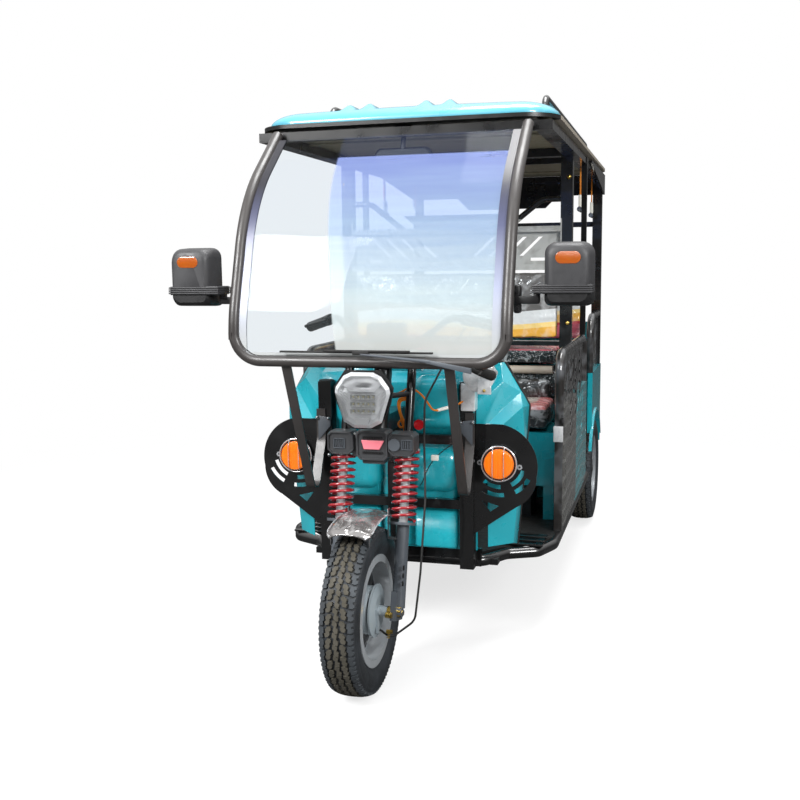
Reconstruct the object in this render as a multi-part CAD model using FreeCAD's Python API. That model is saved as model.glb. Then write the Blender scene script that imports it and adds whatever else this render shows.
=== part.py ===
import FreeCAD, Part
import math
import os

Vector = FreeCAD.Vector

# Passenger three-wheeler. Front faces -Y, +Z up, millimetres.
# The origin is on the ground, midway along the vehicle's length and width.

# Clearances
running_fit = 0.05
bearing_gap = 0.3
seat_gap = 0.3
tyre_gap = 8.0
cut_margin = 6.0

# Wheels and stance
tyre_radius = 249.0
tyre_width = 112.0
tyre_shoulder = 16.0
rim_flange_radius = 165.0
rim_flange_height = 12.0
rim_width = 92.0
rim_wall = 5.0
rim_barrel = 10.0
spoke_count = 6
disc_thickness = 14.0
disc_offset = 14.0
front_hub_radius = 62.0
front_hub_length = 76.0
rear_hub_radius = 48.0
rear_hub_length = 80.0
front_axle_y = -1156.5
wheelbase = 2218.0
rear_track = 876.0
front_axle_radius = 8.0
axle_nut_radius = 14.0
axle_nut_length = 13.0
rear_shaft_radius = 16.0

# Steering and fork
steering_axis_y = -973.5
steering_axis_z = 700.0
rake = 15.0
leg_spacing = 200.0
leg_lead = 29.0
axle_lead = 60.0
axle_lug_width = 18.0
axle_lug_drop = 24.0
axle_lug_rise = 60.0
stanchion_radius = 14.0
slider_radius = 20.0
spring_outer_radius = 39.0
spring_wire_radius = 4.5
spring_coils = 10
spring_top = -5.0
spring_length = 216.0
spring_seat_thickness = 8.0
clamp_thickness = 28.0
clamp_gap = 216.0
clamp_depth = 46.0
clamp_end = 26.0
clamp_lead = 24.0
stem_radius = 15.0
head_tube_radius = 28.0
brake_plate_radius = 78.0
brake_plate_rim = 5.0
brake_boss_radius = 46.0
brake_plate_thickness = 12.0
brake_plate_gap = 1.0
brake_arm_width = 16.0
brake_arm_length = 74.0
brake_arm_lead = 31.0
brake_arm_turn = 22.0
brake_arm_thickness = 6.0
brake_sleeve_radius = 16.0

# Handlebar and its pod
bar_radius = 11.0
grip_radius = 17.0
grip_length = 115.0
bar_half_span = 330.0
bar_rise = 92.0
bar_drop = 40.0
bar_sweep = 190.0
bar_bend = 50.0
bar_flat_half = 75.0
bar_shoulder_x = 190.0
bar_shoulder_sweep = 62.0
bar_clamp_z = 1000.0
bar_clamp_set_back = 42.0
bar_clamp_radius = 20.0
bar_clamp_half = 32.0
perch_radius = 18.0
perch_length = 28.0
lever_radius = 5.5
lever_reach = 52.0
pod_half_width = 58.0
pod_front = 52.0
pod_depth = 78.0
pod_height = 57.0
pod_round = 12.0

# Headlight
lamp_width = 174.0
lamp_height = 168.0
lamp_centre_z = 868.0
lamp_front_y = -1140.0
lens_depth = 24.0
lamp_rim = 4.0
lamp_rim_depth = 8.0
lamp_housing_depth = 92.0
lamp_ear_radius = 8.0
lamp_ear_station = 166.0

# Trim bar across the fork
fork_trim_half_width = 137.0
fork_trim_bottom = 678.0
fork_trim_height = 85.0
fork_trim_depth = 50.0
fork_trim_front_y = -1056.0
fork_trim_end_width = 66.0
fork_trim_centre_half = 54.0
fork_trim_step = 6.0
fork_trim_round = 6.0

# Front mudguard
mudguard_gap = 46.0
mudguard_half_width = 68.0
mudguard_neck_half = 50.0
mudguard_sheet = 2.5
mudguard_hem = 34.0
mudguard_stay_width = 16.0

# Front brake cable
cable_radius = 3.2

# Body levels
floor_top = 300.0
floor_thickness = 14.0
driver_seat_top = 720.0
driver_cushion_thickness = 88.0
driver_back_height = 92.0
bench_seat_top = 930.0
bench_cushion_thickness = 78.0
partition_back_height = 279.0
rear_seat_top = 866.0
rear_cushion_thickness = 110.0
rear_back_height = 350.0
roof_edge_z = 1718.0
roof_rise = 68.0

# Front frame
front_post_x = 237.5
front_post_size = 45.0
front_post_front_y = -795.5
front_post_bottom = 278.0
front_post_top = 880.0
cross_bar_height = 30.0
upper_cross_bar_z = 700.0
lower_cross_bar_z = 490.0
neck_width = 50.0
neck_height = 55.0
neck_top = 800.0
front_beam_y = -700.0
front_beam_half = 270.0
front_beam_height = 64.0
step_corner_y = -600.0
step_corner_in = 140.0
step_rear_y = -450.0

# Ear plates and their lamps
ear_lamp_x = 343.0
ear_lamp_z = 631.0
ear_lamp_radius = 56.0
ear_lamp_depth = 30.0
ear_lamp_base = 10.0
ear_lamp_lens_inset = 9.0
ear_plate_thickness = 5.0
ear_plate_set_back = 8.0
ear_plate_reach = 200.0
ear_plate_top = 755.0
ear_plate_bottom = 395.0
ear_slot_width = 14.0
ear_slot_inner = 78.0
ear_slot_outer = 104.0

# Windscreen
screen_half_width = 432.5
screen_tube_radius = 17.0
screen_bottom_z = 975.0
screen_y = -1090.0
screen_knee_z = 1095.0
screen_shoulder_y = -979.5
screen_shoulder_z = 1456.6
screen_top_y = -704.0
screen_top_z = 1684.0
screen_corner_radius = 85.0
screen_knee_radius = 380.0
screen_shoulder_radius = 500.0
glass_thickness = 5.0
strap_x = 250.0
strap_width = 30.0
strap_thickness = 6.0
strap_low_y = -885.0
strap_low_z = 505.0

# Mirrors and wiper
mirror_inset = 79.5
mirror_width = 138.0
mirror_depth = 66.0
mirror_rear_y = -990.0
mirror_bottom = 1134.0
mirror_height = 182.0
mirror_round = 18.0
mirror_arm_radius = 9.0
mirror_arm_z = 1180.0
inner_mirror_half = 95.0
inner_mirror_bottom = 1575.0
inner_mirror_height = 80.0
inner_mirror_depth = 24.0
inner_mirror_y = -650.0
inner_mirror_round = 10.0
inner_mirror_stem = 7.0
wiper_cap_radius = 13.0
wiper_bracket_reach = 57.0
wiper_bracket_drop = 40.0
wiper_bracket_rise = 35.0
wiper_motor_offset = 15.0
wiper_motor_drop = 22.0
wiper_motor_radius = 20.0
wiper_motor_length = 62.0
wiper_hinge_width = 40.0
wiper_pivot_x = 335.0
wiper_pivot_z = 945.0
wiper_blade_z = 1002.0
wiper_blade_left = -262.0
wiper_blade_right = 212.0

# Cabin frame
partition_y = 111.5
post_size = 45.0
rail_size = 30.0
rail_front_y = -690.0
partition_rail = 18.0
partition_screen_bottom = 1232.0
partition_screen_rail = 22.0
partition_screen_top = 1380.0
partition_sheet = 6.0
bench_tube_radius = 13.0
bench_tube_drop = 140.0
brace_radius = 11.0
entry_post_size = 22.0
entry_post_set_back = 110.0
rear_rail_low_z = 1170.0
rear_rail_high_z = 1440.0
rear_rail_height = 25.0

# Seats
driver_seat_front_y = -208.0
driver_seat_back_y = 62.0
driver_back_thickness = 55.0
seat_side_gap = 60.0
seat_round = 20.0
seat_back_thickness = 78.0
seat_box_wall = 14.0
seat_box_inset = 16.0
driver_box_bottom = 430.0
bench_front_y = 560.0
rear_bench_y = 872.0
rear_back_thickness = 74.0
battery_side_gap = 60.0
battery_front_gap = 62.0
battery_rear_gap = 46.0
battery_top = 426.0

# Body panels
panel_thickness = 22.0
body_half_width = 492.0
cowl_front_y = -749.0
cowl_edge_y = -638.0
cowl_wall = 12.0
cowl_bottom = 330.0
cowl_rim_depth = 34.0
cowl_top = 940.0
cowl_face_drop = 35.0
cowl_shoulder_z = 798.0
cowl_waist_z = 715.0
cowl_top_half = 334.0
cowl_shoulder_half = 416.0
cowl_waist_half = 410.0
cowl_foot_half = 378.0
cowl_taper = 58.0
cowl_top_taper = 72.0
cowl_shoulder_taper = 98.0
cowl_foot_taper = 48.0
cowl_bulge_x = 130.0
cowl_bulge_half = 72.0
cowl_bulge_depth = 22.0
cowl_bulge_top = 880.0
wheel_arch_gap = 42.0
arch_lip = 14.0
quarter_front_y = 860.0
body_line_z = 745.0
rear_wall_step = 24.0
rear_wall_bottom = 345.0
rear_wall_top = 960.0
side_panel_rear_y = 560.0
side_panel_bottom = 330.0
guard_tube_radius = 16.0
guard_front_y = -330.0
guard_top = 938.0
guard_bend = 70.0
guard_sheet = 6.0
guard_post_size = 28.0
rear_guard_top = 1005.0
tail_lamp_width = 74.0
tail_lamp_bottom = 560.0
tail_lamp_height = 120.0
tail_lamp_depth = 26.0
hood_sheet = 8.0
plate_rise = 130.0
plate_stand_off = 6.0
plate_hole_radius = 3.5
plate_hole_spacing = 200.0
hood_stand_off = 10.0
hood_drop = 96.0
hood_dip = 156.0
hood_shoulder = 238.5
hood_slope = 60.0

# Roof
roof_half_width = 506.0
roof_front_y = -690.0
roof_rear_gap = 25.0
roof_wall = 14.0
roof_side_height = 22.0
roof_corner_radius = 90.0
roof_bow = 45.0
roof_end_slope = 300.0
trim_height = 22.0
trim_width = 20.0
trim_reach = 3.0
trim_peak = 32.0
rib_radius = 24.0
rib_inner_x = 105.0
rib_outer_x = 178.0
rib_front = 175.0
rib_rear = 330.0
rack_half_width = 400.0
rack_front_y = -190.0
rack_rise = 136.0
rack_tube_radius = 11.0
rack_rail_drop = 56.0
grab_strap_y = 630.0
grab_strap_spacing = 560.0
grab_strap_z = 1490.0
grab_strap_width = 24.0
grab_strap_sheet = 4.0
grab_handle_radius = 11.0
grab_handle_half = 40.0

# Under-body
rail_x = 300.0
rail_width = 40.0
rail_height = 44.0
rail_nose_height = 20.0
rear_frame_step = 85.0
kick_y = 780.0
outrigger_size = 30.0
axle_tube_radius = 28.0
axle_case_x = 60.0
axle_case_radius = 82.0
axle_pad_height = 6.0
leaf_width = 45.0
leaf_thickness = 8.0
leaf_reach = 225.0
leaf_camber = 24.0
leaf_step = 62.0
motor_radius = 80.0
motor_length = 129.0
bumper_radius = 19.0
bumper_z = 330.0
bumper_half = 430.0
bumper_reach = 83.5
tow_eye_radius = 10.0
tow_eye_drop = 42.0
tow_plate_thickness = 12.0

# Places that follow from the sizes above
rear_axle_y = front_axle_y + wheelbase
wheel_z = tyre_radius
leg_x = leg_spacing / 2
rear_wheel_x = rear_track / 2
floor_bottom = floor_top - floor_thickness
rear_frame_top = floor_top + rear_frame_step
roof_under_z = roof_edge_z - trim_height
cabin_frame_top = roof_under_z - seat_gap
cabin_post_x = body_half_width - panel_thickness - seat_gap - post_size / 2
rear_post_x = body_half_width - panel_thickness / 2 - rail_size / 2
seat_half = body_half_width - panel_thickness - seat_side_gap
bumper_rear = tyre_radius - front_axle_y
rear_post_y = bumper_rear - bumper_reach
roof_rear_y = bumper_rear - roof_rear_gap
rear_wall_y = rear_post_y + rear_wall_step
rear_back_y = rear_post_y - post_size / 2 - seat_gap - rear_back_thickness
upper_clamp_s = clamp_thickness + clamp_gap
rake_rad = math.radians(rake)


def box(x0, x1, y0, y1, z0, z1):
    """Block between two corners."""
    return Part.makeBox(x1 - x0, y1 - y0, z1 - z0, Vector(x0, y0, z0))


def rod(start, end, radius):
    """Round bar between two points."""
    axis = end - start
    return Part.makeCylinder(radius, axis.Length, start, axis)


def mirrored(shape):
    """The same piece on the other side of the vehicle."""
    return shape.mirror(Vector(0, 0, 0), Vector(1, 0, 0))


def pair(shape):
    """A piece and its mirror image."""
    return [shape, mirrored(shape)]


def fused(shapes):
    """One solid from pieces that touch."""
    return shapes[0].multiFuse(shapes[1:]).removeSplitter()


def without(shape, tools):
    """The piece with the tools' room cut away."""
    return shape.cut(Part.makeCompound(tools))


def rounded_path(points, radii):
    """Straight runs joined by tangent arcs, one radius for each inner point."""
    edges = []
    start = points[0]
    for before, corner, after, radius in zip(points, points[1:], points[2:], radii):
        back = (before - corner).normalize()
        ahead = (after - corner).normalize()
        half_angle = back.getAngle(ahead) / 2
        bisector = (back + ahead).normalize()
        first = corner + back * (radius / math.tan(half_angle))
        last = corner + ahead * (radius / math.tan(half_angle))
        middle = corner + bisector * (radius / math.sin(half_angle) - radius)
        edges.append(Part.LineSegment(start, first).toShape())
        edges.append(Part.Arc(first, middle, last).toShape())
        start = last
    edges.append(Part.LineSegment(start, points[-1]).toShape())
    return Part.Wire(edges)


def bent_tube(points, radii, tube_radius):
    """Round tube along a rounded path."""
    path = rounded_path(points, radii)
    ring = Part.Wire(Part.makeCircle(tube_radius, points[0], points[1] - points[0]))
    return path.makePipeShell([ring], True, False)


def bent_bar(points, radii, width, thickness):
    """Flat or square bar along a path in a plane of constant X, its width along X."""
    path = rounded_path(points, radii)
    along = (points[1] - points[0]).normalize()
    across = Vector(1, 0, 0)
    out = along.cross(across)
    corners = [
        points[0] + across * (sx * width / 2) + out * (sy * thickness / 2)
        for sx, sy in ((-1, -1), (1, -1), (1, 1), (-1, 1), (-1, -1))
    ]
    return path.makePipeShell([Part.makePolygon(corners)], True, False)


def plate(outline, y0, y1):
    """Flat plate across the vehicle from an outline in X and Z."""
    points = [Vector(x, y0, z) for x, z in outline]
    face = Part.Face(Part.makePolygon(points + points[:1]))
    return face.extrude(Vector(0, y1 - y0, 0))


def side_plate(outline, x0, x1):
    """Flat plate along the vehicle from an outline in Y and Z."""
    points = [Vector(x0, y, z) for y, z in outline]
    face = Part.Face(Part.makePolygon(points + points[:1]))
    return face.extrude(Vector(x1 - x0, 0, 0))


def slab(outline, z0, z1):
    """Flat plate lying level from an outline in X and Y."""
    points = [Vector(x, y, z0) for x, y in outline]
    face = Part.Face(Part.makePolygon(points + points[:1]))
    return face.extrude(Vector(0, 0, z1 - z0))


def softened(shape, radius):
    """The piece with every edge rounded."""
    return shape.makeFillet(radius, shape.Edges)


def save(name, shapes):
    """Write one node."""
    shape = shapes[0] if len(shapes) == 1 else Part.makeCompound(shapes)
    shape.exportStep("parts/" + name + ".step")
    print(
        name, "solids", len(shape.Solids), "valid", shape.isValid(), "litres", round(shape.Volume / 1e6, 2),
    )


def steer(shape):
    """Turn a piece made along the upright steering axis to its rake and place."""
    turned = shape.copy()
    turned.rotate(Vector(0, 0, 0), Vector(1, 0, 0), -rake)
    turned.translate(Vector(0, steering_axis_y, steering_axis_z))
    return turned


def steer_point(x, y, s):
    """A point given beside the steering axis, in the vehicle's frame."""
    cos_rake = math.cos(rake_rad)
    sin_rake = math.sin(rake_rad)
    world_y = steering_axis_y + y * cos_rake + s * sin_rake
    world_z = steering_axis_z - y * sin_rake + s * cos_rake
    return Vector(x, world_y, world_z)


def axle_station():
    """Distance of the front axle along the steering axis from its upper reference."""
    drop = steering_axis_z - wheel_z
    lead = steering_axis_y - front_axle_y
    return -(drop * math.cos(rake_rad) + lead * math.sin(rake_rad))


def axis_y_at(z):
    """Where the steering axis is at a height."""
    return steering_axis_y + (z - steering_axis_z) * math.tan(rake_rad)


# Wheels


def tyre(centre):
    """Road tyre with rounded shoulders and flat beads, turned about X."""
    half = tyre_width / 2
    bead = rim_flange_radius - rim_flange_height
    shoulder = tyre_radius - tyre_shoulder / 2
    crown_half = half - tyre_shoulder * 0.75
    mid = (bead + shoulder) / 2 + tyre_shoulder / 4
    bead_half = rim_width / 2 - rim_wall
    wall_foot = rim_flange_radius + 2
    outline = [
        Part.LineSegment(Vector(-bead_half, 0, bead), Vector(bead_half, 0, bead)).toShape(),
        Part.LineSegment(Vector(bead_half, 0, bead), Vector(bead_half, 0, wall_foot)).toShape(),
        Part.Arc(
            Vector(bead_half, 0, wall_foot), Vector(half, 0, mid), Vector(crown_half, 0, shoulder),
        ).toShape(),
        Part.Arc(
            Vector(crown_half, 0, shoulder), Vector(0, 0, tyre_radius), Vector(-crown_half, 0, shoulder),
        ).toShape(),
        Part.Arc(
            Vector(-crown_half, 0, shoulder), Vector(-half, 0, mid), Vector(-bead_half, 0, wall_foot),
        ).toShape(),
        Part.LineSegment(Vector(-bead_half, 0, wall_foot), Vector(-bead_half, 0, bead)).toShape(),
    ]
    solid = Part.Face(Part.Wire(outline)).revolve(Vector(0, 0, 0), Vector(1, 0, 0), 360)
    solid.translate(centre)
    return solid


def rim(centre, hub_radius, hub_length, bore, disc_x):
    """Cast wheel: channel rim, spoked disc and hub."""
    half = rim_width / 2
    seat = rim_flange_radius - rim_flange_height
    inner = seat - rim_barrel
    wall = rim_wall - seat_gap
    outline = [
        (-half, rim_flange_radius), (-half + wall, rim_flange_radius), (-half + wall, seat - seat_gap),
        (half - wall, seat - seat_gap), (half - wall, rim_flange_radius), (half, rim_flange_radius),
        (half, inner), (-half, inner),
    ]
    points = [Vector(x, 0, r) for x, r in outline]
    barrel = Part.Face(Part.makePolygon(points + points[:1])).revolve(Vector(0, 0, 0), Vector(1, 0, 0), 360)
    start = Vector(disc_x - disc_thickness / 2, 0, 0)
    disc = Part.makeCylinder(inner + 2, disc_thickness, start, Vector(1, 0, 0))
    windows = []
    window_inner = hub_radius + rim_barrel * 1.6
    window_outer = inner - rim_barrel * 1.2
    pitch = math.radians(360 / spoke_count)
    sweep = pitch * 0.62
    for i in range(spoke_count):
        mid_angle = pitch * (i + 0.5)
        ring = []
        for radius, angle in (
            (window_inner, mid_angle - sweep * 0.36), (window_outer, mid_angle - sweep / 2),
            (window_outer, mid_angle + sweep / 2), (window_inner, mid_angle + sweep * 0.36),
        ):
            ring.append(Vector(disc_x - disc_thickness, radius * math.sin(angle), radius * math.cos(angle)))
        face = Part.Face(Part.makePolygon(ring + ring[:1]))
        windows.append(face.extrude(Vector(2 * disc_thickness, 0, 0)))
    disc = without(disc, windows)
    hub = Part.makeCylinder(hub_radius, hub_length, Vector(-hub_length / 2, 0, 0), Vector(1, 0, 0))
    solid = fused([barrel, disc, hub])
    reach = hub_length + rim_width
    solid = solid.cut(Part.makeCylinder(bore, 2 * reach, Vector(-reach, 0, 0), Vector(1, 0, 0)))
    solid.translate(centre)
    return solid


def front_wheel():
    centre = Vector(0, front_axle_y, wheel_z)
    bore = front_axle_radius + running_fit
    save("front_tyre", [tyre(centre)])
    save("front_rim", [rim(centre, front_hub_radius, front_hub_length, bore, -disc_offset)])


def rear_wheels():
    bore = rear_shaft_radius + running_fit
    for side, name in ((1, "left"), (-1, "right")):
        centre = Vector(side * rear_wheel_x, rear_axle_y, wheel_z)
        save("rear_tyre_" + name, [tyre(centre)])
        save("rear_rim_" + name, [rim(centre, rear_hub_radius, rear_hub_length, bore, side * disc_offset)])


# Steering and fork, made upright and then turned to the rake


def fork_legs():
    axle_s = axle_station()
    slider_top = spring_top - spring_length - spring_seat_thickness
    half_lug = axle_lug_width / 2
    legs = []
    for x in (-leg_x, leg_x):
        slider = Part.makeCylinder(
            slider_radius, slider_top - axle_s - 10, Vector(x, -leg_lead, axle_s + 10),
        )
        seat = Part.makeCylinder(
            spring_outer_radius, spring_seat_thickness, Vector(x, -leg_lead, slider_top),
        )
        lug = box(
            x - half_lug, x + half_lug, -axle_lead - axle_lug_drop, -leg_lead + slider_radius,
            axle_s - axle_lug_drop, axle_s + axle_lug_rise,
        )
        legs += [slider, seat, lug]
    nut_end = leg_x + half_lug + axle_nut_length
    axle_end = nut_end + 4
    axle = rod(
        Vector(-axle_end, -axle_lead, axle_s), Vector(axle_end, -axle_lead, axle_s), front_axle_radius,
    )
    nuts = [
        rod(
            Vector(side * (leg_x + half_lug), -axle_lead, axle_s),
            Vector(side * nut_end, -axle_lead, axle_s), axle_nut_radius,
        )
        for side in (-1, 1)
    ]
    save("fork_legs", [steer(fused(legs + [axle] + nuts))])


def brake_pivot_x():
    """Outer face of the brake arm."""
    return front_hub_length / 2 + brake_plate_gap + brake_plate_thickness + brake_arm_thickness


def brake_arm_tip():
    """Outer face of the brake arm at its lower end, in the vehicle's frame."""
    turn = math.radians(brake_arm_turn)
    reach = brake_arm_length - brake_arm_width
    along = -axle_lead - brake_arm_lead + reach * math.sin(turn)
    return steer_point(brake_pivot_x(), along, axle_station() - reach * math.cos(turn))


def brake_plate():
    """Fixed back plate of the front drum brake, with its arm hanging down."""
    axle_s = axle_station()
    inner = front_hub_length / 2 + brake_plate_gap
    face = inner + brake_plate_thickness
    outer = leg_x - axle_lug_width / 2
    arm_y = -axle_lead - brake_arm_lead
    half = brake_arm_width / 2
    axle_end = Vector(outer, -axle_lead, axle_s)
    disc = rod(
        Vector(inner, -axle_lead, axle_s), Vector(inner + brake_plate_rim, -axle_lead, axle_s),
        brake_plate_radius,
    )
    dome = Part.makeCone(
        brake_plate_radius - brake_plate_rim, brake_boss_radius, face - inner - brake_plate_rim + 1,
        Vector(inner + brake_plate_rim - 1, -axle_lead, axle_s), Vector(1, 0, 0),
    )
    sleeve = rod(Vector(inner, -axle_lead, axle_s), axle_end, brake_sleeve_radius)
    arm = box(
        face - 1, face + brake_arm_thickness, arm_y - half, arm_y + half,
        axle_s - brake_arm_length + half, axle_s + half,
    )
    arm.rotate(Vector(0, arm_y, axle_s), Vector(1, 0, 0), brake_arm_turn)
    pivot_end = Vector(face + 2 * brake_arm_thickness, arm_y, axle_s)
    pivot = rod(Vector(inner, arm_y, axle_s), pivot_end, brake_arm_width / 2 + 1)
    solid = fused([disc, dome, sleeve, arm, pivot])
    solid = solid.cut(rod(Vector(0, -axle_lead, axle_s), axle_end, front_axle_radius))
    save("brake_plate", [steer(solid)])


def brake_cable():
    """Cable from the left lever's perch, past the lower clamp's end and outside the leg to the brake arm."""
    clamp_side = leg_x + spring_outer_radius + cable_radius + tyre_gap
    beside = steer_point(clamp_side, -leg_lead, clamp_thickness)
    tip = brake_arm_tip()
    start = perch_foot(1)
    points = [
        start, start + Vector(-46, 4, -70), beside + Vector(6, -14, 120), beside,
        beside + Vector(14, -46, -170), beside + Vector(12, -104, -380), beside + Vector(0, -128, -520),
        tip + Vector(cable_radius + 24, 30, -34), tip + Vector(cable_radius + seat_gap, 0, 0),
    ]
    return bent_tube(points, [26.0, 40.0, 60.0, 60.0, 60.0, 40.0, 24.0], cable_radius)


def fork_springs():
    mean_radius = spring_outer_radius - spring_wire_radius
    rise = spring_length - 2 * spring_wire_radius - 1
    pitch = rise / spring_coils
    springs = []
    for x in (-leg_x, leg_x):
        helix = Part.makeHelix(pitch, rise, mean_radius)
        ring = Part.Wire(Part.makeCircle(spring_wire_radius, Vector(mean_radius, 0, 0), Vector(0, 1, 0)))
        coil = Part.Wire(helix).makePipeShell([ring], True, True)
        coil.translate(Vector(x, -leg_lead, spring_top - spring_length + spring_wire_radius + 0.5))
        springs.append(steer(coil))
    save("fork_springs", springs)


def fork_yoke():
    """Stanchions, steering stem and the two clamps."""
    half = leg_x + clamp_end
    front = -leg_lead - clamp_lead
    lower = box(-half, half, front, clamp_depth / 2, 0, clamp_thickness)
    upper = box(
        -half + 4, half - 4, front + 4, clamp_depth / 2, upper_clamp_s, upper_clamp_s + clamp_thickness,
    )
    stem = Part.makeCylinder(stem_radius, upper_clamp_s + clamp_thickness + 20, Vector(0, 0, 0))
    pieces = [lower, upper, stem]
    slider_top = spring_top - spring_length
    for x in (-leg_x, leg_x):
        length = upper_clamp_s + clamp_thickness + 10 - slider_top
        pieces.append(Part.makeCylinder(stanchion_radius, length, Vector(x, -leg_lead, slider_top)))
        pieces.append(Part.makeCylinder(spring_outer_radius, -spring_top, Vector(x, -leg_lead, spring_top)))
    save("fork_yoke", [steer(fused(pieces))])


def bar_centre():
    """Middle of the handlebar's clamp."""
    return Vector(0, axis_y_at(bar_clamp_z) + bar_clamp_set_back, bar_clamp_z)


def bar_end(side):
    return bar_centre() + Vector(side * bar_half_span, bar_sweep, bar_rise - bar_drop)


def bar_shoulder(side):
    return bar_centre() + Vector(side * bar_shoulder_x, bar_shoulder_sweep, bar_rise)


def perch_centre(side):
    """Middle of the clamp that carries a lever, inboard of the grip."""
    end = bar_end(side)
    back = (bar_shoulder(side) - end).normalize()
    return end + back * (grip_length + perch_length * 0.8)


def perch_foot(side):
    """Underside of the lever's clamp, where its cable comes out."""
    along = (bar_shoulder(side) - bar_end(side)).normalize()
    down = Vector(0, 0, -1)
    down = (down - along * along.dot(down)).normalize()
    return perch_centre(side) + down * (perch_radius + cable_radius)


def handlebar():
    seat_s = upper_clamp_s + clamp_thickness
    centre = bar_centre()
    flat = Vector(bar_flat_half, 0, 0)
    bar = bent_tube(
        [bar_end(-1), bar_shoulder(-1), centre - flat, centre + flat, bar_shoulder(1), bar_end(1)],
        [bar_bend] * 4, bar_radius,
    )
    stalk = rod(steer_point(0, 0, seat_s + 20), centre, grip_radius)
    half_block = Vector(bar_clamp_half, 0, 0)
    pieces = [bar, stalk, rod(centre - half_block, centre + half_block, bar_clamp_radius)]
    for side in (-1, 1):
        end = bar_end(side)
        back = (bar_shoulder(side) - end).normalize()
        pieces.append(rod(end - back * 4, end + back * grip_length, grip_radius))
        perch = perch_centre(side)
        half_perch = back * (perch_length / 2)
        pieces.append(rod(perch - half_perch, perch + half_perch, perch_radius))
        lever_root = perch - Vector(0, lever_reach / 2, 0)
        pieces.append(rod(perch, lever_root, lever_radius + 2.5))
        pieces.append(rod(lever_root, end - Vector(0, lever_reach, -4), lever_radius))
    stem_room = steer(Part.makeCylinder(clamp_end + head_tube_radius, seat_s + 20, Vector(0, 0, 0)))
    save("handlebar", [without(fused(pieces), [stem_room])])


def instrument_pod():
    centre = bar_centre()
    bottom = bar_clamp_z + bar_clamp_radius + 1
    pod = box(
        -pod_half_width, pod_half_width, centre.y - pod_front, centre.y - pod_front + pod_depth,
        bottom, bottom + pod_height,
    )
    foot = box(-24, 24, centre.y - 16, centre.y + 16, bar_clamp_z, bottom)
    solid = fused([softened(pod, pod_round), foot])
    clamp = rod(
        Vector(-80, centre.y, bar_clamp_z), Vector(80, centre.y, bar_clamp_z), bar_clamp_radius + seat_gap,
    )
    save("instrument_pod", [solid.cut(clamp)])


def lamp_outline(width, height):
    """Eight-sided face of the headlight, widest above its middle."""
    half = width / 2
    tall = height / 2
    return [
        (-half * 0.62, tall), (half * 0.62, tall), (half, tall * 0.42), (half * 0.90, -tall * 0.15),
        (half * 0.52, -tall), (-half * 0.52, -tall), (-half * 0.90, -tall * 0.15), (-half, tall * 0.42),
    ]


def lamp_wire(width, height, y):
    points = [Vector(x, y, lamp_centre_z + z) for x, z in lamp_outline(width, height)]
    return Part.makePolygon(points + points[:1])


def headlight():
    lens_back = lamp_front_y + lens_depth
    rear = lens_back + lamp_housing_depth
    lens = Part.makeLoft(
        [
            lamp_wire(lamp_width * 0.84, lamp_height * 0.84, lamp_front_y),
            lamp_wire(lamp_width, lamp_height, lens_back),
        ],
        True, True,
    )
    shell = Part.makeLoft(
        [
            lamp_wire(lamp_width + 2 * lamp_rim, lamp_height + lamp_rim, lens_back),
            lamp_wire(lamp_width + 2 * lamp_rim, lamp_height + lamp_rim, lens_back + lamp_rim_depth),
            lamp_wire(lamp_width * 0.62, lamp_height * 0.66, rear),
        ],
        True, True,
    )
    ears = [
        rod(
            Vector(side * lamp_width * 0.22, rear - 22, lamp_centre_z),
            steer_point(side * (leg_x - 4), -leg_lead - 8, lamp_ear_station), lamp_ear_radius,
        )
        for side in (-1, 1)
    ]
    reach = upper_clamp_s + clamp_thickness
    stanchions = [
        steer(Part.makeCylinder(stanchion_radius + 0.02, reach, Vector(x, -leg_lead, 0)))
        for x in (-leg_x, leg_x)
    ]
    housing = without(fused([shell] + ears), stanchions)
    save("headlight_lens", [lens])
    save("headlight_housing", [housing])


def fork_trim():
    """Trim bar round the front of the lower clamp, with room for the springs below it."""
    front = fork_trim_front_y
    back = front + fork_trim_depth
    bottom = fork_trim_bottom
    top = bottom + fork_trim_height
    half = fork_trim_half_width
    step = fork_trim_step
    end = half - fork_trim_end_width
    bar = box(-half + step, half - step, front + step, back, bottom + 16, top - 16)
    pods = [
        softened(box(-half, -end, front, back, bottom + step, top - step), fork_trim_round),
        softened(box(end, half, front, back, bottom + step, top - step), fork_trim_round),
        softened(
            box(-fork_trim_centre_half, fork_trim_centre_half, front - step, back, bottom, top),
            fork_trim_round,
        ),
    ]
    gap = seat_gap
    clamp_half = leg_x + clamp_end + gap
    clamp_front = -leg_lead - clamp_lead - gap
    rooms = [
        steer(box(-clamp_half, clamp_half, clamp_front, clamp_depth + 60, -gap, clamp_thickness + gap)),
    ]
    for x in (-leg_x, leg_x):
        rooms.append(
            steer(
                Part.makeCylinder(
                    spring_outer_radius + 3, spring_length, Vector(x, -leg_lead, -spring_length),
                ),
            )
        )
        rooms.append(
            steer(Part.makeCylinder(stanchion_radius + gap, 2 * fork_trim_height, Vector(x, -leg_lead, 0))),
        )
    cable_side = leg_x + clamp_end + seat_gap
    cable_room = box(cable_side, cable_side + 60, front - 20, back + 60, bottom - 20, top + 20)
    solid = without(fused([bar] + pods), rooms).cut(cable_room)
    save("fork_trim", [max(solid.Solids, key=lambda piece: piece.Volume)])


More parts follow.
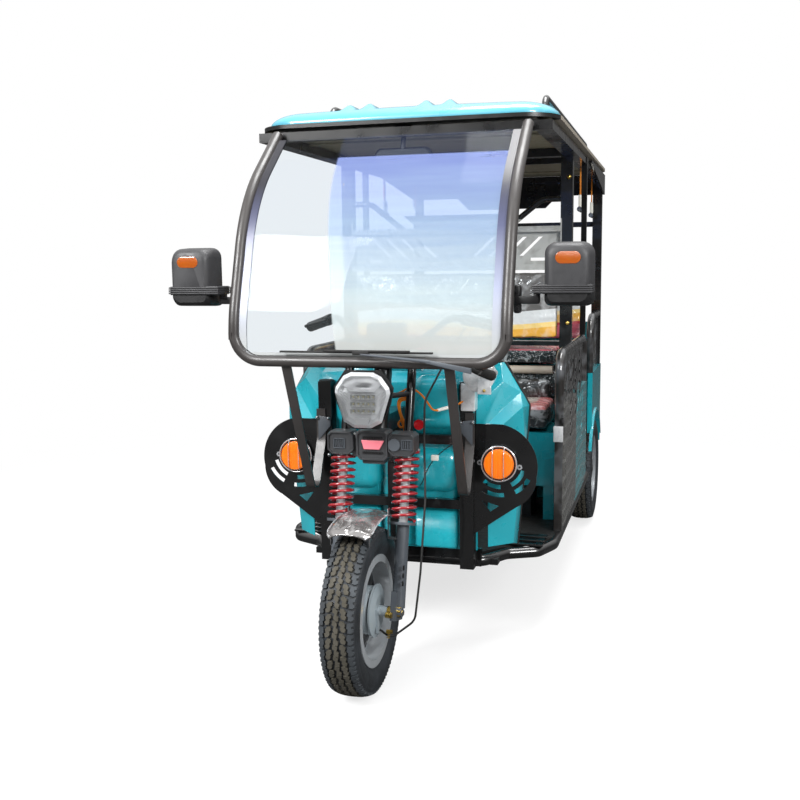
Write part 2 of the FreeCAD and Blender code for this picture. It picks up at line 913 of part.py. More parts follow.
def front_mudguard():
    """Short angular guard over the tyre, carried by flat stays from the fork legs."""
    inner = tyre_radius + mudguard_gap
    under = []
    for angle, lift in ((-32, 10), (-15, 3), (4, 0), (11, 0), (26, 3)):
        turn = math.radians(angle)
        radius = inner + lift
        under.append((front_axle_y + radius * math.sin(turn), wheel_z + radius * math.cos(turn)))
    wide = under[:4]
    neck = under[3:]
    top = side_plate(
        wide + [(y, z + mudguard_sheet) for y, z in reversed(wide)], -mudguard_half_width,
        mudguard_half_width,
    )
    tail = side_plate(
        neck + [(y, z + mudguard_sheet) for y, z in reversed(neck)], -mudguard_neck_half, mudguard_neck_half,
    )
    hem = wide[:3] + [(y, z - mudguard_hem) for y, z in reversed(wide[:3])]
    wing = side_plate(hem, mudguard_half_width - mudguard_sheet, mudguard_half_width)
    stay_y, stay_z = under[2]
    stay_x = tyre_width / 2 + tyre_gap - 1
    low = rim_flange_radius + wheel_z + mudguard_stay_width
    leg_y = steer_point(0, -leg_lead, (low - steering_axis_z) / math.cos(rake_rad)).y
    stay = side_plate(
        [
            (stay_y - mudguard_stay_width, stay_z + 1), (stay_y - mudguard_stay_width, low), (leg_y, low),
            (leg_y, low + mudguard_stay_width), (stay_y, low + mudguard_stay_width), (stay_y, stay_z + 1),
        ],
        stay_x, stay_x + 4,
    )
    lug = box(stay_x, leg_x - slider_radius / 2, leg_y - 8, leg_y + 8, low, low + mudguard_stay_width)
    axle_s = axle_station()
    legs = [
        steer(Part.makeCylinder(slider_radius + 0.02, -axle_s, Vector(x, -leg_lead, axle_s)))
        for x in (-leg_x, leg_x)
    ]
    return without(fused([top, tail] + pair(wing) + pair(stay) + pair(lug)), legs)


# Chassis


def front_posts_shape():
    post = box(
        front_post_x - front_post_size / 2, front_post_x + front_post_size / 2,
        front_post_front_y, front_post_front_y + front_post_size, front_post_bottom, front_post_top,
    )
    return pair(post)


def head_frame():
    """Head tube, neck beam, cross bars, centre column and the two front posts."""
    front = front_post_front_y
    back = front + front_post_size
    inner_x = front_post_x - front_post_size / 2
    half_neck = neck_width / 2
    half_bar = cross_bar_height / 2
    head = Part.makeCylinder(
        head_tube_radius, clamp_gap - 2 * bearing_gap, Vector(0, 0, clamp_thickness + bearing_gap)
    )
    neck = box(-half_neck, half_neck, axis_y_at(neck_top - 30), back - 5, neck_top - neck_height, neck_top)
    column = box(-half_neck, half_neck, front, back - 5, floor_bottom, neck_top)
    cross_bars = [
        box(-inner_x, inner_x, front + 4, back - 8, z - half_bar, z + half_bar)
        for z in (upper_cross_bar_z, lower_cross_bar_z)
    ]
    frame = fused([steer(head), neck, column] + cross_bars + front_posts_shape())
    bore = steer(Part.makeCylinder(stem_radius + running_fit, 600, Vector(0, 0, -100)))
    clamp_room = steer(Part.makeCylinder(150, clamp_thickness + bearing_gap + 200, Vector(0, 0, -200)))
    return without(frame, [bore, clamp_room])


def edge_tube(radius):
    """One half of the tube round the floor's edge, from the middle of the front to the kick-up."""
    z = floor_top - bumper_radius
    sill = body_half_width - bumper_radius
    inner = rail_x + rail_width / 2 - 4
    return bent_tube(
        [
            Vector(0, front_beam_y, z), Vector(front_beam_half, front_beam_y, z),
            Vector(sill - step_corner_in, step_corner_y, z), Vector(sill - 40, step_corner_y + 50, z),
            Vector(sill, step_rear_y, z), Vector(sill, kick_y, z), Vector(inner, kick_y, z),
        ],
        [40.0, 40.0, 30.0, 60.0, 40.0], radius,
    )


def chassis_frame():
    """Long rails with a kick-up over the rear axle, cross members, edge tube and the front frame."""
    top = floor_bottom
    bottom = top - rail_height
    rear_top = rear_frame_top
    x0 = rail_x - rail_width / 2
    x1 = rail_x + rail_width / 2
    rear_y = rear_wall_y - panel_thickness
    nose = front_beam_y + bumper_radius / 2
    rail = side_plate(
        [
            (nose, top - rail_nose_height), (step_rear_y - 100, top - rail_nose_height),
            (step_rear_y, bottom),
            (kick_y - 40, bottom), (kick_y + 40, rear_top - rail_height), (rear_y, rear_top - rail_height),
            (rear_y, rear_top), (kick_y + 20, rear_top), (kick_y - 60, top), (nose, top),
        ],
        x0, x1,
    )
    members = []
    for y in (step_rear_y + 50, 0.0, partition_y + 310):
        members.append(box(-x1, x1, y, y + rail_width, bottom, top))
    for y in (kick_y + 20, rear_y - rail_width):
        members.append(box(-x1, x1, y, y + rail_width, rear_top - rail_height, rear_top))
    post_rear = front_post_front_y + front_post_size
    beam = box(
        -front_beam_half, front_beam_half, front_beam_y - bumper_radius + 2, front_beam_y,
        floor_top - 2 * bumper_radius + 4, floor_top - 2 * bumper_radius + front_beam_height,
    )
    half_post = front_post_size / 2
    foot = box(
        front_post_x - half_post + 5, front_post_x + half_post - 5, post_rear - 5, front_beam_y,
        front_post_bottom, front_post_bottom + 40,
    )
    column_foot = box(
        -neck_width / 2, neck_width / 2, post_rear - 10, front_beam_y, floor_bottom, floor_bottom + 30,
    )
    sill = body_half_width - bumper_radius
    outriggers = [
        box(x1 - 5, sill, y, y + outrigger_size, top - outrigger_size, top) for y in (
            step_rear_y + 50, 0.0, partition_y + 310,
        )
    ]
    shapes = [head_frame(), beam, column_foot] + members
    for piece in [rail, edge_tube(bumper_radius), foot] + outriggers:
        shapes += pair(piece)
    return fused(shapes)


def floor_pan():
    """Level floor inside the edge tube, from the front beam to the rear bench."""
    sill = body_half_width - bumper_radius
    inner = rail_x - rail_width / 2 - seat_gap
    step_y = kick_y - 60
    rear = rear_bench_y + seat_box_inset
    outline = [
        (-sill, step_y), (-sill, step_rear_y + 30), (-sill + step_corner_in, step_corner_y + 30),
        (-front_beam_half + 40, front_beam_y), (front_beam_half - 40, front_beam_y),
        (sill - step_corner_in, step_corner_y + 30), (sill, step_rear_y + 30), (sill, step_y),
        (inner, step_y), (inner, rear), (-inner, rear), (-inner, step_y),
    ]
    room = edge_tube(bumper_radius + seat_gap)
    return without(slab(outline, floor_bottom, floor_top), pair(room))


# Front body


def cowl_wire(points, y):
    ring = [Vector(x, y, z) for x, z in points]
    return Part.makePolygon(ring + ring[:1])


def cowl_side(inset, taper, top_drop):
    """Half of the cowl's outline, from its top edge down to its foot, seen from the front."""
    return [
        (cowl_top_half - taper * cowl_top_taper - inset * 0.7, cowl_top - top_drop - inset),
        (cowl_shoulder_half - taper * cowl_shoulder_taper - inset, cowl_shoulder_z - taper * 26),
        (cowl_waist_half - taper * cowl_taper - inset, cowl_waist_z - taper * 25),
        (cowl_foot_half - taper * cowl_foot_taper - inset, cowl_bottom - cut_margin * 3 * (inset > 0)),
    ]


def cowl_outline(inset):
    """Rear edge of the cowl, seen from the front."""
    half = cowl_side(inset, 0, 0)
    return half + [(-x, z) for x, z in reversed(half)]


def cowl_face(inset):
    """Front face of the cowl, smaller than its rear edge."""
    half = cowl_side(inset, 1, cowl_face_drop)
    return half + [(-x, z) for x, z in reversed(half)]


def front_cowl():
    outer = Part.makeLoft(
        [cowl_wire(cowl_face(0), cowl_front_y), cowl_wire(cowl_outline(0), cowl_edge_y)], True, True,
    )
    inner = Part.makeLoft(
        [
            cowl_wire(cowl_face(cowl_wall), cowl_front_y + cowl_wall),
            cowl_wire(cowl_outline(cowl_wall), cowl_edge_y),
        ],
        True, True,
    )
    rim_outer = plate(cowl_outline(0), cowl_edge_y, cowl_edge_y + cowl_rim_depth)
    rim_inner = plate(cowl_outline(cowl_wall), cowl_edge_y - 1, cowl_edge_y + cowl_rim_depth + cut_margin)
    shell = fused([outer, rim_outer]).cut(Part.makeCompound([inner, rim_inner]))
    bulges = []
    for x in (-cowl_bulge_x, cowl_bulge_x):
        bulge = box(
            x - cowl_bulge_half, x + cowl_bulge_half,
            cowl_front_y - cowl_bulge_depth, cowl_front_y + cut_margin,
            cowl_bottom + 4, cowl_bulge_top,
        )
        bulges.append(softened(bulge, 10.0))
    shell = fused([shell] + bulges)
    return without(shell, [head_frame_room()])


def head_frame_room():
    """Room that the front frame takes where the cowl passes behind it."""
    gap = seat_gap
    front = front_post_front_y
    back = front + front_post_size
    inner_x = front_post_x - front_post_size / 2 - gap
    outer_x = front_post_x + front_post_size / 2 + gap
    half_neck = neck_width / 2 + gap
    half_bar = cross_bar_height / 2 + gap
    rooms = [
        box(-half_neck, half_neck, front - 200, back - 5 + gap, 0, neck_top + gap),
        box(inner_x, outer_x, front, back + gap, 0, front_post_top + gap),
        box(-outer_x, -inner_x, front, back + gap, 0, front_post_top + gap),
    ]
    for z in (upper_cross_bar_z, lower_cross_bar_z):
        rooms.append(box(-inner_x, inner_x, front, back - 8 + gap, z - half_bar, z + half_bar))
    return Part.makeCompound(rooms)


def ear_plate():
    """Black plate outboard of a front post, with arc slots round its lamp."""
    inner_x = front_post_x + front_post_size / 2
    y0 = front_post_front_y + ear_plate_set_back
    outer_x = inner_x + ear_plate_reach
    a = Vector(inner_x, y0, ear_plate_top)
    b = Vector(inner_x + ear_plate_reach * 0.45, y0, ear_plate_top)
    c = Vector(outer_x, y0, ear_lamp_z - 41)
    d = Vector(inner_x + ear_plate_reach * 0.70, y0, ear_lamp_z - 138)
    e = Vector(inner_x, y0, ear_plate_bottom)
    edges = [
        Part.LineSegment(a, b).toShape(),
        Part.Arc(b, Vector(inner_x + ear_plate_reach * 0.88, y0, ear_lamp_z + 70), c).toShape(),
        Part.Arc(c, Vector(inner_x + ear_plate_reach * 0.92, y0, ear_lamp_z - 99), d).toShape(),
        Part.LineSegment(d, e).toShape(),
        Part.LineSegment(e, a).toShape(),
    ]
    solid = Part.Face(Part.Wire(edges)).extrude(Vector(0, ear_plate_thickness, 0))
    slots = []
    for radius, start, end in (
        (ear_slot_inner, -62, -16), (ear_slot_outer, -62, -28), (ear_slot_inner, -130, -88),
        (ear_slot_outer, -121, -82),
    ):
        slots.append(arc_slot(ear_lamp_x, ear_lamp_z, radius, ear_slot_width, start, end, y0))
    corners = [(-58, -124), (-2, -139), (-30, -160)]
    outline = [(ear_lamp_x + x, ear_lamp_z + z) for x, z in corners]
    triangle = plate(outline, y0 - 1, y0 + ear_plate_thickness + 1)
    return without(solid, slots + [triangle])


def arc_slot(x, z, radius, width, start, end, y0):
    """Curved slot round a centre, between two angles from the X axis."""
    def at(r, angle):
        turn = math.radians(angle)
        return Vector(x + r * math.cos(turn), y0 - 1, z + r * math.sin(turn))
    low = radius - width / 2
    high = radius + width / 2
    mid = (start + end) / 2
    edges = [
        Part.Arc(at(low, start), at(low, mid), at(low, end)).toShape(),
        Part.LineSegment(at(low, end), at(high, end)).toShape(),
        Part.Arc(at(high, end), at(high, mid), at(high, start)).toShape(),
        Part.LineSegment(at(high, start), at(low, start)).toShape(),
    ]
    return Part.Face(Part.Wire(edges)).extrude(Vector(0, ear_plate_thickness + 2, 0))


def indicator_lamp():
    """Round amber lamp on the ear plate."""
    y0 = front_post_front_y + ear_plate_set_back
    centre = Vector(ear_lamp_x, y0, ear_lamp_z)
    forward = Vector(0, -1, 0)
    base = Part.makeCylinder(ear_lamp_radius, ear_lamp_base, centre, forward)
    lens = Part.makeCylinder(ear_lamp_radius - ear_lamp_lens_inset, ear_lamp_depth, centre, forward)
    front_edges = [e for e in lens.Edges if abs(e.CenterOfMass.y - (y0 - ear_lamp_depth)) < 0.01]
    return fused([base, lens.makeFillet(8.0, front_edges)])


# Windscreen


def screen_side_points(x):
    return [
        Vector(x, screen_top_y, screen_top_z), Vector(x, screen_shoulder_y, screen_shoulder_z),
        Vector(x, screen_y, screen_knee_z), Vector(x, screen_y, screen_bottom_z),
    ]


def strap():
    """Flat bar from the screen's lower tube down, round and up to a front post."""
    face_y = front_post_front_y - strap_thickness / 2
    return bent_bar(
        [
            Vector(strap_x, screen_y + 2, screen_bottom_z - screen_tube_radius + 6),
            Vector(strap_x, strap_low_y, strap_low_z), Vector(strap_x, face_y, upper_cross_bar_z - 10),
            Vector(strap_x, face_y, upper_cross_bar_z + 90),
        ],
        [30.0, 60.0], strap_width, strap_thickness,
    )


def windscreen_frame():
    x = screen_half_width - screen_tube_radius
    left = screen_side_points(x)
    right = screen_side_points(-x)
    bends = [screen_shoulder_radius, screen_knee_radius, screen_corner_radius]
    tube = bent_tube(left + right[::-1], bends + bends[::-1], screen_tube_radius)
    reach = screen_half_width + 60
    rail = box(
        -reach, reach, rail_front_y - seat_gap, rail_front_y + 100, cabin_frame_top - rail_size - seat_gap,
        roof_edge_z + 50,
    )
    roof = box(
        -reach, reach, screen_top_y - 100, rail_front_y + 100, roof_under_z - seat_gap, roof_edge_z + 50,
    )
    return without(fused([tube] + pair(strap())), [rail, roof])


def windscreen_glass():
    half = screen_half_width - 2 * screen_tube_radius - seat_gap
    low = screen_bottom_z + screen_tube_radius + seat_gap
    points = screen_side_points(-half)
    points[-1] = Vector(-half, screen_y, low)
    path = rounded_path(points, [screen_shoulder_radius, screen_knee_radius])
    along = (points[1] - points[0]).normalize()
    out = along.cross(Vector(1, 0, 0)) * (glass_thickness / 2)
    width = Vector(2 * half, 0, 0)
    corners = [
        points[0] - out, points[0] - out + width, points[0] + out + width, points[0] + out, points[0] - out,
    ]
    sheet = path.makePipeShell([Part.makePolygon(corners)], True, False)
    top = cabin_frame_top - rail_size - 2 * seat_gap
    window = box(-half, half, screen_y - 60, 0, low, top)
    corner_edges = [
        e for e in window.Edges
        if abs(e.BoundBox.XLength) < 1 and abs(e.BoundBox.ZLength) < 1 and abs(e.CenterOfMass.z - low) < 1
    ]
    return sheet.common(window.makeFillet(screen_corner_radius - screen_tube_radius, corner_edges))


def wiper():
    front = screen_y - screen_tube_radius - seat_gap
    x = wiper_pivot_x
    z = wiper_pivot_z
    pivot = Vector(x, front, z)
    cap = rod(pivot, pivot + Vector(0, -26, 0), wiper_cap_radius)
    bracket = box(
        x - wiper_cap_radius, x + wiper_bracket_reach, front - 4, front, z - wiper_bracket_drop,
        z + wiper_bracket_rise,
    )
    motor_front = pivot + Vector(wiper_motor_offset, 0, -wiper_motor_drop)
    motor = rod(motor_front, motor_front + Vector(0, wiper_motor_length, 0), wiper_motor_radius)
    arm = rod(pivot + Vector(0, -18, 0), Vector(20, front - 17, wiper_blade_z - 2), 4.5)
    blade = box(
        wiper_blade_left, wiper_blade_right, front - 14, front - 3, wiper_blade_z - 6, wiper_blade_z + 6,
    )
    hinge = box(0, wiper_hinge_width, front - 21, front - 10, wiper_blade_z - 9, wiper_blade_z + 7)
    solid = fused([cap, bracket, motor, arm, blade, hinge])
    tube_end = Vector(screen_half_width, screen_y, screen_bottom_z)
    tube_room = rod(
        tube_end - Vector(2 * screen_half_width, 0, 0), tube_end,
        screen_tube_radius + seat_gap,
    )
    return without(solid, [tube_room])


def side_mirror():
    inner = screen_half_width + mirror_inset
    front = mirror_rear_y - mirror_depth
    shell = box(
        inner, inner + mirror_width, front, mirror_rear_y, mirror_bottom, mirror_bottom + mirror_height
    )
    z = mirror_arm_z
    arm = rod(
        Vector(screen_half_width - 6, front - 12, z), Vector(inner + 48, front + 26, z - 8),
        mirror_arm_radius,
    )
    clamp = box(screen_half_width - 1, screen_half_width + 22, front - 34, front + 6, z - 30, z + 35)
    solid = fused([softened(shell, mirror_round), arm, clamp])
    tube = bent_tube(
        screen_side_points(screen_half_width - screen_tube_radius), [
            screen_shoulder_radius, screen_knee_radius,
        ],
        screen_tube_radius + 0.02,
    )
    return solid.cut(tube)


def interior_mirror():
    y = inner_mirror_y
    low = inner_mirror_bottom
    half_depth = inner_mirror_depth / 2
    shell = box(
        -inner_mirror_half, inner_mirror_half, y - half_depth, y + half_depth, low,
        low + inner_mirror_height,
    )
    rail_low = cabin_frame_top - rail_size
    foot = Vector(0, rail_front_y + rail_size * 0.8, rail_low - 8)
    stem = rod(Vector(0, y, low + inner_mirror_height - 8), foot, inner_mirror_stem)
    pad = box(-16, 16, foot.y - 10, foot.y + 6, rail_low - 10, rail_low - seat_gap)
    return fused([softened(shell, inner_mirror_round), stem, pad])


# Seats


def driver_seat_box():
    """Teal base under the driver's cushion, open below, on four legs."""
    top = driver_seat_top - driver_cushion_thickness
    front = driver_seat_front_y + seat_box_inset
    back = driver_seat_back_y
    half = body_half_width - panel_thickness - tyre_gap
    wall = seat_box_wall
    outer = box(-half, half, front, back, driver_box_bottom, top)
    inner = box(-half + wall, half - wall, front + wall, back - wall, driver_box_bottom - 30, top - wall)
    legs = []
    for x in (-half + 20, half - 60):
        for y in (front + 6, back - 40):
            legs.append(box(x, x + 40, y, y + 34, floor_top + seat_gap, driver_box_bottom + 1))
    return fused([outer.cut(inner)] + legs)


def driver_cushions():
    """The driver's bench cushion and the low back that stands on it."""
    top = driver_seat_top
    bottom = top - driver_cushion_thickness + seat_gap
    cushion = box(-seat_half, seat_half, driver_seat_front_y, driver_seat_back_y, bottom, top)
    back_y = partition_y - post_size / 2 - seat_gap
    band = box(
        -seat_half + 10, seat_half - 10, back_y - driver_back_thickness, back_y, top + seat_gap,
        top + driver_back_height,
    )
    return [softened(cushion, seat_round), softened(band, 12.0)]


def seat_boxes():
    """Teal bases of the driver's bench and the two passenger benches."""
    wall = seat_box_wall
    middle_top = bench_seat_top - bench_cushion_thickness
    back_y = partition_y + post_size / 2
    half = seat_half - 6
    front_y = back_y + 30
    middle = box(-half, half, front_y, bench_front_y - 70, floor_top + seat_gap, middle_top)
    hollow = box(-half + wall, half - wall, front_y + wall, bench_front_y - 70 - wall, 0, middle_top - wall)
    middle = middle.cut(hollow)
    rear_top = rear_seat_top - rear_cushion_thickness
    inner = rear_wheel_x - tyre_width / 2 - 22
    y0 = rear_bench_y + seat_box_inset + 2
    y1 = rear_wall_y - panel_thickness - seat_gap
    step = rear_frame_top + 215
    low = box(-inner, inner, y0, y1, rear_frame_top + seat_gap, step)
    high = box(-half, half, y0, y1, step - 10, rear_top)
    front = box(-inner, inner, y0, y0 + wall, floor_top, step)
    rail_half = rail_width / 2 + 3
    rail_room = box(rail_x - rail_half, rail_x + rail_half, y0 - 40, y0 + 60, 0, rear_frame_top + seat_gap)
    rear = without(fused([low, high, front]), pair(rail_room))
    room_low = box(-inner + wall, inner - wall, y0 + wall, y1 - wall, rear_frame_top + wall, step + 5)
    room_high = box(-half + wall, half - wall, y0 + wall, y1 - wall, step + 4, rear_top - wall)
    return [driver_seat_box(), middle, rear.cut(fused([room_low, room_high]))]


def passenger_cushions():
    """Both passenger benches' cushions and backs."""
    front_y = partition_y - post_size / 2 - 6
    low = bench_seat_top - bench_cushion_thickness + seat_gap
    middle = box(-seat_half, seat_half, front_y, bench_front_y - 46, low, bench_seat_top)
    rear_low = rear_seat_top - rear_cushion_thickness + seat_gap
    rear_y = rear_back_y + rear_back_thickness - 2
    rear = box(-seat_half - 10, seat_half + 10, rear_bench_y, rear_y, rear_low, rear_seat_top)
    back_low = bench_seat_top + 4 + partition_rail + seat_gap
    back_half = cabin_post_x - post_size / 2 - seat_gap
    y0 = partition_y - seat_back_thickness / 2
    partition = box(
        -back_half, back_half, y0, y0 + seat_back_thickness, back_low, back_low + partition_back_height,
    )
    rear_back = box(
        -seat_half, seat_half, rear_back_y, rear_back_y + rear_back_thickness, rear_seat_top + seat_gap,
        rear_seat_top + rear_back_height,
    )
    return [softened(piece, seat_round) for piece in (middle, rear, partition, rear_back)]


# Cabin


def cabin_frame():
    """Posts, roof rails, the partition's frame with its slotted sheet, and the rear frame."""
    half = post_size / 2
    top = cabin_frame_top
    inner = cabin_post_x - half
    back_front = partition_y - half
    pieces = []
    b_post = box(inner, cabin_post_x + half, back_front, partition_y + half, floor_top + seat_gap, top)
    rear_post = box(
        rear_post_x - half, rear_post_x + half, rear_post_y - half, rear_post_y + half,
        body_line_z + seat_gap, top,
    )
    entry_y = side_panel_rear_y - entry_post_set_back
    half_entry = entry_post_size / 2
    entry_x = body_half_width - panel_thickness / 2
    entry_foot = guard_top + guard_tube_radius + seat_gap
    entry_post = box(
        entry_x - half_entry, entry_x + half_entry, entry_y - half_entry, entry_y + half_entry,
        entry_foot, top,
    )
    rail = box(inner + 10, rear_post_x + half, rail_front_y, rear_post_y + half, top - rail_size, top)
    for piece in (b_post, rear_post, entry_post, rail):
        pieces += pair(piece)
    crossings = [
        (top - rail_size, top), (partition_screen_bottom, partition_screen_bottom + partition_screen_rail),
        (partition_screen_top, partition_screen_top + partition_screen_rail),
        (bench_seat_top + 4, bench_seat_top + 4 + partition_rail),
    ]
    for z0, z1 in crossings:
        pieces.append(box(-inner, inner, back_front, partition_y + half, z0, z1))
    reach = rear_post_x - half
    for z0, height in (
        (top - rail_size, rail_size), (rear_rail_high_z, rear_rail_height), (
            rear_rail_low_z, rear_rail_height,
        ),
    ):
        pieces.append(box(-reach, reach, rear_post_y - half + 20, rear_post_y + half, z0, z0 + height))
    pieces.append(
        box(-inner - 12, inner + 12, rail_front_y, rail_front_y + rail_size, top - rail_size, top),
    )
    pieces.append(
        box(
            -inner - 12, inner + 12, entry_y - half_entry, entry_y + half_entry, top - entry_post_size, top,
        ),
    )
    tube_x = inner - bench_tube_radius + 1
    tube_z = bench_seat_top - bench_cushion_thickness - bench_tube_radius
    pieces.append(
        bent_tube(
            [
                Vector(-tube_x, partition_y, tube_z - bench_tube_drop), Vector(-tube_x, partition_y, tube_z),
                Vector(tube_x, partition_y, tube_z), Vector(tube_x, partition_y, tube_z - bench_tube_drop),
            ],
            [45.0, 45.0], bench_tube_radius,
        )
    )
    screen_top = partition_screen_top + partition_screen_rail
    brace = bent_tube(
        [
            Vector(inner + 4, partition_y, screen_top + 103), Vector(350, partition_y, screen_top + 103),
            Vector(212, partition_y, screen_top - 6),
        ],
        [60.0], brace_radius,
    )
    pieces += pair(brace)
    sheet_y = partition_y - partition_sheet / 2
    centre_sheet = plate(
        [(-150, screen_top - 1), (150, screen_top - 1), (212, screen_top + 52), (-212, screen_top + 52)],
        sheet_y, sheet_y + partition_sheet,
    )
    return fused(pieces + [centre_sheet, partition_sheet_shape()])


def partition_sheet_shape():
    """Slotted sheet between the partition's two upper rails."""
    half = cabin_post_x - post_size / 2
    y0 = partition_y - partition_sheet / 2
    y1 = y0 + partition_sheet
    low = partition_screen_bottom + partition_screen_rail
    sheet = box(-half - 1, half + 1, y0, y1, low - 1, partition_screen_top + 1)
    pitch = half * 0.148
    slots = pair(box(half * 0.72, half * 0.86, y0 - 1, y1 + 1, low + 14, low + 26))
    for i in range(4):
        x = (i + 1.15) * pitch
        near, far = x + pitch * 0.26, x + pitch * 1.48
        corners = [(x, low + 34), (near, low + 34), (far, low + 108), (far - near + x, low + 108)]
        slots += pair(plate(corners, y0 - 1, y1 + 1))
    return without(sheet, slots)


def slotted(sheet, first, last, low, high, x0, x1, slot_height):
    """Diagonal slots along a guard sheet, one beside the other."""
    slots = []
    count = 6
    pitch = (last - first) / count
    for i in range(count):
        y = first + i * pitch + pitch * 0.15
        lean = (high - low) * 0.6
        slots.append(
            side_plate(
                [(y, low), (y + slot_height, low), (y + slot_height + lean, high), (y + lean, high)],
                x0 - 2, x1 + 2,
            ),
        )
    return without(sheet, slots)


def side_guards():
    """Tube guards with slotted sheets, above the side panels and above the rear wheels."""
    radius = guard_tube_radius
    x = body_half_width - radius
    half_sheet = guard_sheet / 2
    foot = body_line_z + seat_gap
    rear_y = side_panel_rear_y - radius
    front_tube = bent_tube(
        [
            Vector(x, guard_front_y, foot - 40), Vector(x, guard_front_y, guard_top),
            Vector(x, rear_y, guard_top),
            Vector(x, rear_y, foot),
        ],
        [guard_bend, guard_bend], radius,
    )
    half_post = guard_post_size / 2
    post = box(
        x - half_post, x + half_post, guard_front_y - half_post, guard_front_y + half_post,
        floor_top + seat_gap,
        foot - 20,
    )
    bracket = box(
        x + half_post - 2, x + half_post + 4, guard_front_y - 24, guard_front_y + half_post, foot - 95,
        foot - 30,
    )
    sheet = box(
        x - half_sheet, x + half_sheet, guard_front_y + radius - 2, rear_y - radius + 2, foot,
        guard_top - radius + 4,
    )
    sheet = slotted(
        sheet, guard_front_y + 60, rear_y - 180, foot + 40, guard_top - radius - 30,
        x - half_sheet, x + half_sheet, 34,
    )
    front = fused([front_tube, post, bracket, sheet])
    room = box(
        0, cabin_post_x + post_size / 2 + seat_gap, partition_y - 100, partition_y + 100, 0, 2 * guard_top,
    )
    front = front.cut(room)
    low_y = quarter_front_y + radius
    end_y = rear_post_y - post_size / 2
    rear_tube = bent_tube(
        [Vector(x, low_y, foot), Vector(x, low_y, rear_guard_top), Vector(x, end_y, rear_guard_top)],
        [guard_bend + 20], radius,
    )
    rear_sheet = box(
        x - half_sheet, x + half_sheet, low_y + radius - 2, end_y, foot, rear_guard_top - radius + 4,
    )
    rear_sheet = slotted(
        rear_sheet, low_y + 60, end_y - 150, foot + 40, rear_guard_top - radius - 30,
        x - half_sheet, x + half_sheet, 26,
    )
    post_room = box(
        0, rear_post_x + post_size / 2 + seat_gap, end_y - seat_gap, rear_wall_y, 0, 2 * guard_top,
    )
    rear = fused([rear_tube, rear_sheet]).cut(post_room)
    return pair(front) + pair(rear)


# Body sides


def side_panels():
    """Teal panels beside the driver and the middle bench."""
    x1 = body_half_width
    x0 = x1 - panel_thickness
    y0 = guard_front_y + guard_tube_radius + seat_gap
    y1 = side_panel_rear_y
    panel = box(x0, x1, y0, y1, side_panel_bottom, body_line_z)
    slots = []
    for i in range(4):
        y = y0 + 380 + i * 90
        corners = [
            (y, body_line_z - 80), (y + 18, body_line_z - 80), (y + 58, body_line_z - 24),
            (y + 40, body_line_z - 24),
        ]
        slots.append(side_plate(corners, x0 - 1, x1 + 1))
    slots.append(box(x0 - 1, x1 + 1, y0 + 36, y0 + 60, side_panel_bottom + 60, side_panel_bottom + 250))
    foot = box(x0, x1 - 4, y0 + 40, y1 - 40, floor_top + seat_gap, side_panel_bottom + 2)
    return pair(without(fused([panel, foot]), slots))


def rear_quarters():
    """Teal rear quarters with open wheel arches."""
    x1 = body_half_width
    x0 = x1 - panel_thickness
    arch_radius = tyre_radius + wheel_arch_gap
    panel = side_plate(
        [
            (quarter_front_y, floor_top + 20), (quarter_front_y, body_line_z), (rear_wall_y, body_line_z),
            (rear_wall_y, rear_wall_bottom),
        ],
        x0, x1,
    )
    arch = rod(Vector(x0 - 5, rear_axle_y, wheel_z), Vector(x1 + 10, rear_axle_y, wheel_z), arch_radius)
    lip = rod(
        Vector(x1 - 8, rear_axle_y, wheel_z), Vector(x1 + 6, rear_axle_y, wheel_z), arch_radius + arch_lip,
    )
    above = box(
        x0 - 5, x1 + 10, quarter_front_y - 100, rear_wall_y + 100, rear_wall_bottom + 40, body_line_z,
    )
    return pair(without(fused([panel, lip.common(above)]), [arch]))


def rear_panel():
    """Rear wall with its raised plate place, narrower above the body line."""
    x = body_half_width - panel_thickness - seat_gap
    upper_x = rear_post_x - post_size / 2 - seat_gap
    y1 = rear_wall_y
    y0 = y1 - panel_thickness
    wall = box(-x, x, y0, y1, rear_wall_bottom, body_line_z)
    upper = box(-upper_x, upper_x, y0, y1, body_line_z - 1, rear_wall_top)
    plate_z = rear_wall_bottom + plate_rise
    plate_place = box(-150, 150, y1 - 1, y1 + plate_stand_off, plate_z - 55, plate_z + 55)
    plate_holes = [
        rod(Vector(x, y0 - 5, plate_z), Vector(x, y1 + 20, plate_z), plate_hole_radius)
        for x in (-plate_hole_spacing / 2, plate_hole_spacing / 2)
    ]
    field = box(-upper_x + 40, upper_x - 40, y1 - 1, y1 + 8, body_line_z + 30, rear_wall_top - 40)
    return without(fused([wall, upper, plate_place, field]), plate_holes)


def tail_lamps():
    y0 = rear_wall_y + seat_gap
    outer = body_half_width - 2 * panel_thickness
    lamp = box(
        outer - tail_lamp_width, outer, y0, y0 + tail_lamp_depth,
        tail_lamp_bottom, tail_lamp_bottom + tail_lamp_height,
    )
    return pair(softened(lamp, 8.0))


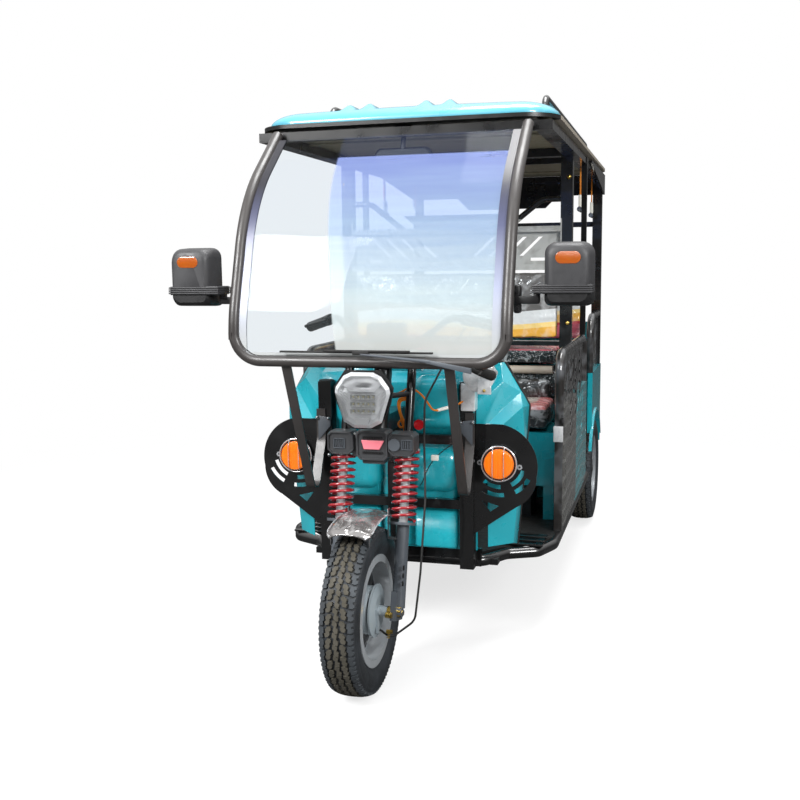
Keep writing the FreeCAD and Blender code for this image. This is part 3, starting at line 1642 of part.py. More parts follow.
def rear_hood():
    """Dark hood round the top of the rear, over its open window."""
    x1 = rear_post_x + post_size / 2 + hood_stand_off
    x0 = x1 - hood_sheet
    y1 = rear_post_y + post_size / 2 + hood_stand_off
    top = cabin_frame_top
    low = top - hood_drop
    dip = top - hood_dip
    slope_x = x1 - hood_shoulder
    dip_x = slope_x - hood_slope
    y0 = side_panel_rear_y + 40
    side = side_plate([(y0, top - 12), (y0, top), (y1, top), (y1, low)], x0, x1)
    rear = plate(
        [
            (-x1, top), (x1, top), (x1, low), (slope_x, low), (dip_x, dip), (-dip_x, dip), (-slope_x, low),
            (-x1, low),
        ],
        y1 - hood_sheet, y1,
    )
    shelf = box(-x1, x1, rear_post_y + post_size / 2 - 10, y1, top - 4, top)
    ledge = box(rear_post_x, x1, y0 + 10, y1, top - 4, top)
    frame_room = [
        box(
            0, rear_post_x + post_size / 2 + seat_gap, y0, rear_post_y + post_size / 2 + seat_gap, 0,
            top + 1,
        ),
    ]
    rooms = frame_room + [mirrored(frame_room[0])]
    return without(fused([side, mirrored(side), rear, shelf, ledge, mirrored(ledge)]), rooms)


# Roof


def roof_plan(inset, corner):
    """Roof outline from above, with a bowed front and rounded corners."""
    half = roof_half_width - inset
    front = roof_front_y + inset
    rear = roof_rear_y - inset
    side_front = front + roof_bow
    outline = [
        Part.Arc(Vector(-half, side_front, 0), Vector(0, front, 0), Vector(half, side_front, 0)).toShape(),
        Part.LineSegment(Vector(half, side_front, 0), Vector(half, rear, 0)).toShape(),
        Part.LineSegment(Vector(half, rear, 0), Vector(-half, rear, 0)).toShape(),
        Part.LineSegment(Vector(-half, rear, 0), Vector(-half, side_front, 0)).toShape(),
    ]
    block = Part.Face(Part.Wire(outline)).extrude(Vector(0, 0, 10))
    uprights = [e for e in block.Edges if e.BoundBox.ZLength > 9]
    rounded = block.makeFillet(corner, uprights)
    bottom = min(rounded.Faces, key=lambda face: face.CenterOfMass.z)
    return Part.Face(bottom.OuterWire)


def roof_crown(rise, inset):
    """Crowned block that gives the roof's outside or inside."""
    half = roof_half_width - inset + 10
    z = roof_edge_z
    below = z - 60
    side = z + roof_side_height
    across_edges = [
        Part.Arc(Vector(-half, 0, side), Vector(0, 0, z + rise), Vector(half, 0, side)).toShape(),
        Part.LineSegment(Vector(half, 0, side), Vector(half, 0, below)).toShape(),
        Part.LineSegment(Vector(half, 0, below), Vector(-half, 0, below)).toShape(),
        Part.LineSegment(Vector(-half, 0, below), Vector(-half, 0, side)).toShape(),
    ]
    across = Part.Face(Part.Wire(across_edges))
    across.translate(Vector(0, roof_front_y - 50, 0))
    across = across.extrude(Vector(0, roof_rear_y - roof_front_y + 100, 0))
    front = roof_front_y + inset - cut_margin
    rear = roof_rear_y - inset + cut_margin
    crest = z + rise + 2
    mid_z = z + rise * 0.72
    slope = roof_end_slope
    along_edges = [
        Part.Arc(
            Vector(0, front, z + 8), Vector(0, front + slope * 0.37, mid_z), Vector(0, front + slope, crest),
        ).toShape(),
        Part.LineSegment(Vector(0, front + slope, crest), Vector(0, rear - slope, crest)).toShape(),
        Part.Arc(
            Vector(0, rear - slope, crest), Vector(0, rear - slope * 0.37, mid_z), Vector(0, rear, z + 8),
        ).toShape(),
        Part.LineSegment(Vector(0, rear, z + 8), Vector(0, rear, below)).toShape(),
        Part.LineSegment(Vector(0, rear, below), Vector(0, front, below)).toShape(),
        Part.LineSegment(Vector(0, front, below), Vector(0, front, z + 8)).toShape(),
    ]
    along = Part.Face(Part.Wire(along_edges))
    along.translate(Vector(-roof_half_width - 20, 0, 0))
    along = along.extrude(Vector(2 * roof_half_width + 40, 0, 0))
    plan = roof_plan(inset, roof_corner_radius)
    plan.translate(Vector(0, 0, z))
    plan = plan.extrude(Vector(0, 0, rise + 60))
    return across.common(along).common(plan)


def roof_height(x):
    """Height of the roof's crown above a place across it."""
    half = roof_half_width + 10
    return roof_edge_z + roof_rise - (roof_rise - roof_side_height) * (x / half) ** 2


def roof_panel():
    """Hollow crowned roof with four raised ribs along it."""
    shell = roof_crown(roof_rise, 0.0).cut(roof_crown(roof_rise - roof_wall, roof_wall + 12))
    ribs = []
    for x in (-rib_outer_x, -rib_inner_x, rib_inner_x, rib_outer_x):
        start = Vector(x, roof_front_y + rib_front, roof_height(x) - rib_radius * 0.5)
        end = Vector(x, roof_rear_y - rib_rear, roof_height(x) - rib_radius * 0.5)
        bar = fused(
            [
                rod(start, end, rib_radius), Part.makeSphere(rib_radius, start),
                Part.makeSphere(rib_radius, end),
            ],
        )
        ribs.append(bar.cut(roof_crown(roof_rise - roof_wall / 2, roof_wall / 2)))
    return fused([shell] + ribs)


def roof_trim():
    """Dark edge round the roof, standing out into a peak at the front."""
    height = trim_height - seat_gap
    outer = roof_plan(-trim_reach, trim_width).extrude(Vector(0, 0, height))
    peak = outer.copy()
    peak.translate(Vector(0, -trim_peak, 0))
    wide = 2 * roof_half_width
    ahead = box(-wide, wide, roof_front_y - 200, roof_rear_y - 100, -10, height + 10)
    inner = roof_plan(trim_width, roof_corner_radius - trim_width).extrude(Vector(0, 0, height + 10))
    ring = outer.fuse(peak.common(ahead)).removeSplitter().cut(inner)
    ring.translate(Vector(0, 0, roof_under_z))
    return ring


def roof_rack():
    """Luggage rail on the roof: two side rails, cross rails and posts."""
    r = rack_tube_radius
    x = rack_half_width
    top = roof_edge_z + rack_rise - r
    rear = roof_rear_y - 40
    foot = roof_edge_z + roof_side_height
    side = bent_tube(
        [
            Vector(x, rack_front_y - 60, foot), Vector(x, rack_front_y, top), Vector(x, rear, top),
            Vector(x, rear + 10, foot),
        ],
        [50.0, 50.0], r,
    )
    pieces = pair(side)
    length = rear - rack_front_y
    stations = [rack_front_y + 40 + i * (length - 100) / 4 for i in range(5)]
    for y in (stations[0], stations[2], stations[4]):
        pieces.append(rod(Vector(-x, y, top - 26), Vector(x, y, top - 26), r - 2))
    for y in stations:
        for side_x in (-x, x):
            pieces.append(rod(Vector(side_x, y, foot), Vector(side_x, y, top), r - 2))
    for side_x in (-x, x):
        low = top - rack_rail_drop
        pieces.append(rod(Vector(side_x, rack_front_y - 30, low), Vector(side_x, rear, low), r - 3))
    return fused(pieces).cut(roof_crown(roof_rise + 0.02, 0.0))


def hand_straps():
    """Hanging grab straps below the roof rails."""
    straps = []
    x = cabin_post_x
    top = cabin_frame_top - rail_size - seat_gap
    sheet = grab_strap_sheet / 2
    width = grab_strap_width / 2
    z = grab_strap_z
    for y in (grab_strap_y, grab_strap_y + grab_strap_spacing):
        band = box(x - sheet, x + sheet, y - width, y + width, z + 10, top)
        handle = rod(
            Vector(x, y - grab_handle_half, z), Vector(x, y + grab_handle_half, z), grab_handle_radius,
        )
        straps += pair(fused([band, handle]))
    return straps


# Under-body


def rear_axle():
    inner = rear_wheel_x - rear_hub_length / 2 - 12
    z = wheel_z
    y = rear_axle_y
    tube = rod(Vector(-inner, y, z), Vector(inner, y, z), axle_tube_radius)
    shaft_end = rear_wheel_x + rear_hub_length / 2 + 4
    shaft = rod(Vector(-shaft_end, y, z), Vector(shaft_end, y, z), rear_shaft_radius)
    case = Part.makeSphere(axle_case_radius, Vector(axle_case_x, y, z))
    cover = rod(Vector(axle_case_x - 40, y, z), Vector(axle_case_x + 40, y, z), axle_case_radius + 4)
    flanges = [rod(Vector(side * (inner - 8), y, z), Vector(side * inner, y, z), 50.0) for side in (-1, 1)]
    half = leaf_width / 2 + 4
    pads = [
        box(x - half, x + half, y - 34, y + 34, z + 15, z + axle_tube_radius + axle_pad_height)
        for x in (-rail_x, rail_x)
    ]
    return fused([tube, shaft, case, cover] + flanges + pads)


def leaf_springs():
    """Arched leaf stacks from the rails' brackets over the axle pads."""
    springs = []
    base = wheel_z + axle_tube_radius + axle_pad_height + seat_gap
    y = rear_axle_y
    sheet = leaf_thickness
    for x in (-rail_x, rail_x):
        leaves = []
        for i in range(3):
            span = leaf_reach - i * leaf_step
            z = base + (2 - i) * sheet
            lift = leaf_camber * (span / leaf_reach) ** 2
            ends = z + lift
            outline = [
                Part.Arc(Vector(x, y - span, ends), Vector(x, y, z), Vector(x, y + span, ends)).toShape(),
                Part.LineSegment(Vector(x, y + span, ends), Vector(x, y + span, ends + sheet)).toShape(),
                Part.Arc(
                    Vector(x, y + span, ends + sheet), Vector(x, y, z + sheet),
                    Vector(x, y - span, ends + sheet),
                ).toShape(),
                Part.LineSegment(Vector(x, y - span, ends + sheet), Vector(x, y - span, ends)).toShape(),
            ]
            leaf = Part.Face(Part.Wire(outline)).extrude(Vector(leaf_width, 0, 0))
            leaf.translate(Vector(-leaf_width / 2, 0, 0))
            leaves.append(leaf)
        top = rear_frame_top - rail_height - seat_gap
        half = rail_width / 2 - 2
        for side in (-1, 1):
            end = y + side * (leaf_reach - 12)
            leaves.append(box(x - half, x + half, end - 12, end + 12, base + 2 * sheet + leaf_camber, top))
        springs.append(fused(leaves))
    return springs


def drive_motor():
    """Traction motor beside the axle case, one plain drum."""
    y = rear_axle_y - 20
    z = wheel_z + 12
    end = axle_case_x - 40 - 1
    motor = rod(Vector(end - motor_length, y, z), Vector(end, y, z), motor_radius)
    reach = 2.6 * motor_length
    axle_room = rod(
        Vector(-reach, rear_axle_y, wheel_z), Vector(reach, rear_axle_y, wheel_z), axle_tube_radius + seat_gap
    )
    case_room = Part.makeSphere(axle_case_radius + seat_gap, Vector(axle_case_x, rear_axle_y, wheel_z))
    return without(motor, [axle_room, case_room])


def battery_pack():
    half = seat_half - battery_side_gap
    return box(
        -half, half, driver_seat_front_y + battery_front_gap, driver_seat_back_y - battery_rear_gap,
        floor_top + seat_gap, battery_top,
    )


def rear_bumper():
    y = bumper_rear - bumper_radius
    z = bumper_z
    wall = rear_wall_y + seat_gap
    tube = bent_tube(
        [
            Vector(-bumper_half, wall, z), Vector(-bumper_half, y, z), Vector(bumper_half, y, z),
            Vector(bumper_half, wall, z),
        ],
        [34.0, 34.0], bumper_radius,
    )
    stays = [box(x - 12, x + 12, wall, y, z + 15, z + 35) for x in (-rail_x, rail_x)]
    half_plate = tow_plate_thickness / 2
    tow = box(-30, 30, y - half_plate, y + half_plate, z - tow_eye_drop - 22, z)
    eye = rod(Vector(0, y - 40, z - tow_eye_drop), Vector(0, y + 40, z - tow_eye_drop), tow_eye_radius)
    return fused([tube, tow] + stays).cut(eye)


# Write every node


def build():
    os.makedirs("parts", exist_ok=True)
    front_wheel()
    rear_wheels()
    fork_legs()
    brake_plate()
    save("brake_cable", [brake_cable()])
    fork_springs()
    fork_yoke()
    handlebar()
    instrument_pod()
    headlight()
    fork_trim()
    save("front_mudguard", [front_mudguard()])
    save("chassis_frame", [chassis_frame()])
    save("floor_pan", [floor_pan()])
    save("front_cowl", [front_cowl()])
    save("ear_plates", pair(ear_plate()))
    save("indicator_lamps", pair(indicator_lamp()))
    save("windscreen_frame", [windscreen_frame()])
    save("windscreen_glass", [windscreen_glass()])
    save("wiper", [wiper()])
    save("mirrors", pair(side_mirror()) + [interior_mirror()])
    save("seat_boxes", seat_boxes())
    save("driver_cushions", driver_cushions())
    save("passenger_cushions", passenger_cushions())
    save("battery_pack", [battery_pack()])
    save("cabin_frame", [cabin_frame()])
    save("side_panels", side_panels())
    save("side_guards", side_guards())
    save("rear_quarters", rear_quarters())
    save("rear_panel", [rear_panel()])
    save("tail_lamps", tail_lamps())
    save("rear_hood", [rear_hood()])
    save("roof_panel", [roof_panel()])
    save("roof_trim", [roof_trim()])
    save("roof_rack", [roof_rack()])
    save("hand_straps", hand_straps())
    save("rear_axle", [rear_axle()])
    save("leaf_springs", leaf_springs())
    save("drive_motor", [drive_motor()])
    save("rear_bumper", [rear_bumper()])


build()
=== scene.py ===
"""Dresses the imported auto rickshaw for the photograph's view.

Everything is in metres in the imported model's own frame: the front faces -Y, +X is the
vehicle's left, +Z is up and the ground is at Z 0.
"""

import logging
import math
from collections.abc import Iterable, Sequence
from dataclasses import dataclass, field
from enum import Enum

import bmesh
import bpy
import numpy as np
from bmesh.types import BMEdge, BMesh, BMVert
from mathutils import Matrix, Vector, noise


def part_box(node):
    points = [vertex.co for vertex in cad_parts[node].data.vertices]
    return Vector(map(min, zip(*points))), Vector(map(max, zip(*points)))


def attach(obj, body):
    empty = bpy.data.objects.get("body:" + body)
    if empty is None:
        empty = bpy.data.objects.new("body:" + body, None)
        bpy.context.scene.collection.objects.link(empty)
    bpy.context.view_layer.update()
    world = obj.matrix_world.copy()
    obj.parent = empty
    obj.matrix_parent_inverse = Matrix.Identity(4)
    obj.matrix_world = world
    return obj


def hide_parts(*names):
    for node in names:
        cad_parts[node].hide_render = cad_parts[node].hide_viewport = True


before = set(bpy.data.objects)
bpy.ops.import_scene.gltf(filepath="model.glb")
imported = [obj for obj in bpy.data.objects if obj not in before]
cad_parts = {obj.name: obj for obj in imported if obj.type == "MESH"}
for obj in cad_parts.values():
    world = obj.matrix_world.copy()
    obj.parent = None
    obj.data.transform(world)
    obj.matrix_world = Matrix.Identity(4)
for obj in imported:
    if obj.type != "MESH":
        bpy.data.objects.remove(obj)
log = logging.getLogger("auto_rickshaw")

Colour = tuple[float, float, float, float]
Tree = bpy.types.NodeTree
Socket = bpy.types.NodeSocket
Node = bpy.types.Node
MM = 0.001
SENSOR_WIDTH = 36.0
CLOTH_FRAMES = 20


# Shader helpers


def linear(code: str, alpha: float = 1.0) -> Colour:
    """Turns an sRGB hex colour into the linear values that shaders take.

    Args:
        code: Colour as "#RRGGBB".
        alpha: Opacity, passed through.

    Returns:
        Red, green, blue and alpha.
    """
    parts = [int(code[i:i + 2], 16) / 255 for i in (1, 3, 5)]
    red, green, blue = [p / 12.92 if p <= 0.04045 else ((p + 0.055) / 1.055) ** 2.4 for p in parts]
    return (red, green, blue, alpha)


def add_node(tree: Tree, kind: str, inputs: dict | None = None, **settings: object) -> Node:
    """Adds a shader node, sets it up and links it.

    Args:
        tree: Node tree that gets the node.
        kind: Blender's identifier of the node.
        inputs: Input names or numbers with a constant or the socket that feeds them.
        **settings: The node's own properties.

    Returns:
        The new node.
    """
    made = tree.nodes.new(kind)
    for name, value in settings.items():
        setattr(made, name, value)
    for key, value in (inputs or {}).items():
        if isinstance(value, Socket):
            tree.links.new(value, made.inputs[key])
        else:
            made.inputs[key].default_value = value
    return made


def colour_ramp(tree: Tree, level: Socket, stops: Sequence[tuple[float, str]],
                interpolation: str = "LINEAR") -> Socket:
    """Turns a level into colours.

    Args:
        tree: Nodes of the material.
        level: Level between 0 and 1.
        stops: Positions with their hex colours, from 0 upwards.
        interpolation: How colours change between stops.

    Returns:
        The colour at that level.
    """
    made = add_node(tree, "ShaderNodeValToRGB", {"Fac": level})
    ramp = made.color_ramp
    ramp.interpolation = interpolation
    ramp.elements.remove(ramp.elements[1])
    ramp.elements[0].position = stops[0][0]
    ramp.elements[0].color = linear(stops[0][1])
    for position, code in stops[1:]:
        ramp.elements.new(position).color = linear(code)
    return made.outputs["Color"]


def per_metre(size_mm: float) -> float:
    """Texture scale that gives a pattern its real size in millimetres.

    Args:
        size_mm: Real size of one unit of the pattern.

    Returns:
        The scale.
    """
    return 1000.0 / size_mm


@dataclass(frozen=True)
class Finish:
    """A real material and how its surface was made."""

    name: str
    colour: str
    roughness: float
    metallic: float = 0.0
    coat: float = 0.0
    coat_roughness: float = 0.03

    def material(self) -> bpy.types.Material:
        """Builds the material once and returns it.

        Returns:
            The material, which is the same one for every caller.
        """
        made = bpy.data.materials.get(self.name)
        if made is None:
            made = bpy.data.materials.new(self.name)
            made.use_nodes = True
            tree = made.node_tree
            tree.nodes.clear()
            place = add_node(tree, "ShaderNodeTexCoord").outputs["Object"]
            surface = self.surface(tree, place)
            add_node(tree, "ShaderNodeOutputMaterial", {"Surface": surface})
        return made

    def surface(self, tree: Tree, place: Socket) -> Socket:
        """Makes the shader.

        Args:
            tree: The material's nodes.
            place: Object coordinates in metres.

        Returns:
            The shader's output.
        """
        shader = add_node(tree, "ShaderNodeBsdfPrincipled", {
            "Base Color": linear(self.colour), "Roughness": self.roughness, "Metallic": self.metallic,
            "Coat Weight": self.coat, "Coat Roughness": self.coat_roughness,
        })
        self.dress(tree, place, shader)
        return shader.outputs["BSDF"]

    def dress(self, tree: Tree, place: Socket, shader: Node) -> None:
        """Adds the surface's pattern; a plain finish has none.

        Args:
            tree: The material's nodes.
            place: Object coordinates in metres.
            shader: Shader that gets the pattern.
        """

    def mottle(self, tree: Tree, place: Socket, shader: Node, other: str, size_mm: float,
               share: float) -> None:
        """Lets the colour drift towards another one in soft patches.

        Args:
            tree: The material's nodes.
            place: Object coordinates.
            shader: Shader whose colour drifts.
            other: The second colour.
            size_mm: Size of a patch.
            share: How far the colour may drift, 0 to 1.
        """
        cloud = add_node(tree, "ShaderNodeTexNoise", {
            "Vector": place, "Scale": per_metre(size_mm), "Detail": 5.0, "Roughness": 0.6,
        })
        amount = add_node(tree, "ShaderNodeMapRange", {
            "Value": cloud.outputs["Fac"], "From Min": 0.35, "From Max": 0.7, "To Max": share,
        })
        blend = add_node(tree, "ShaderNodeMix", {
            "Factor": amount.outputs["Result"], "A": linear(self.colour), "B": linear(other),
        }, data_type="RGBA")
        tree.links.new(blend.outputs["Result"], shader.inputs["Base Color"])

    def relief(self, tree: Tree, place: Socket, shader: Node, size_mm: float, height_mm: float,
               socket: str = "Normal",
               detail: float = 2.0) -> None:
        """Gives the surface a fine relief.

        Args:
            tree: The material's nodes.
            place: Coordinates of the pattern.
            shader: Shader that gets the relief.
            size_mm: Size of one grain.
            height_mm: Height of the relief.
            socket: "Normal" or "Coat Normal".
            detail: Octaves of the noise.
        """
        grain = add_node(tree, "ShaderNodeTexNoise", {
            "Vector": place, "Scale": per_metre(size_mm), "Detail": detail,
        })
        bump = add_node(tree, "ShaderNodeBump", {
            "Height": grain.outputs["Fac"], "Distance": height_mm * MM, "Strength": 1.0,
        })
        tree.links.new(bump.outputs["Normal"], shader.inputs[socket])

    def uneven(self, tree: Tree, place: Socket, shader: Node, size_mm: float, low: float,
               high: float) -> None:
        """Varies the roughness between two values in patches of the given size.

        Args:
            tree: The material's nodes.
            place: Object coordinates in metres.
            shader: Shader whose roughness varies.
            size_mm: Size of a patch.
            low: Lowest roughness.
            high: Highest roughness.
        """
        cloud = add_node(tree, "ShaderNodeTexNoise",
                         {"Vector": place, "Scale": per_metre(size_mm), "Detail": 4.0})
        amount = add_node(tree, "ShaderNodeMapRange", {
            "Value": cloud.outputs["Fac"], "From Min": 0.3, "From Max": 0.7, "To Min": low, "To Max": high,
        })
        tree.links.new(amount.outputs["Result"], shader.inputs["Roughness"])


def crinkle(tree: Tree, place: Socket, size_mm: float) -> Socket:
    """Pattern of creases in wrapping film.

    Args:
        tree: Nodes of the material.
        place: Coordinates in metres.
        size_mm: Usual distance between two creases.

    Returns:
        Height of the film, with sharp ridges, 0 to about 1.
    """
    warp = add_node(tree, "ShaderNodeTexNoise",
                    {"Vector": place, "Scale": per_metre(size_mm * 2), "Detail": 3.0})
    moved = add_node(tree, "ShaderNodeMix", {
        "Factor": 0.12, "A": place, "B": warp.outputs["Color"],
    }, data_type="VECTOR")
    folds = add_node(tree, "ShaderNodeTexVoronoi", {
        "Vector": moved.outputs["Result"], "Scale": per_metre(size_mm), "Detail": 1.0, "Roughness": 0.45,
        "Lacunarity": 2.3,
    }, feature="F1", distance="EUCLIDEAN")
    return folds.outputs["Distance"]


def sag(tree: Tree, place: Socket, size_mm: float) -> Socket:
    """Pattern of level ripples in film that hangs on an upright sheet.

    Args:
        tree: Nodes of the material.
        place: Coordinates in metres.
        size_mm: Height of one ripple.

    Returns:
        Height of the film, 0 to 1.
    """
    return add_node(tree, "ShaderNodeTexWave", {
        "Vector": place, "Scale": per_metre(size_mm) * math.pi / 10, "Distortion": 5.0, "Detail": 2.0,
        "Detail Scale": 0.7,
    }, wave_type="BANDS", bands_direction="Z").outputs["Fac"]


@dataclass(frozen=True)
class Paint(Finish):
    """Sprayed enamel: a thin orange peel under a clear gloss."""

    shade: str = ""
    peel_mm: float = 4.0
    peel_height_mm: float = 0.012
    drift: float = 0.35

    def dress(self, tree: Tree, place: Socket, shader: Node) -> None:
        """Adds drift of colour, uneven gloss and orange peel.

        Args:
            tree: The material's nodes.
            place: Object coordinates in metres.
            shader: Shader that gets the pattern.
        """
        if self.shade:
            self.mottle(tree, place, shader, self.shade, 260.0, self.drift)
        self.uneven(tree, place, shader, 60.0, self.roughness * 0.8, min(1.0, self.roughness * 1.35))
        self.relief(tree, place, shader, self.peel_mm, self.peel_height_mm)
        if self.coat:
            self.relief(tree, place, shader, self.peel_mm, self.peel_height_mm, "Coat Normal")


@dataclass(frozen=True)
class Moulded(Finish):
    """Injection-moulded plastic or rubber with a fine grain from the tool."""

    shade: str = ""
    grain_mm: float = 1.6
    grain_height_mm: float = 0.05

    def dress(self, tree: Tree, place: Socket, shader: Node) -> None:
        """Adds the tool's grain and handling marks.

        Args:
            tree: The material's nodes.
            place: Object coordinates in metres.
            shader: Shader that gets the pattern.
        """
        if self.shade:
            self.mottle(tree, place, shader, self.shade, 90.0, 0.5)
        self.uneven(tree, place, shader, 25.0, self.roughness * 0.85, min(1.0, self.roughness * 1.2))
        self.relief(tree, place, shader, self.grain_mm, self.grain_height_mm)


@dataclass(frozen=True)
class Metal(Finish):
    """Bare or plated metal, with the marks of casting, brushing or plating."""

    metallic: float = 1.0
    shade: str = ""
    grain_mm: float = 3.0
    grain_height_mm: float = 0.02
    stretch: tuple[float, float, float] = (1.0, 1.0, 1.0)

    def dress(self, tree: Tree, place: Socket, shader: Node) -> None:
        """Adds uneven polish and the direction of the marks.

        Args:
            tree: The material's nodes.
            place: Object coordinates in metres.
            shader: Shader that gets the pattern.
        """
        lined = add_node(tree, "ShaderNodeMapping",
                         {"Vector": place, "Scale": self.stretch}).outputs["Vector"]
        if self.shade:
            self.mottle(tree, place, shader, self.shade, 30.0, 0.6)
        self.uneven(tree, lined, shader, 12.0, self.roughness * 0.7, min(1.0, self.roughness * 1.4))
        self.relief(tree, lined, shader, self.grain_mm, self.grain_height_mm)


class FilmLie(Enum):
    """How wrapping film lies on what it covers."""

    CRINKLED = "crinkled"
    SAGGING = "sagging"


@dataclass(frozen=True)
class Filmed(Finish):
    """A surface still in its wrapping film: a crinkled clear layer that catches hard lights."""

    shade: str = ""
    crease_mm: float = 45.0
    crease_height_mm: float = 3.0
    # The haze colour also paints the highlights on the crease ridges.
    haze: str = "#B9BEC2"
    haze_and_highlight_share: float = 0.22
    haze_and_highlight_from: float = 0.45
    lie: FilmLie = FilmLie.CRINKLED
    coat: float = 1.0
    coat_roughness: float = 0.05

    def dress(self, tree: Tree, place: Socket, shader: Node) -> None:
        """Adds the creases to the clear layer and a pale haze along them, which is partly a painted highlight
        on the crease ridges.

        Args:
            tree: The material's nodes.
            place: Object coordinates in metres.
            shader: Shader that gets the pattern.
        """
        height = (sag if self.lie is FilmLie.SAGGING else crinkle)(tree, place, self.crease_mm)
        bump = add_node(tree, "ShaderNodeBump", {
            "Height": height, "Distance": self.crease_height_mm * MM, "Strength": 1.0,
        })
        tree.links.new(bump.outputs["Normal"], shader.inputs["Coat Normal"])
        soft = add_node(tree, "ShaderNodeBump", {
            "Height": height, "Distance": self.crease_height_mm * MM * 0.3, "Strength": 1.0,
        })
        tree.links.new(soft.outputs["Normal"], shader.inputs["Normal"])
        # Whitening along the crease ridges: partly haze in the film, partly a painted highlight.
        haze_and_highlight_amount = add_node(tree, "ShaderNodeMapRange", {
            "Value": height, "From Min": self.haze_and_highlight_from, "From Max": self.haze_and_highlight_from + 0.4,
            "To Max": self.haze_and_highlight_share,
        })
        blend = add_node(tree, "ShaderNodeMix", {
            "Factor": haze_and_highlight_amount.outputs["Result"], "A": self.under(tree, place), "B": linear(self.haze),
        }, data_type="RGBA")
        tree.links.new(blend.outputs["Result"], shader.inputs["Base Color"])

    def under(self, tree: Tree, place: Socket) -> Socket | Colour:
        """Colour below the film.

        Args:
            tree: The material's nodes.
            place: Object coordinates in metres.

        Returns:
            The colour below the film.
        """
        if not self.shade:
            return linear(self.colour)
        cloud = add_node(tree, "ShaderNodeTexNoise",
                         {"Vector": place, "Scale": per_metre(150.0), "Detail": 4.0})
        blend = add_node(tree, "ShaderNodeMix", {
            "Factor": cloud.outputs["Fac"], "A": linear(self.colour), "B": linear(self.shade),
        }, data_type="RGBA")
        return blend.outputs["Result"]


@dataclass(frozen=True)
class StripedCover(Filmed):
    """Seat cover in bands of colour one above the other, under wrapping film."""

    bands: tuple[tuple[float, str], ...] = ()
    wave: float = 0.012

    def under(self, tree: Tree, place: Socket) -> Socket:
        """Bands by height, with a slow wave along the seat.

        Args:
            tree: The material's nodes.
            place: Object coordinates in metres.

        Returns:
            The colour below the film.
        """
        parts = add_node(tree, "ShaderNodeSeparateXYZ", {"Vector": place})
        phase = add_node(tree, "ShaderNodeMath", {0: parts.outputs["X"], 1: 9.0}, operation="MULTIPLY")
        swing = add_node(tree, "ShaderNodeMath", {0: phase.outputs[0]}, operation="SINE")
        lift = add_node(tree, "ShaderNodeMath", {
            0: swing.outputs[0], 1: self.wave, 2: parts.outputs["Z"],
        }, operation="MULTIPLY_ADD")
        low, high = self.bands[0][0], self.bands[-1][0]
        level = add_node(tree, "ShaderNodeMapRange",
                         {"Value": lift.outputs[0], "From Min": low, "From Max": high})
        stops = [((z - low) / (high - low), code) for z, code in self.bands]
        return colour_ramp(tree, level.outputs["Result"], stops, "CONSTANT")


@dataclass(frozen=True)
class Clear(Finish):
    """Clear moulded lens: light passes almost straight through, with gloss on its face."""

    gloss: float = 0.12

    def surface(self, tree: Tree, place: Socket) -> Socket:
        """Mixes clear and gloss by the angle of view.

        Args:
            tree: The material's nodes.
            place: Object coordinates in metres.

        Returns:
            The shader's output.
        """
        through = add_node(tree, "ShaderNodeBsdfTransparent", {"Color": linear(self.colour)})
        ripple = add_node(tree, "ShaderNodeTexNoise",
                          {"Vector": place, "Scale": per_metre(9.0), "Detail": 1.0})
        bump = add_node(tree, "ShaderNodeBump", {"Height": ripple.outputs["Fac"], "Distance": 0.12 * MM})
        shine = add_node(tree, "ShaderNodeBsdfGlossy",
                         {"Roughness": self.roughness, "Normal": bump.outputs["Normal"]})
        edge = add_node(tree, "ShaderNodeFresnel", {"IOR": 1.5, "Normal": bump.outputs["Normal"]})
        share = add_node(tree, "ShaderNodeMath", {0: edge.outputs["Fac"], 1: self.gloss}, operation="ADD")
        share.use_clamp = True
        return add_node(tree, "ShaderNodeMixShader", {
            "Fac": share.outputs[0], 1: through.outputs[0], 2: shine.outputs[0],
        }).outputs[0]


@dataclass(frozen=True)
class ColouredLens(Finish):
    """Moulded signal lens with vertical flutes on its inside."""

    # Strength of the painted glow, an emission though no lamp is lit.
    glow: float = 0.12
    flute_mm: float = 5.0
    coat: float = 1.0

    def dress(self, tree: Tree, place: Socket, shader: Node) -> None:
        """Adds flutes and a painted glow: a faint emission that stands in for the light a lens gathers from
        its reflector.

        Args:
            tree: The material's nodes.
            place: Object coordinates in metres.
            shader: Shader that gets the pattern.
        """
        bands = add_node(tree, "ShaderNodeTexWave", {
            "Vector": place, "Scale": per_metre(self.flute_mm) * math.pi / 10, "Distortion": 0.0,
        }, wave_type="BANDS", bands_direction="X")
        bump = add_node(tree, "ShaderNodeBump", {"Height": bands.outputs["Fac"], "Distance": 0.5 * MM})
        tree.links.new(bump.outputs["Normal"], shader.inputs["Normal"])
        shader.inputs["Emission Color"].default_value = linear(self.colour)
        shader.inputs["Emission Strength"].default_value = self.glow
        shader.inputs["Subsurface Weight"].default_value = 0.2
        shader.inputs["Subsurface Radius"].default_value = (0.01, 0.004, 0.001)


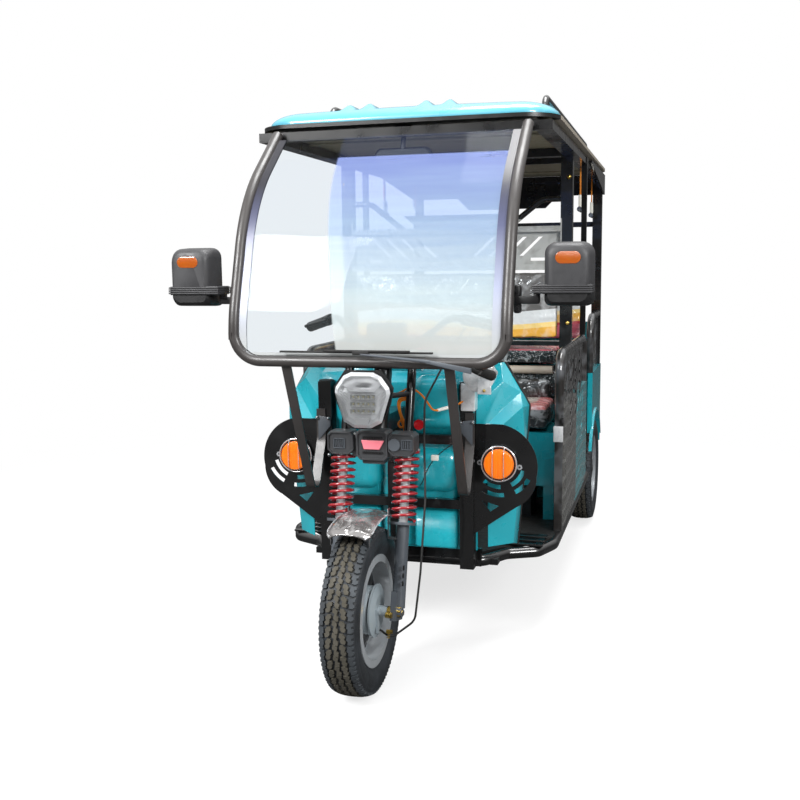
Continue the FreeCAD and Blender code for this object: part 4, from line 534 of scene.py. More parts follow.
@dataclass(frozen=True)
class ScreenGlass(Finish):
    """Coated screen: clear at the top, with a sky-coloured haze from its protective film below."""

    band_z: float = 1.592
    low_z: float = 1.02
    edge_x: float = 0.374
    edge_z: float = 1.001
    top_z: float = 1.720
    film_x: float = 0.038
    film_slant: float = 0.13

    def surface(self, tree: Tree, place: Socket) -> Socket:
        """Adds the haze to clear glass and closes it with the dark strip that glues it in.

        Args:
            tree: The material's nodes.
            place: Object coordinates in metres.

        Returns:
            The shader's output.
        """
        parts = add_node(tree, "ShaderNodeSeparateXYZ", {"Vector": place})
        level = add_node(tree, "ShaderNodeMapRange", {
            "Value": parts.outputs["Z"], "From Min": self.low_z, "From Max": self.band_z,
        })
        streaks = add_node(tree, "ShaderNodeMapping", {
            "Vector": place, "Rotation": (0.0, 0.9, 0.0), "Scale": (1.0, 1.0, 14.0),
        })
        smear = add_node(tree, "ShaderNodeTexNoise",
                         {"Vector": streaks.outputs["Vector"], "Scale": 3.0, "Detail": 3.0})
        shaken = add_node(tree, "ShaderNodeMath", {
            0: smear.outputs["Fac"], 1: 0.22, 2: level.outputs["Result"],
        }, operation="MULTIPLY_ADD")
        settled = add_node(tree, "ShaderNodeMath", {0: shaken.outputs[0], 1: 0.11}, operation="SUBTRACT")
        tint = colour_ramp(tree, settled.outputs[0], (
            (0.0, "#D4D6D3"), (0.25, "#C9D6DA"), (0.6, "#A3B8D2"), (1.0, "#8391C6")))
        below = add_node(tree, "ShaderNodeMapRange", {
            "Value": parts.outputs["Z"], "From Min": self.band_z - 0.002, "From Max": self.band_z + 0.002,
            "To Min": 1.0, "To Max": 0.06,
        })
        film = add_node(tree, "ShaderNodeBsdfDiffuse", {"Color": tint})
        back = add_node(tree, "ShaderNodeBsdfTranslucent", {"Color": tint})
        veil = add_node(tree, "ShaderNodeMixShader", {"Fac": 0.35, 1: film.outputs[0], 2: back.outputs[0]})
        clear = add_node(tree, "ShaderNodeBsdfTransparent", {"Color": linear("#F4F7F9")})
        dense = add_node(tree, "ShaderNodeMapRange", {
            "Value": settled.outputs[0], "From Min": 0.0, "From Max": 1.0, "To Min": 0.60, "To Max": 0.46,
        })
        slant = add_node(tree, "ShaderNodeMath", {
            0: parts.outputs["Z"], 1: self.film_slant, 2: parts.outputs["X"]}, operation="MULTIPLY_ADD")
        side = add_node(tree, "ShaderNodeMapRange", {
            "Value": slant.outputs[0], "From Min": self.film_x, "From Max": self.film_x + 0.006,
            "To Min": 0.03, "To Max": 1.0,
        })
        covered = add_node(tree, "ShaderNodeMath", {
            0: side.outputs["Result"], 1: below.outputs["Result"]}, operation="MULTIPLY")
        share = add_node(tree, "ShaderNodeMath", {
            0: dense.outputs["Result"], 1: covered.outputs[0]}, operation="MULTIPLY")
        hazy = add_node(tree, "ShaderNodeMixShader",
                        {"Fac": share.outputs[0], 1: clear.outputs[0], 2: veil.outputs[0]})
        shine = add_node(tree, "ShaderNodeBsdfGlossy", {"Color": linear("#FFFFFF"), "Roughness": 0.02})
        both = add_node(tree, "ShaderNodeMixShader", {"Fac": 0.004, 1: hazy.outputs[0], 2: shine.outputs[0]})
        strip = colour_ramp(tree, level.outputs["Result"], (
            (0.0, "#A9ACAC"), (0.3, "#8C92A8"), (0.6, "#454966"), (0.85, "#1C1C24")))
        seal = add_node(tree, "ShaderNodeBsdfPrincipled", {"Base Color": strip, "Roughness": 0.35})
        aside = add_node(tree, "ShaderNodeMath", {0: parts.outputs["X"]}, operation="ABSOLUTE")
        rim = aside.outputs[0]
        tests = [add_node(tree, "ShaderNodeMath", {0: rim, 1: self.edge_x}, operation="GREATER_THAN"),
                 add_node(tree, "ShaderNodeMath", {0: parts.outputs["Z"], 1: self.edge_z},
                          operation="LESS_THAN"),
                 add_node(tree, "ShaderNodeMath", {0: parts.outputs["Z"], 1: self.top_z},
                          operation="GREATER_THAN")]
        any_side = tests[0].outputs[0]
        for test in tests[1:]:
            any_side = add_node(tree, "ShaderNodeMath", {
                0: any_side, 1: test.outputs[0]}, operation="MAXIMUM").outputs[0]
        return add_node(tree, "ShaderNodeMixShader", {
            "Fac": any_side, 1: both.outputs[0], 2: seal.outputs["BSDF"],
        }).outputs[0]


@dataclass(frozen=True)
class SplitFinish(Finish):
    """Two finishes on one part, meeting at a level across the part."""

    above: Finish | None = None
    below: Finish | None = None
    axis: tuple[float, float, float] = (0.0, 0.0, 1.0)
    level: float = 0.0

    def surface(self, tree: Tree, place: Socket) -> Socket:
        """Mixes the two finishes by the distance along the axis.

        Args:
            tree: The material's nodes.
            place: Object coordinates in metres.

        Returns:
            The shader's output.
        """
        along = add_node(tree, "ShaderNodeVectorMath", {0: place, 1: self.axis}, operation="DOT_PRODUCT")
        past = add_node(tree, "ShaderNodeMath", {0: along.outputs["Value"], 1: self.level},
                        operation="GREATER_THAN")
        return add_node(tree, "ShaderNodeMixShader", {
            "Fac": past.outputs[0], 1: self.below.surface(tree, place), 2: self.above.surface(tree, place),
        }).outputs[0]


@dataclass(frozen=True)
class ZoneFinish(Finish):
    """One finish inside a box of the part and another outside it."""

    inside: Finish | None = None
    outside: Finish | None = None
    middle: tuple[float, float, float] = (0.0, 0.0, 0.0)
    half: tuple[float, float, float] = (9.0, 9.0, 9.0)

    def surface(self, tree: Tree, place: Socket) -> Socket:
        """Mixes the two finishes by a test on each axis.

        Args:
            tree: The material's nodes.
            place: Object coordinates in metres.

        Returns:
            The shader's output.
        """
        parts = add_node(tree, "ShaderNodeSeparateXYZ", {"Vector": place})
        share = None
        for axis, mid, reach in zip("XYZ", self.middle, self.half):
            test = add_node(tree, "ShaderNodeMath", {0: parts.outputs[axis], 1: mid, 2: reach},
                            operation="COMPARE")
            share = test.outputs[0] if share is None else add_node(tree, "ShaderNodeMath", {
                0: share, 1: test.outputs[0]}, operation="MULTIPLY").outputs[0]
        return add_node(tree, "ShaderNodeMixShader", {
            "Fac": share, 1: self.outside.surface(tree, place), 2: self.inside.surface(tree, place),
        }).outputs[0]


@dataclass(frozen=True)
class HubFinish(Finish):
    """One finish round a wheel's hub and another towards its rim."""

    inside: Finish | None = None
    outside: Finish | None = None
    centre: tuple[float, float, float] = (0.0, 0.0, 0.0)
    radius: float = 0.1

    def surface(self, tree: Tree, place: Socket) -> Socket:
        """Mixes the two finishes by the distance from the axle.

        Args:
            tree: The material's nodes.
            place: Object coordinates in metres.

        Returns:
            The shader's output.
        """
        flat = add_node(tree, "ShaderNodeVectorMath", {0: place, 1: (0.0, 1.0, 1.0)}, operation="MULTIPLY")
        reach = add_node(tree, "ShaderNodeVectorMath", {0: flat.outputs["Vector"], 1: self.centre},
                         operation="DISTANCE")
        past = add_node(tree, "ShaderNodeMath", {0: reach.outputs["Value"], 1: self.radius},
                        operation="GREATER_THAN")
        return add_node(tree, "ShaderNodeMixShader", {
            "Fac": past.outputs[0], 1: self.inside.surface(tree, place), 2: self.outside.surface(tree, place),
        }).outputs[0]


class Palette:
    """Every finish of the vehicle, named for what it is."""

    # Deep wet gloss with a faint orange peel; the colour drifts a little over each panel.
    teal = Paint("teal_enamel_sprayed", "#18A0AE", 0.28, shade="#22ACB9", coat=1.0, drift=0.5)
    # Painted top light: the enamel's own teal, made duller and paler for the light that falls on the roof
    # from above, with long soft waves in its gloss.
    roof_teal = Paint("teal_enamel_painted_paler_for_top_light", "#4B9DB2", 0.30, shade="#5FB0C2", coat=0.8, peel_mm=9.0)
    # Nearly black with sharp highlights along every tube.
    black_steel = Paint("black_enamel_on_steel", "#080809", 0.30, shade="#121213", coat=0.8)
    # Soft brown-black sheen with a fine pebbled face and no sharp reflection.
    brown_steel = Paint("dark_powder_coat", "#302D2C", 0.42, shade="#3E3A38", coat=0.3, coat_roughness=0.3,
                        peel_height_mm=0.03)
    # Dark red wire with a bright line on each turn.
    spring_red = Paint("red_enamel_on_spring_wire", "#8C0B18", 0.25, shade="#A01522", coat=1.0)
    # Even blue-grey legs with a clear highlight down each tube.
    fork_grey = Paint("blue_grey_enamel", "#484D53", 0.32, shade="#5E646B", coat=0.7)
    # Near-mirror plating, with reflections that are slightly softened.
    chrome = Metal("chromium_plate", "#E4E6E9", 0.12, metallic=0.7, shade="#C9CCD0", grain_mm=20.0,
                   grain_height_mm=0.01)
    # Bright but slightly broken shine of a buffed casting.
    polished = Metal("polished_cast_aluminium", "#C6C8CA", 0.22, shade="#9DA1A5", grain_height_mm=0.03)
    # Warm yellow glint on small hardware.
    zinc = Metal("yellow_passivated_zinc", "#C9A64B", 0.28, shade="#E0C97C", grain_mm=4.0)
    # Dull silver of plated bolts, with grey patches.
    bright_zinc = Metal("bright_zinc_plate", "#B9BABC", 0.34, shade="#8F9092", grain_mm=5.0)
    # Rough dark grey that hardly shines.
    iron = Metal("painted_cast_iron", "#2B2C2E", 0.55, metallic=0.3, grain_height_mm=0.12)
    # Matt black with a soft grain that greys its highlights.
    black_plastic = Moulded("black_polypropylene", "#131314", 0.46, shade="#1D1D1F")
    # Smooth black with sharp highlights.
    gloss_plastic = Moulded("black_abs_gloss", "#101012", 0.2, coat=0.6, grain_height_mm=0.01)
    # Charcoal grey with a grain that scatters light.
    mirror_plastic = Moulded("dark_grey_abs_grained", "#303032", 0.5, shade="#3C3C3E", grain_height_mm=0.09)
    # Grey-black with a soft satin edge on each chamfer.
    trim_plastic = Moulded("grey_black_abs", "#343537", 0.4, shade="#3D3E40")
    # Flat slate grey against the darker trim.
    disc_plastic = Moulded("slate_grey_abs", "#4A4F55", 0.42)
    # Plain pink inset with no marks.
    pink = Moulded("pink_enamel_badge_place", "#D9707C", 0.35, shade="#E58A92", grain_height_mm=0.02)
    # Dull black with greyish wear.
    rubber = Moulded("black_rubber", "#161616", 0.7, shade="#242322", grain_height_mm=0.1)
    # Mottled, dusty brown-grey with a coarse face and no shine.
    tread = Moulded("tyre_tread_dusty", "#3B382F", 0.85, shade="#57534A", grain_mm=3.5, grain_height_mm=0.25)
    # Blue-grey rubber that is cleaner than the tread.
    shoulder = Moulded("tyre_shoulder", "#2A2E32", 0.7, shade="#454B50", grain_mm=3.5, grain_height_mm=0.2)
    # Dark smooth rubber with faint grey scuffs.
    sidewall = Moulded("tyre_sidewall", "#1C1F22", 0.6, shade="#34393F", grain_mm=5.0, grain_height_mm=0.15)
    # Black mat with a coarse grain that breaks up reflections.
    floor_mat = Moulded("rubber_floor_mat", "#141414", 0.6, shade="#25231F", grain_mm=6.0,
                        grain_height_mm=0.5)
    # Plain dark case under the seat.
    battery = Moulded("battery_case_plastic", "#1B1C1F", 0.5)
    # Orange with a fine rough grain and no shine.
    webbing = Moulded("orange_polyester_webbing", "#D9790F", 0.7, shade="#E9A13A", grain_mm=1.5,
                      grain_height_mm=0.3)
    # Pale glossy end of each strap, which reads as white.
    handle = Clear("clear_pvc_handle", "#D9DDDD", 0.12, gloss=0.3)
    # Water-clear cover, seen mostly by its edges and highlights.
    lens = Clear("clear_polycarbonate", "#F5F6F7", 0.03, gloss=0.10)
    # Painted reflection: near-white colour with little metal in place of the aluminium's mirror shine, so the
    # bowl stays bright from every side.
    reflector = Metal("aluminised_reflector", "#F6F7F8", 0.2, metallic=0.08, grain_mm=8.0,
                      grain_height_mm=0.05)
    # Cream-yellow dots in the cups.
    led = Finish("white_led_phosphor", "#E9E2B8", 0.4)
    # Saturated orange with upright flutes and a little painted glow.
    amber = ColouredLens("amber_acrylic", "#F57600", 0.3)
    # Darker amber with finer flutes and a fainter painted glow.
    amber_mirror = ColouredLens("amber_acrylic_small", "#A04C06", 0.3, flute_mm=3.0, glow=0.03)
    # Deep red with fine flutes and a faint painted glow.
    red = ColouredLens("red_acrylic", "#B3101A", 0.2, flute_mm=4.0, glow=0.05)
    # Clear along the top and on one side; a veil of film, pale below and blue above, over the rest.
    glass = ScreenGlass("coated_screen_glass", "#FFFFFF", 0.0)
    # Gloss black upper tubes and bright plated lower ones.
    stem = SplitFinish("fork_tubes_plated_and_black", "#000000", 0.3,
                       above=Paint("black_enamel_gloss", "#0A0A0B", 0.15, coat=1.0), below=chrome,
                       axis=(0.0, 0.258819, 0.965926), level=0.424)
    # Orange webbing above and the pale handle below.
    straps = SplitFinish("webbing_with_clear_handle", "#000000", 0.3, above=webbing, below=handle,
                         level=1.545)
    # Black lip at the front and grey-beige edging along the rest.
    roof_edge = SplitFinish("black_front_lip_and_grey_beige_edge", "#000000", 0.3,
                            above=Moulded("grey_beige_edging", "#8F887C", 0.5, shade="#7C766C"),
                            below=Moulded("black_edging", "#171717", 0.35), axis=(0.0, 1.0, 0.0), level=-0.60)
    # Smooth bright orange insulation.
    orange_wire = Moulded("orange_pvc_cable", "#E8820F", 0.35, grain_height_mm=0.01)
    # Smooth black insulation.
    black_wire = Moulded("black_pvc_cable", "#121213", 0.4, grain_height_mm=0.01)
    # Off-white, slightly glossy moulding.
    white_nylon = Moulded("white_nylon_connector", "#E8E6DC", 0.4, grain_height_mm=0.02)
    # Beige sleeve with a soft highlight along it.
    seat_tube = Moulded("grey_beige_sleeve_on_tube", "#A79C8D", 0.45, shade="#8C8377", grain_height_mm=0.02)
    # Silver with hazy white creases, partly painted highlights.
    silver_film = Filmed("bare_steel_in_film", "#B4B6B8", 0.35, metallic=0.15, shade="#D2D4D5",
                         crease_mm=24.0,
                         crease_height_mm=2.0, haze="#E6E6E6", haze_and_highlight_share=0.5)
    # Silver lacquer with a soft sheen on the rim's outer part.
    silver_paint = Paint("silver_lacquer_on_steel_rim", "#A9AEB2", 0.32, metallic=0.35, shade="#C2C6C9",
                         coat=0.6)
    # Painted shade: near-black inside the rim, where its shadow falls, which makes the rim look deep.
    rim_shade = Paint("painted_shade_inside_rim", "#15171A", 0.4, shade="#24272B", coat=0.4)
    # Painted shade, near-black, round the front hub and silver lacquer towards the flange.
    front_rim = HubFinish("front_rim_lacquer_and_painted_shade", "#000000", 0.3, inside=rim_shade, outside=silver_paint,
                          centre=(0.0, -1.1565, 0.249), radius=0.141)
    # Painted shade, near-black, round the rear hubs and silver lacquer towards the flange.
    rear_rim = HubFinish("rear_rim_lacquer_and_painted_shade", "#000000", 0.3, inside=rim_shade, outside=silver_paint,
                         centre=(0.0, 1.0615, 0.249), radius=0.141)
    # Pale cool grey with a sandy cast face.
    drum = Paint("light_grey_lacquer_on_casting", "#8E999F", 0.42, metallic=0.15, shade="#A4AEB3", coat=0.2,
                 peel_mm=2.4, peel_height_mm=0.05)
    # Grey cover with its lever in yellow zinc.
    brake = ZoneFinish("drum_cover_with_gold_lever", "#000000", 0.3, inside=zinc, outside=drum,
                       middle=(0.0905, -1.17, 0.24), half=(0.0125, 0.3, 0.3))
    # Dark grey sheet with level pale ripples, partly haze and partly painted highlights.
    grey_film = Filmed("grey_steel_in_film", "#4A4A47", 0.3, shade="#62615D", crease_mm=58.0,
                       crease_height_mm=2.0,
                       haze="#C9CBC8", haze_and_highlight_share=0.28, haze_and_highlight_from=0.72, lie=FilmLie.SAGGING)
    # Mid-grey sheet with broad hazy creases, partly painted highlights.
    screen_sheet = Filmed("partition_sheet_in_film", "#8A8A86", 0.35, shade="#A7A7A2", crease_mm=46.0,
                          crease_height_mm=2.5, haze="#D5D7D5", haze_and_highlight_share=0.3)
    # Black tubes round the filmed partition sheet.
    cabin = ZoneFinish("cabin_tubes_and_filmed_sheet", "#000000", 0.3, inside=screen_sheet,
                       outside=black_steel,
                       middle=(0.0, 0.11, 1.33), half=(0.43, 0.030, 0.100))
    # Teal dulled by film, with level pale ripples, partly haze and partly painted highlights.
    panel_film = Filmed("teal_enamel_in_film", "#2B8A93", 0.3, shade="#46A2AA", crease_mm=52.0,
                        crease_height_mm=2.0,
                        haze="#C2D3D4", haze_and_highlight_share=0.35, haze_and_highlight_from=0.72, lie=FilmLie.SAGGING)
    # Teal over the rear part of the side and grey over the rest.
    side = ZoneFinish("side_panel_grey_and_teal_in_film", "#000000", 0.3, inside=panel_film,
                      outside=grey_film,
                      middle=(0.0, 0.36, 0.5), half=(1.0, 0.24, 0.25))
    # Near-black board with scattered white creases, partly painted highlights.
    dark_film = Filmed("black_vinyl_on_board", "#10181A", 0.25, shade="#23292A", crease_mm=26.0,
                       crease_height_mm=5.0,
                       haze="#C9D0D2", haze_and_highlight_share=0.45, haze_and_highlight_from=0.80)
    # Plain white, with nothing on it.
    plate_white = Moulded("blank_number_plate", "#E9E9E6", 0.4, grain_height_mm=0.01)
    # A clean mirror.
    mirror_glass = Finish("silvered_glass", "#D7DADC", 0.02, metallic=1.0)
    # Dull olive cloth under the roof.
    headliner = Moulded("olive_grey_headliner", "#77725F", 0.7, shade="#8A8573", grain_mm=4.0,
                        grain_height_mm=0.1)
    # Chrome clouded by loose film, bright only between the folds, where the brightness is partly a painted
    # highlight.
    chrome_film = Filmed("chrome_in_film", "#A3A2A1", 0.2, metallic=0.7, shade="#6B6564", crease_mm=60.0,
                         crease_height_mm=3.0, haze="#EDEDED", haze_and_highlight_share=0.6, haze_and_highlight_from=0.72)
    # Brown-black tube with a thin broken haze, partly a painted highlight.
    steel_film = Filmed("brown_black_tube_in_film", "#1C1A19", 0.3, shade="#292624", crease_mm=70.0,
                        crease_height_mm=1.2, haze="#A9AEB4", haze_and_highlight_share=0.2, haze_and_highlight_from=0.6)
    # Dark vinyl with scattered white creases, partly painted highlights.
    plain_seat = Filmed("dark_seat_vinyl_in_film", "#151516", 0.45, shade="#242322", crease_mm=32.0,
                        crease_height_mm=5.0, haze="#C3C8CA", haze_and_highlight_share=0.4, haze_and_highlight_from=0.78)


# Mesh helpers


def round_edges(bm: BMesh, edges: set[BMEdge], radius: float, segments: int) -> None:
    """Rounds edges.

    Args:
        bm: Mesh that they belong to.
        edges: Edges to round.
        radius: Radius of the rounding.
        segments: Faces round each edge.
    """
    bmesh.ops.bevel(bm, geom=list(edges), offset=radius, offset_type="OFFSET", segments=segments, profile=0.5,
                    affect="EDGES", material=-1)


def ball(bm: BMesh, centre: Sequence[float], radius: float, rings: int) -> None:
    """Adds a sphere.

    Args:
        bm: Mesh that gets it.
        centre: Its centre.
        radius: Its radius.
        rings: Rows of faces between its poles.
    """
    bmesh.ops.create_uvsphere(bm, u_segments=rings * 2, v_segments=rings, radius=radius,
                              matrix=Matrix.Translation(centre))


def join_rings(bm: BMesh, rings: Sequence[Sequence[Sequence[float]]], first: bool = True, last: bool = True,
               around: bool = False) -> None:
    """Joins closed outlines one after the other.

    Args:
        bm: Mesh that gets the skin.
        rings: Outlines with as many points each.
        first: Whether a face closes the first outline.
        last: Whether a face closes the last outline.
        around: Whether the last outline is joined to the first.
    """
    made = [[bm.verts.new(p) for p in ring] for ring in rings]
    if first:
        bm.faces.new(made[0])
    if last:
        bm.faces.new(made[-1])
    for a, b in zip(made, made[1:] + made[:1] if around else made[1:]):
        for i, vert in enumerate(a):
            j = (i + 1) % len(a)
            bm.faces.new((vert, a[j], b[j], b[i]))


def show(name: str, data: bpy.types.ID) -> bpy.types.Object:
    """Adds an object to the scene.

    Args:
        name: Its name.
        data: Its mesh, curve, camera or light.

    Returns:
        The new object.
    """
    made = bpy.data.objects.new(name, data)
    bpy.context.scene.collection.objects.link(made)
    return made


def thicken(made: bpy.types.Object, wall: float) -> None:
    """Gives a sheet its thickness on the inner side.

    Args:
        made: Piece that is a single skin.
        wall: Thickness of the sheet.
    """
    sheet = made.modifiers.new("wall", "SOLIDIFY")
    sheet.thickness = wall
    sheet.offset = -1.0


def block(bm: BMesh, low: Sequence[float], high: Sequence[float], bevel: float = 0.0,
          segments: int = 2) -> list[BMVert]:
    """Adds a box between two corners.

    Args:
        bm: Mesh that gets it.
        low: Lowest corner.
        high: Highest corner.
        bevel: Radius of its edges.
        segments: Faces round each edge.

    Returns:
        The box's vertices before any bevel.
    """
    low, high = Vector(low), Vector(high)
    place = Matrix.Translation((low + high) / 2) @ Matrix.Diagonal((*(high - low), 1.0))
    verts = bmesh.ops.create_cube(bm, size=1.0, matrix=place)["verts"]
    if bevel:
        round_edges(bm, {e for v in verts for e in v.link_edges}, bevel, segments)
    return verts


def rod(bm: BMesh, start: Sequence[float], end: Sequence[float], radius: float,
        end_radius: float | None = None,
        sides: int = 24) -> list[BMVert]:
    """Adds a round bar or cone between two points.

    Args:
        bm: Mesh that gets it.
        start: Centre of the first end.
        end: Centre of the second end.
        radius: Radius at the start.
        end_radius: Radius at the end, if it isn't the same.
        sides: Faces round it.

    Returns:
        Its vertices.
    """
    a, b = Vector(start), Vector(end)
    turn = (b - a).to_track_quat("Z", "Y").to_matrix().to_4x4()
    place = Matrix.Translation((a + b) / 2) @ turn
    return bmesh.ops.create_cone(bm, cap_ends=True, segments=sides, radius1=radius,
                                 radius2=radius if end_radius is None else end_radius, depth=(b - a).length,
                                 matrix=place)["verts"]


def outline_prism(bm: BMesh, outline: Iterable[Sequence[float]], push: Sequence[float],
                  bevel: float = 0.0) -> None:
    """Adds a prism on a flat outline.

    Args:
        bm: Mesh that gets it.
        outline: Corners in order.
        push: How far and where the outline is extruded.
        bevel: Radius of all its edges.
    """
    face = bm.faces.new([bm.verts.new(p) for p in outline])
    grown = bmesh.ops.extrude_face_region(bm, geom=[face], use_keep_orig=True)["geom"]
    verts = [g for g in grown if isinstance(g, BMVert)]
    bmesh.ops.translate(bm, vec=Vector(push), verts=verts)
    if bevel:
        round_edges(bm, {e for v in verts for e in v.link_edges} | set(face.edges), bevel, 2)


def lathe(bm: BMesh, profile: Iterable[Sequence[float]], centre: Sequence[float], axis: Sequence[float],
          steps: int = 64, closed: bool = False) -> None:
    """Turns a profile round an axis.

    Args:
        bm: Mesh that gets the turned shape.
        profile: Points of the profile in order.
        centre: A point on the axis.
        axis: Direction of the axis.
        steps: Faces round the axis.
        closed: Whether the profile joins its own end.
    """
    verts = [bm.verts.new(p) for p in profile]
    edges = [bm.edges.new(pair) for pair in zip(verts, verts[1:])]
    if closed:
        edges.append(bm.edges.new((verts[-1], verts[0])))
    bmesh.ops.spin(bm, geom=verts + edges, cent=centre, axis=axis, angle=math.tau, steps=steps,
                   use_merge=True,
                   use_duplicate=False)
    bmesh.ops.remove_doubles(bm, verts=bm.verts, dist=1e-6)


def put(name: str, bm: BMesh, finish: Finish, body: str, replaces: Sequence[str] = (),
        sharp: float = 35.0) -> bpy.types.Object:
    """Turns a built mesh into a piece of the vehicle.

    Args:
        name: Name of the piece.
        bm: Its mesh, which is freed.
        finish: Its finish.
        body: CAD body that carries it.
        replaces: CAD nodes that it stands for.
        sharp: Edges steeper than this many degrees stay sharp.

    Returns:
        The new object.
    """
    bmesh.ops.recalc_face_normals(bm, faces=bm.faces)
    mesh = bpy.data.meshes.new(name)
    bm.to_mesh(mesh)
    bm.free()
    mesh.materials.append(finish.material())
    mesh.shade_smooth()
    mesh.set_sharp_from_angle(angle=math.radians(sharp))
    made = show(name, mesh)
    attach(made, body)
    if replaces:
        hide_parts(*replaces)
    log.info("%s: %d faces", name, len(mesh.polygons))
    return made


def wire(name: str, points: Sequence[Sequence[float]], radius: float, finish: Finish, body: str,
         cyclic: bool = False, order: int = 3) -> bpy.types.Object:
    """Lays a round wire along a smooth line.

    Args:
        name: Name of the piece.
        points: Control points of the line.
        radius: Radius of the wire.
        finish: Its finish.
        body: CAD body that carries it.
        cyclic: Whether the line closes.
        order: Order of the NURBS line; 2 gives straight runs.

    Returns:
        The new object.
    """
    curve = bpy.data.curves.new(name, "CURVE")
    curve.dimensions = "3D"
    curve.bevel_depth = radius
    curve.bevel_resolution = 3
    curve.use_fill_caps = True
    line = curve.splines.new("NURBS")
    line.points.add(len(points) - 1)
    for point, place in zip(line.points, points):
        point.co = (*place, 1.0)
    line.order_u = order
    line.use_cyclic_u = cyclic
    line.use_endpoint_u = not cyclic
    line.resolution_u = 8
    curve.materials.append(finish.material())
    made = show(name, curve)
    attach(made, body)
    return made


def solid_boxes(node: str) -> list[tuple[Vector, Vector]]:
    """Boxes of a CAD node's separate solids, sorted from front to back and then by height.

    Args:
        node: Name of the CAD node.

    Returns:
        Lowest and highest corner of each solid.
    """
    bm = bmesh.new()
    bm.from_mesh(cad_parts[node].data)
    bmesh.ops.remove_doubles(bm, verts=bm.verts, dist=1e-5)
    left, boxes = set(bm.verts), []
    while left:
        group, edge = set(), [left.pop()]
        while edge:
            vert = edge.pop()
            group.add(vert)
            for near in (e.other_vert(vert) for e in vert.link_edges):
                if near in left:
                    left.discard(near)
                    edge.append(near)
        spots = np.array([v.co for v in group])
        boxes.append((Vector(spots.min(0)), Vector(spots.max(0))))
    bm.free()
    return sorted(boxes, key=lambda b: (round(b[0].y, 2), b[0].z))


def settle(made: bpy.types.Object) -> None:
    """Applies an object's modifiers to its own mesh.

    Args:
        made: Object that gets the finished mesh.
    """
    graph = bpy.context.evaluated_depsgraph_get()
    mesh = bpy.data.meshes.new_from_object(made.evaluated_get(graph), depsgraph=graph)
    made.modifiers.clear()
    made.data = mesh


# The studio


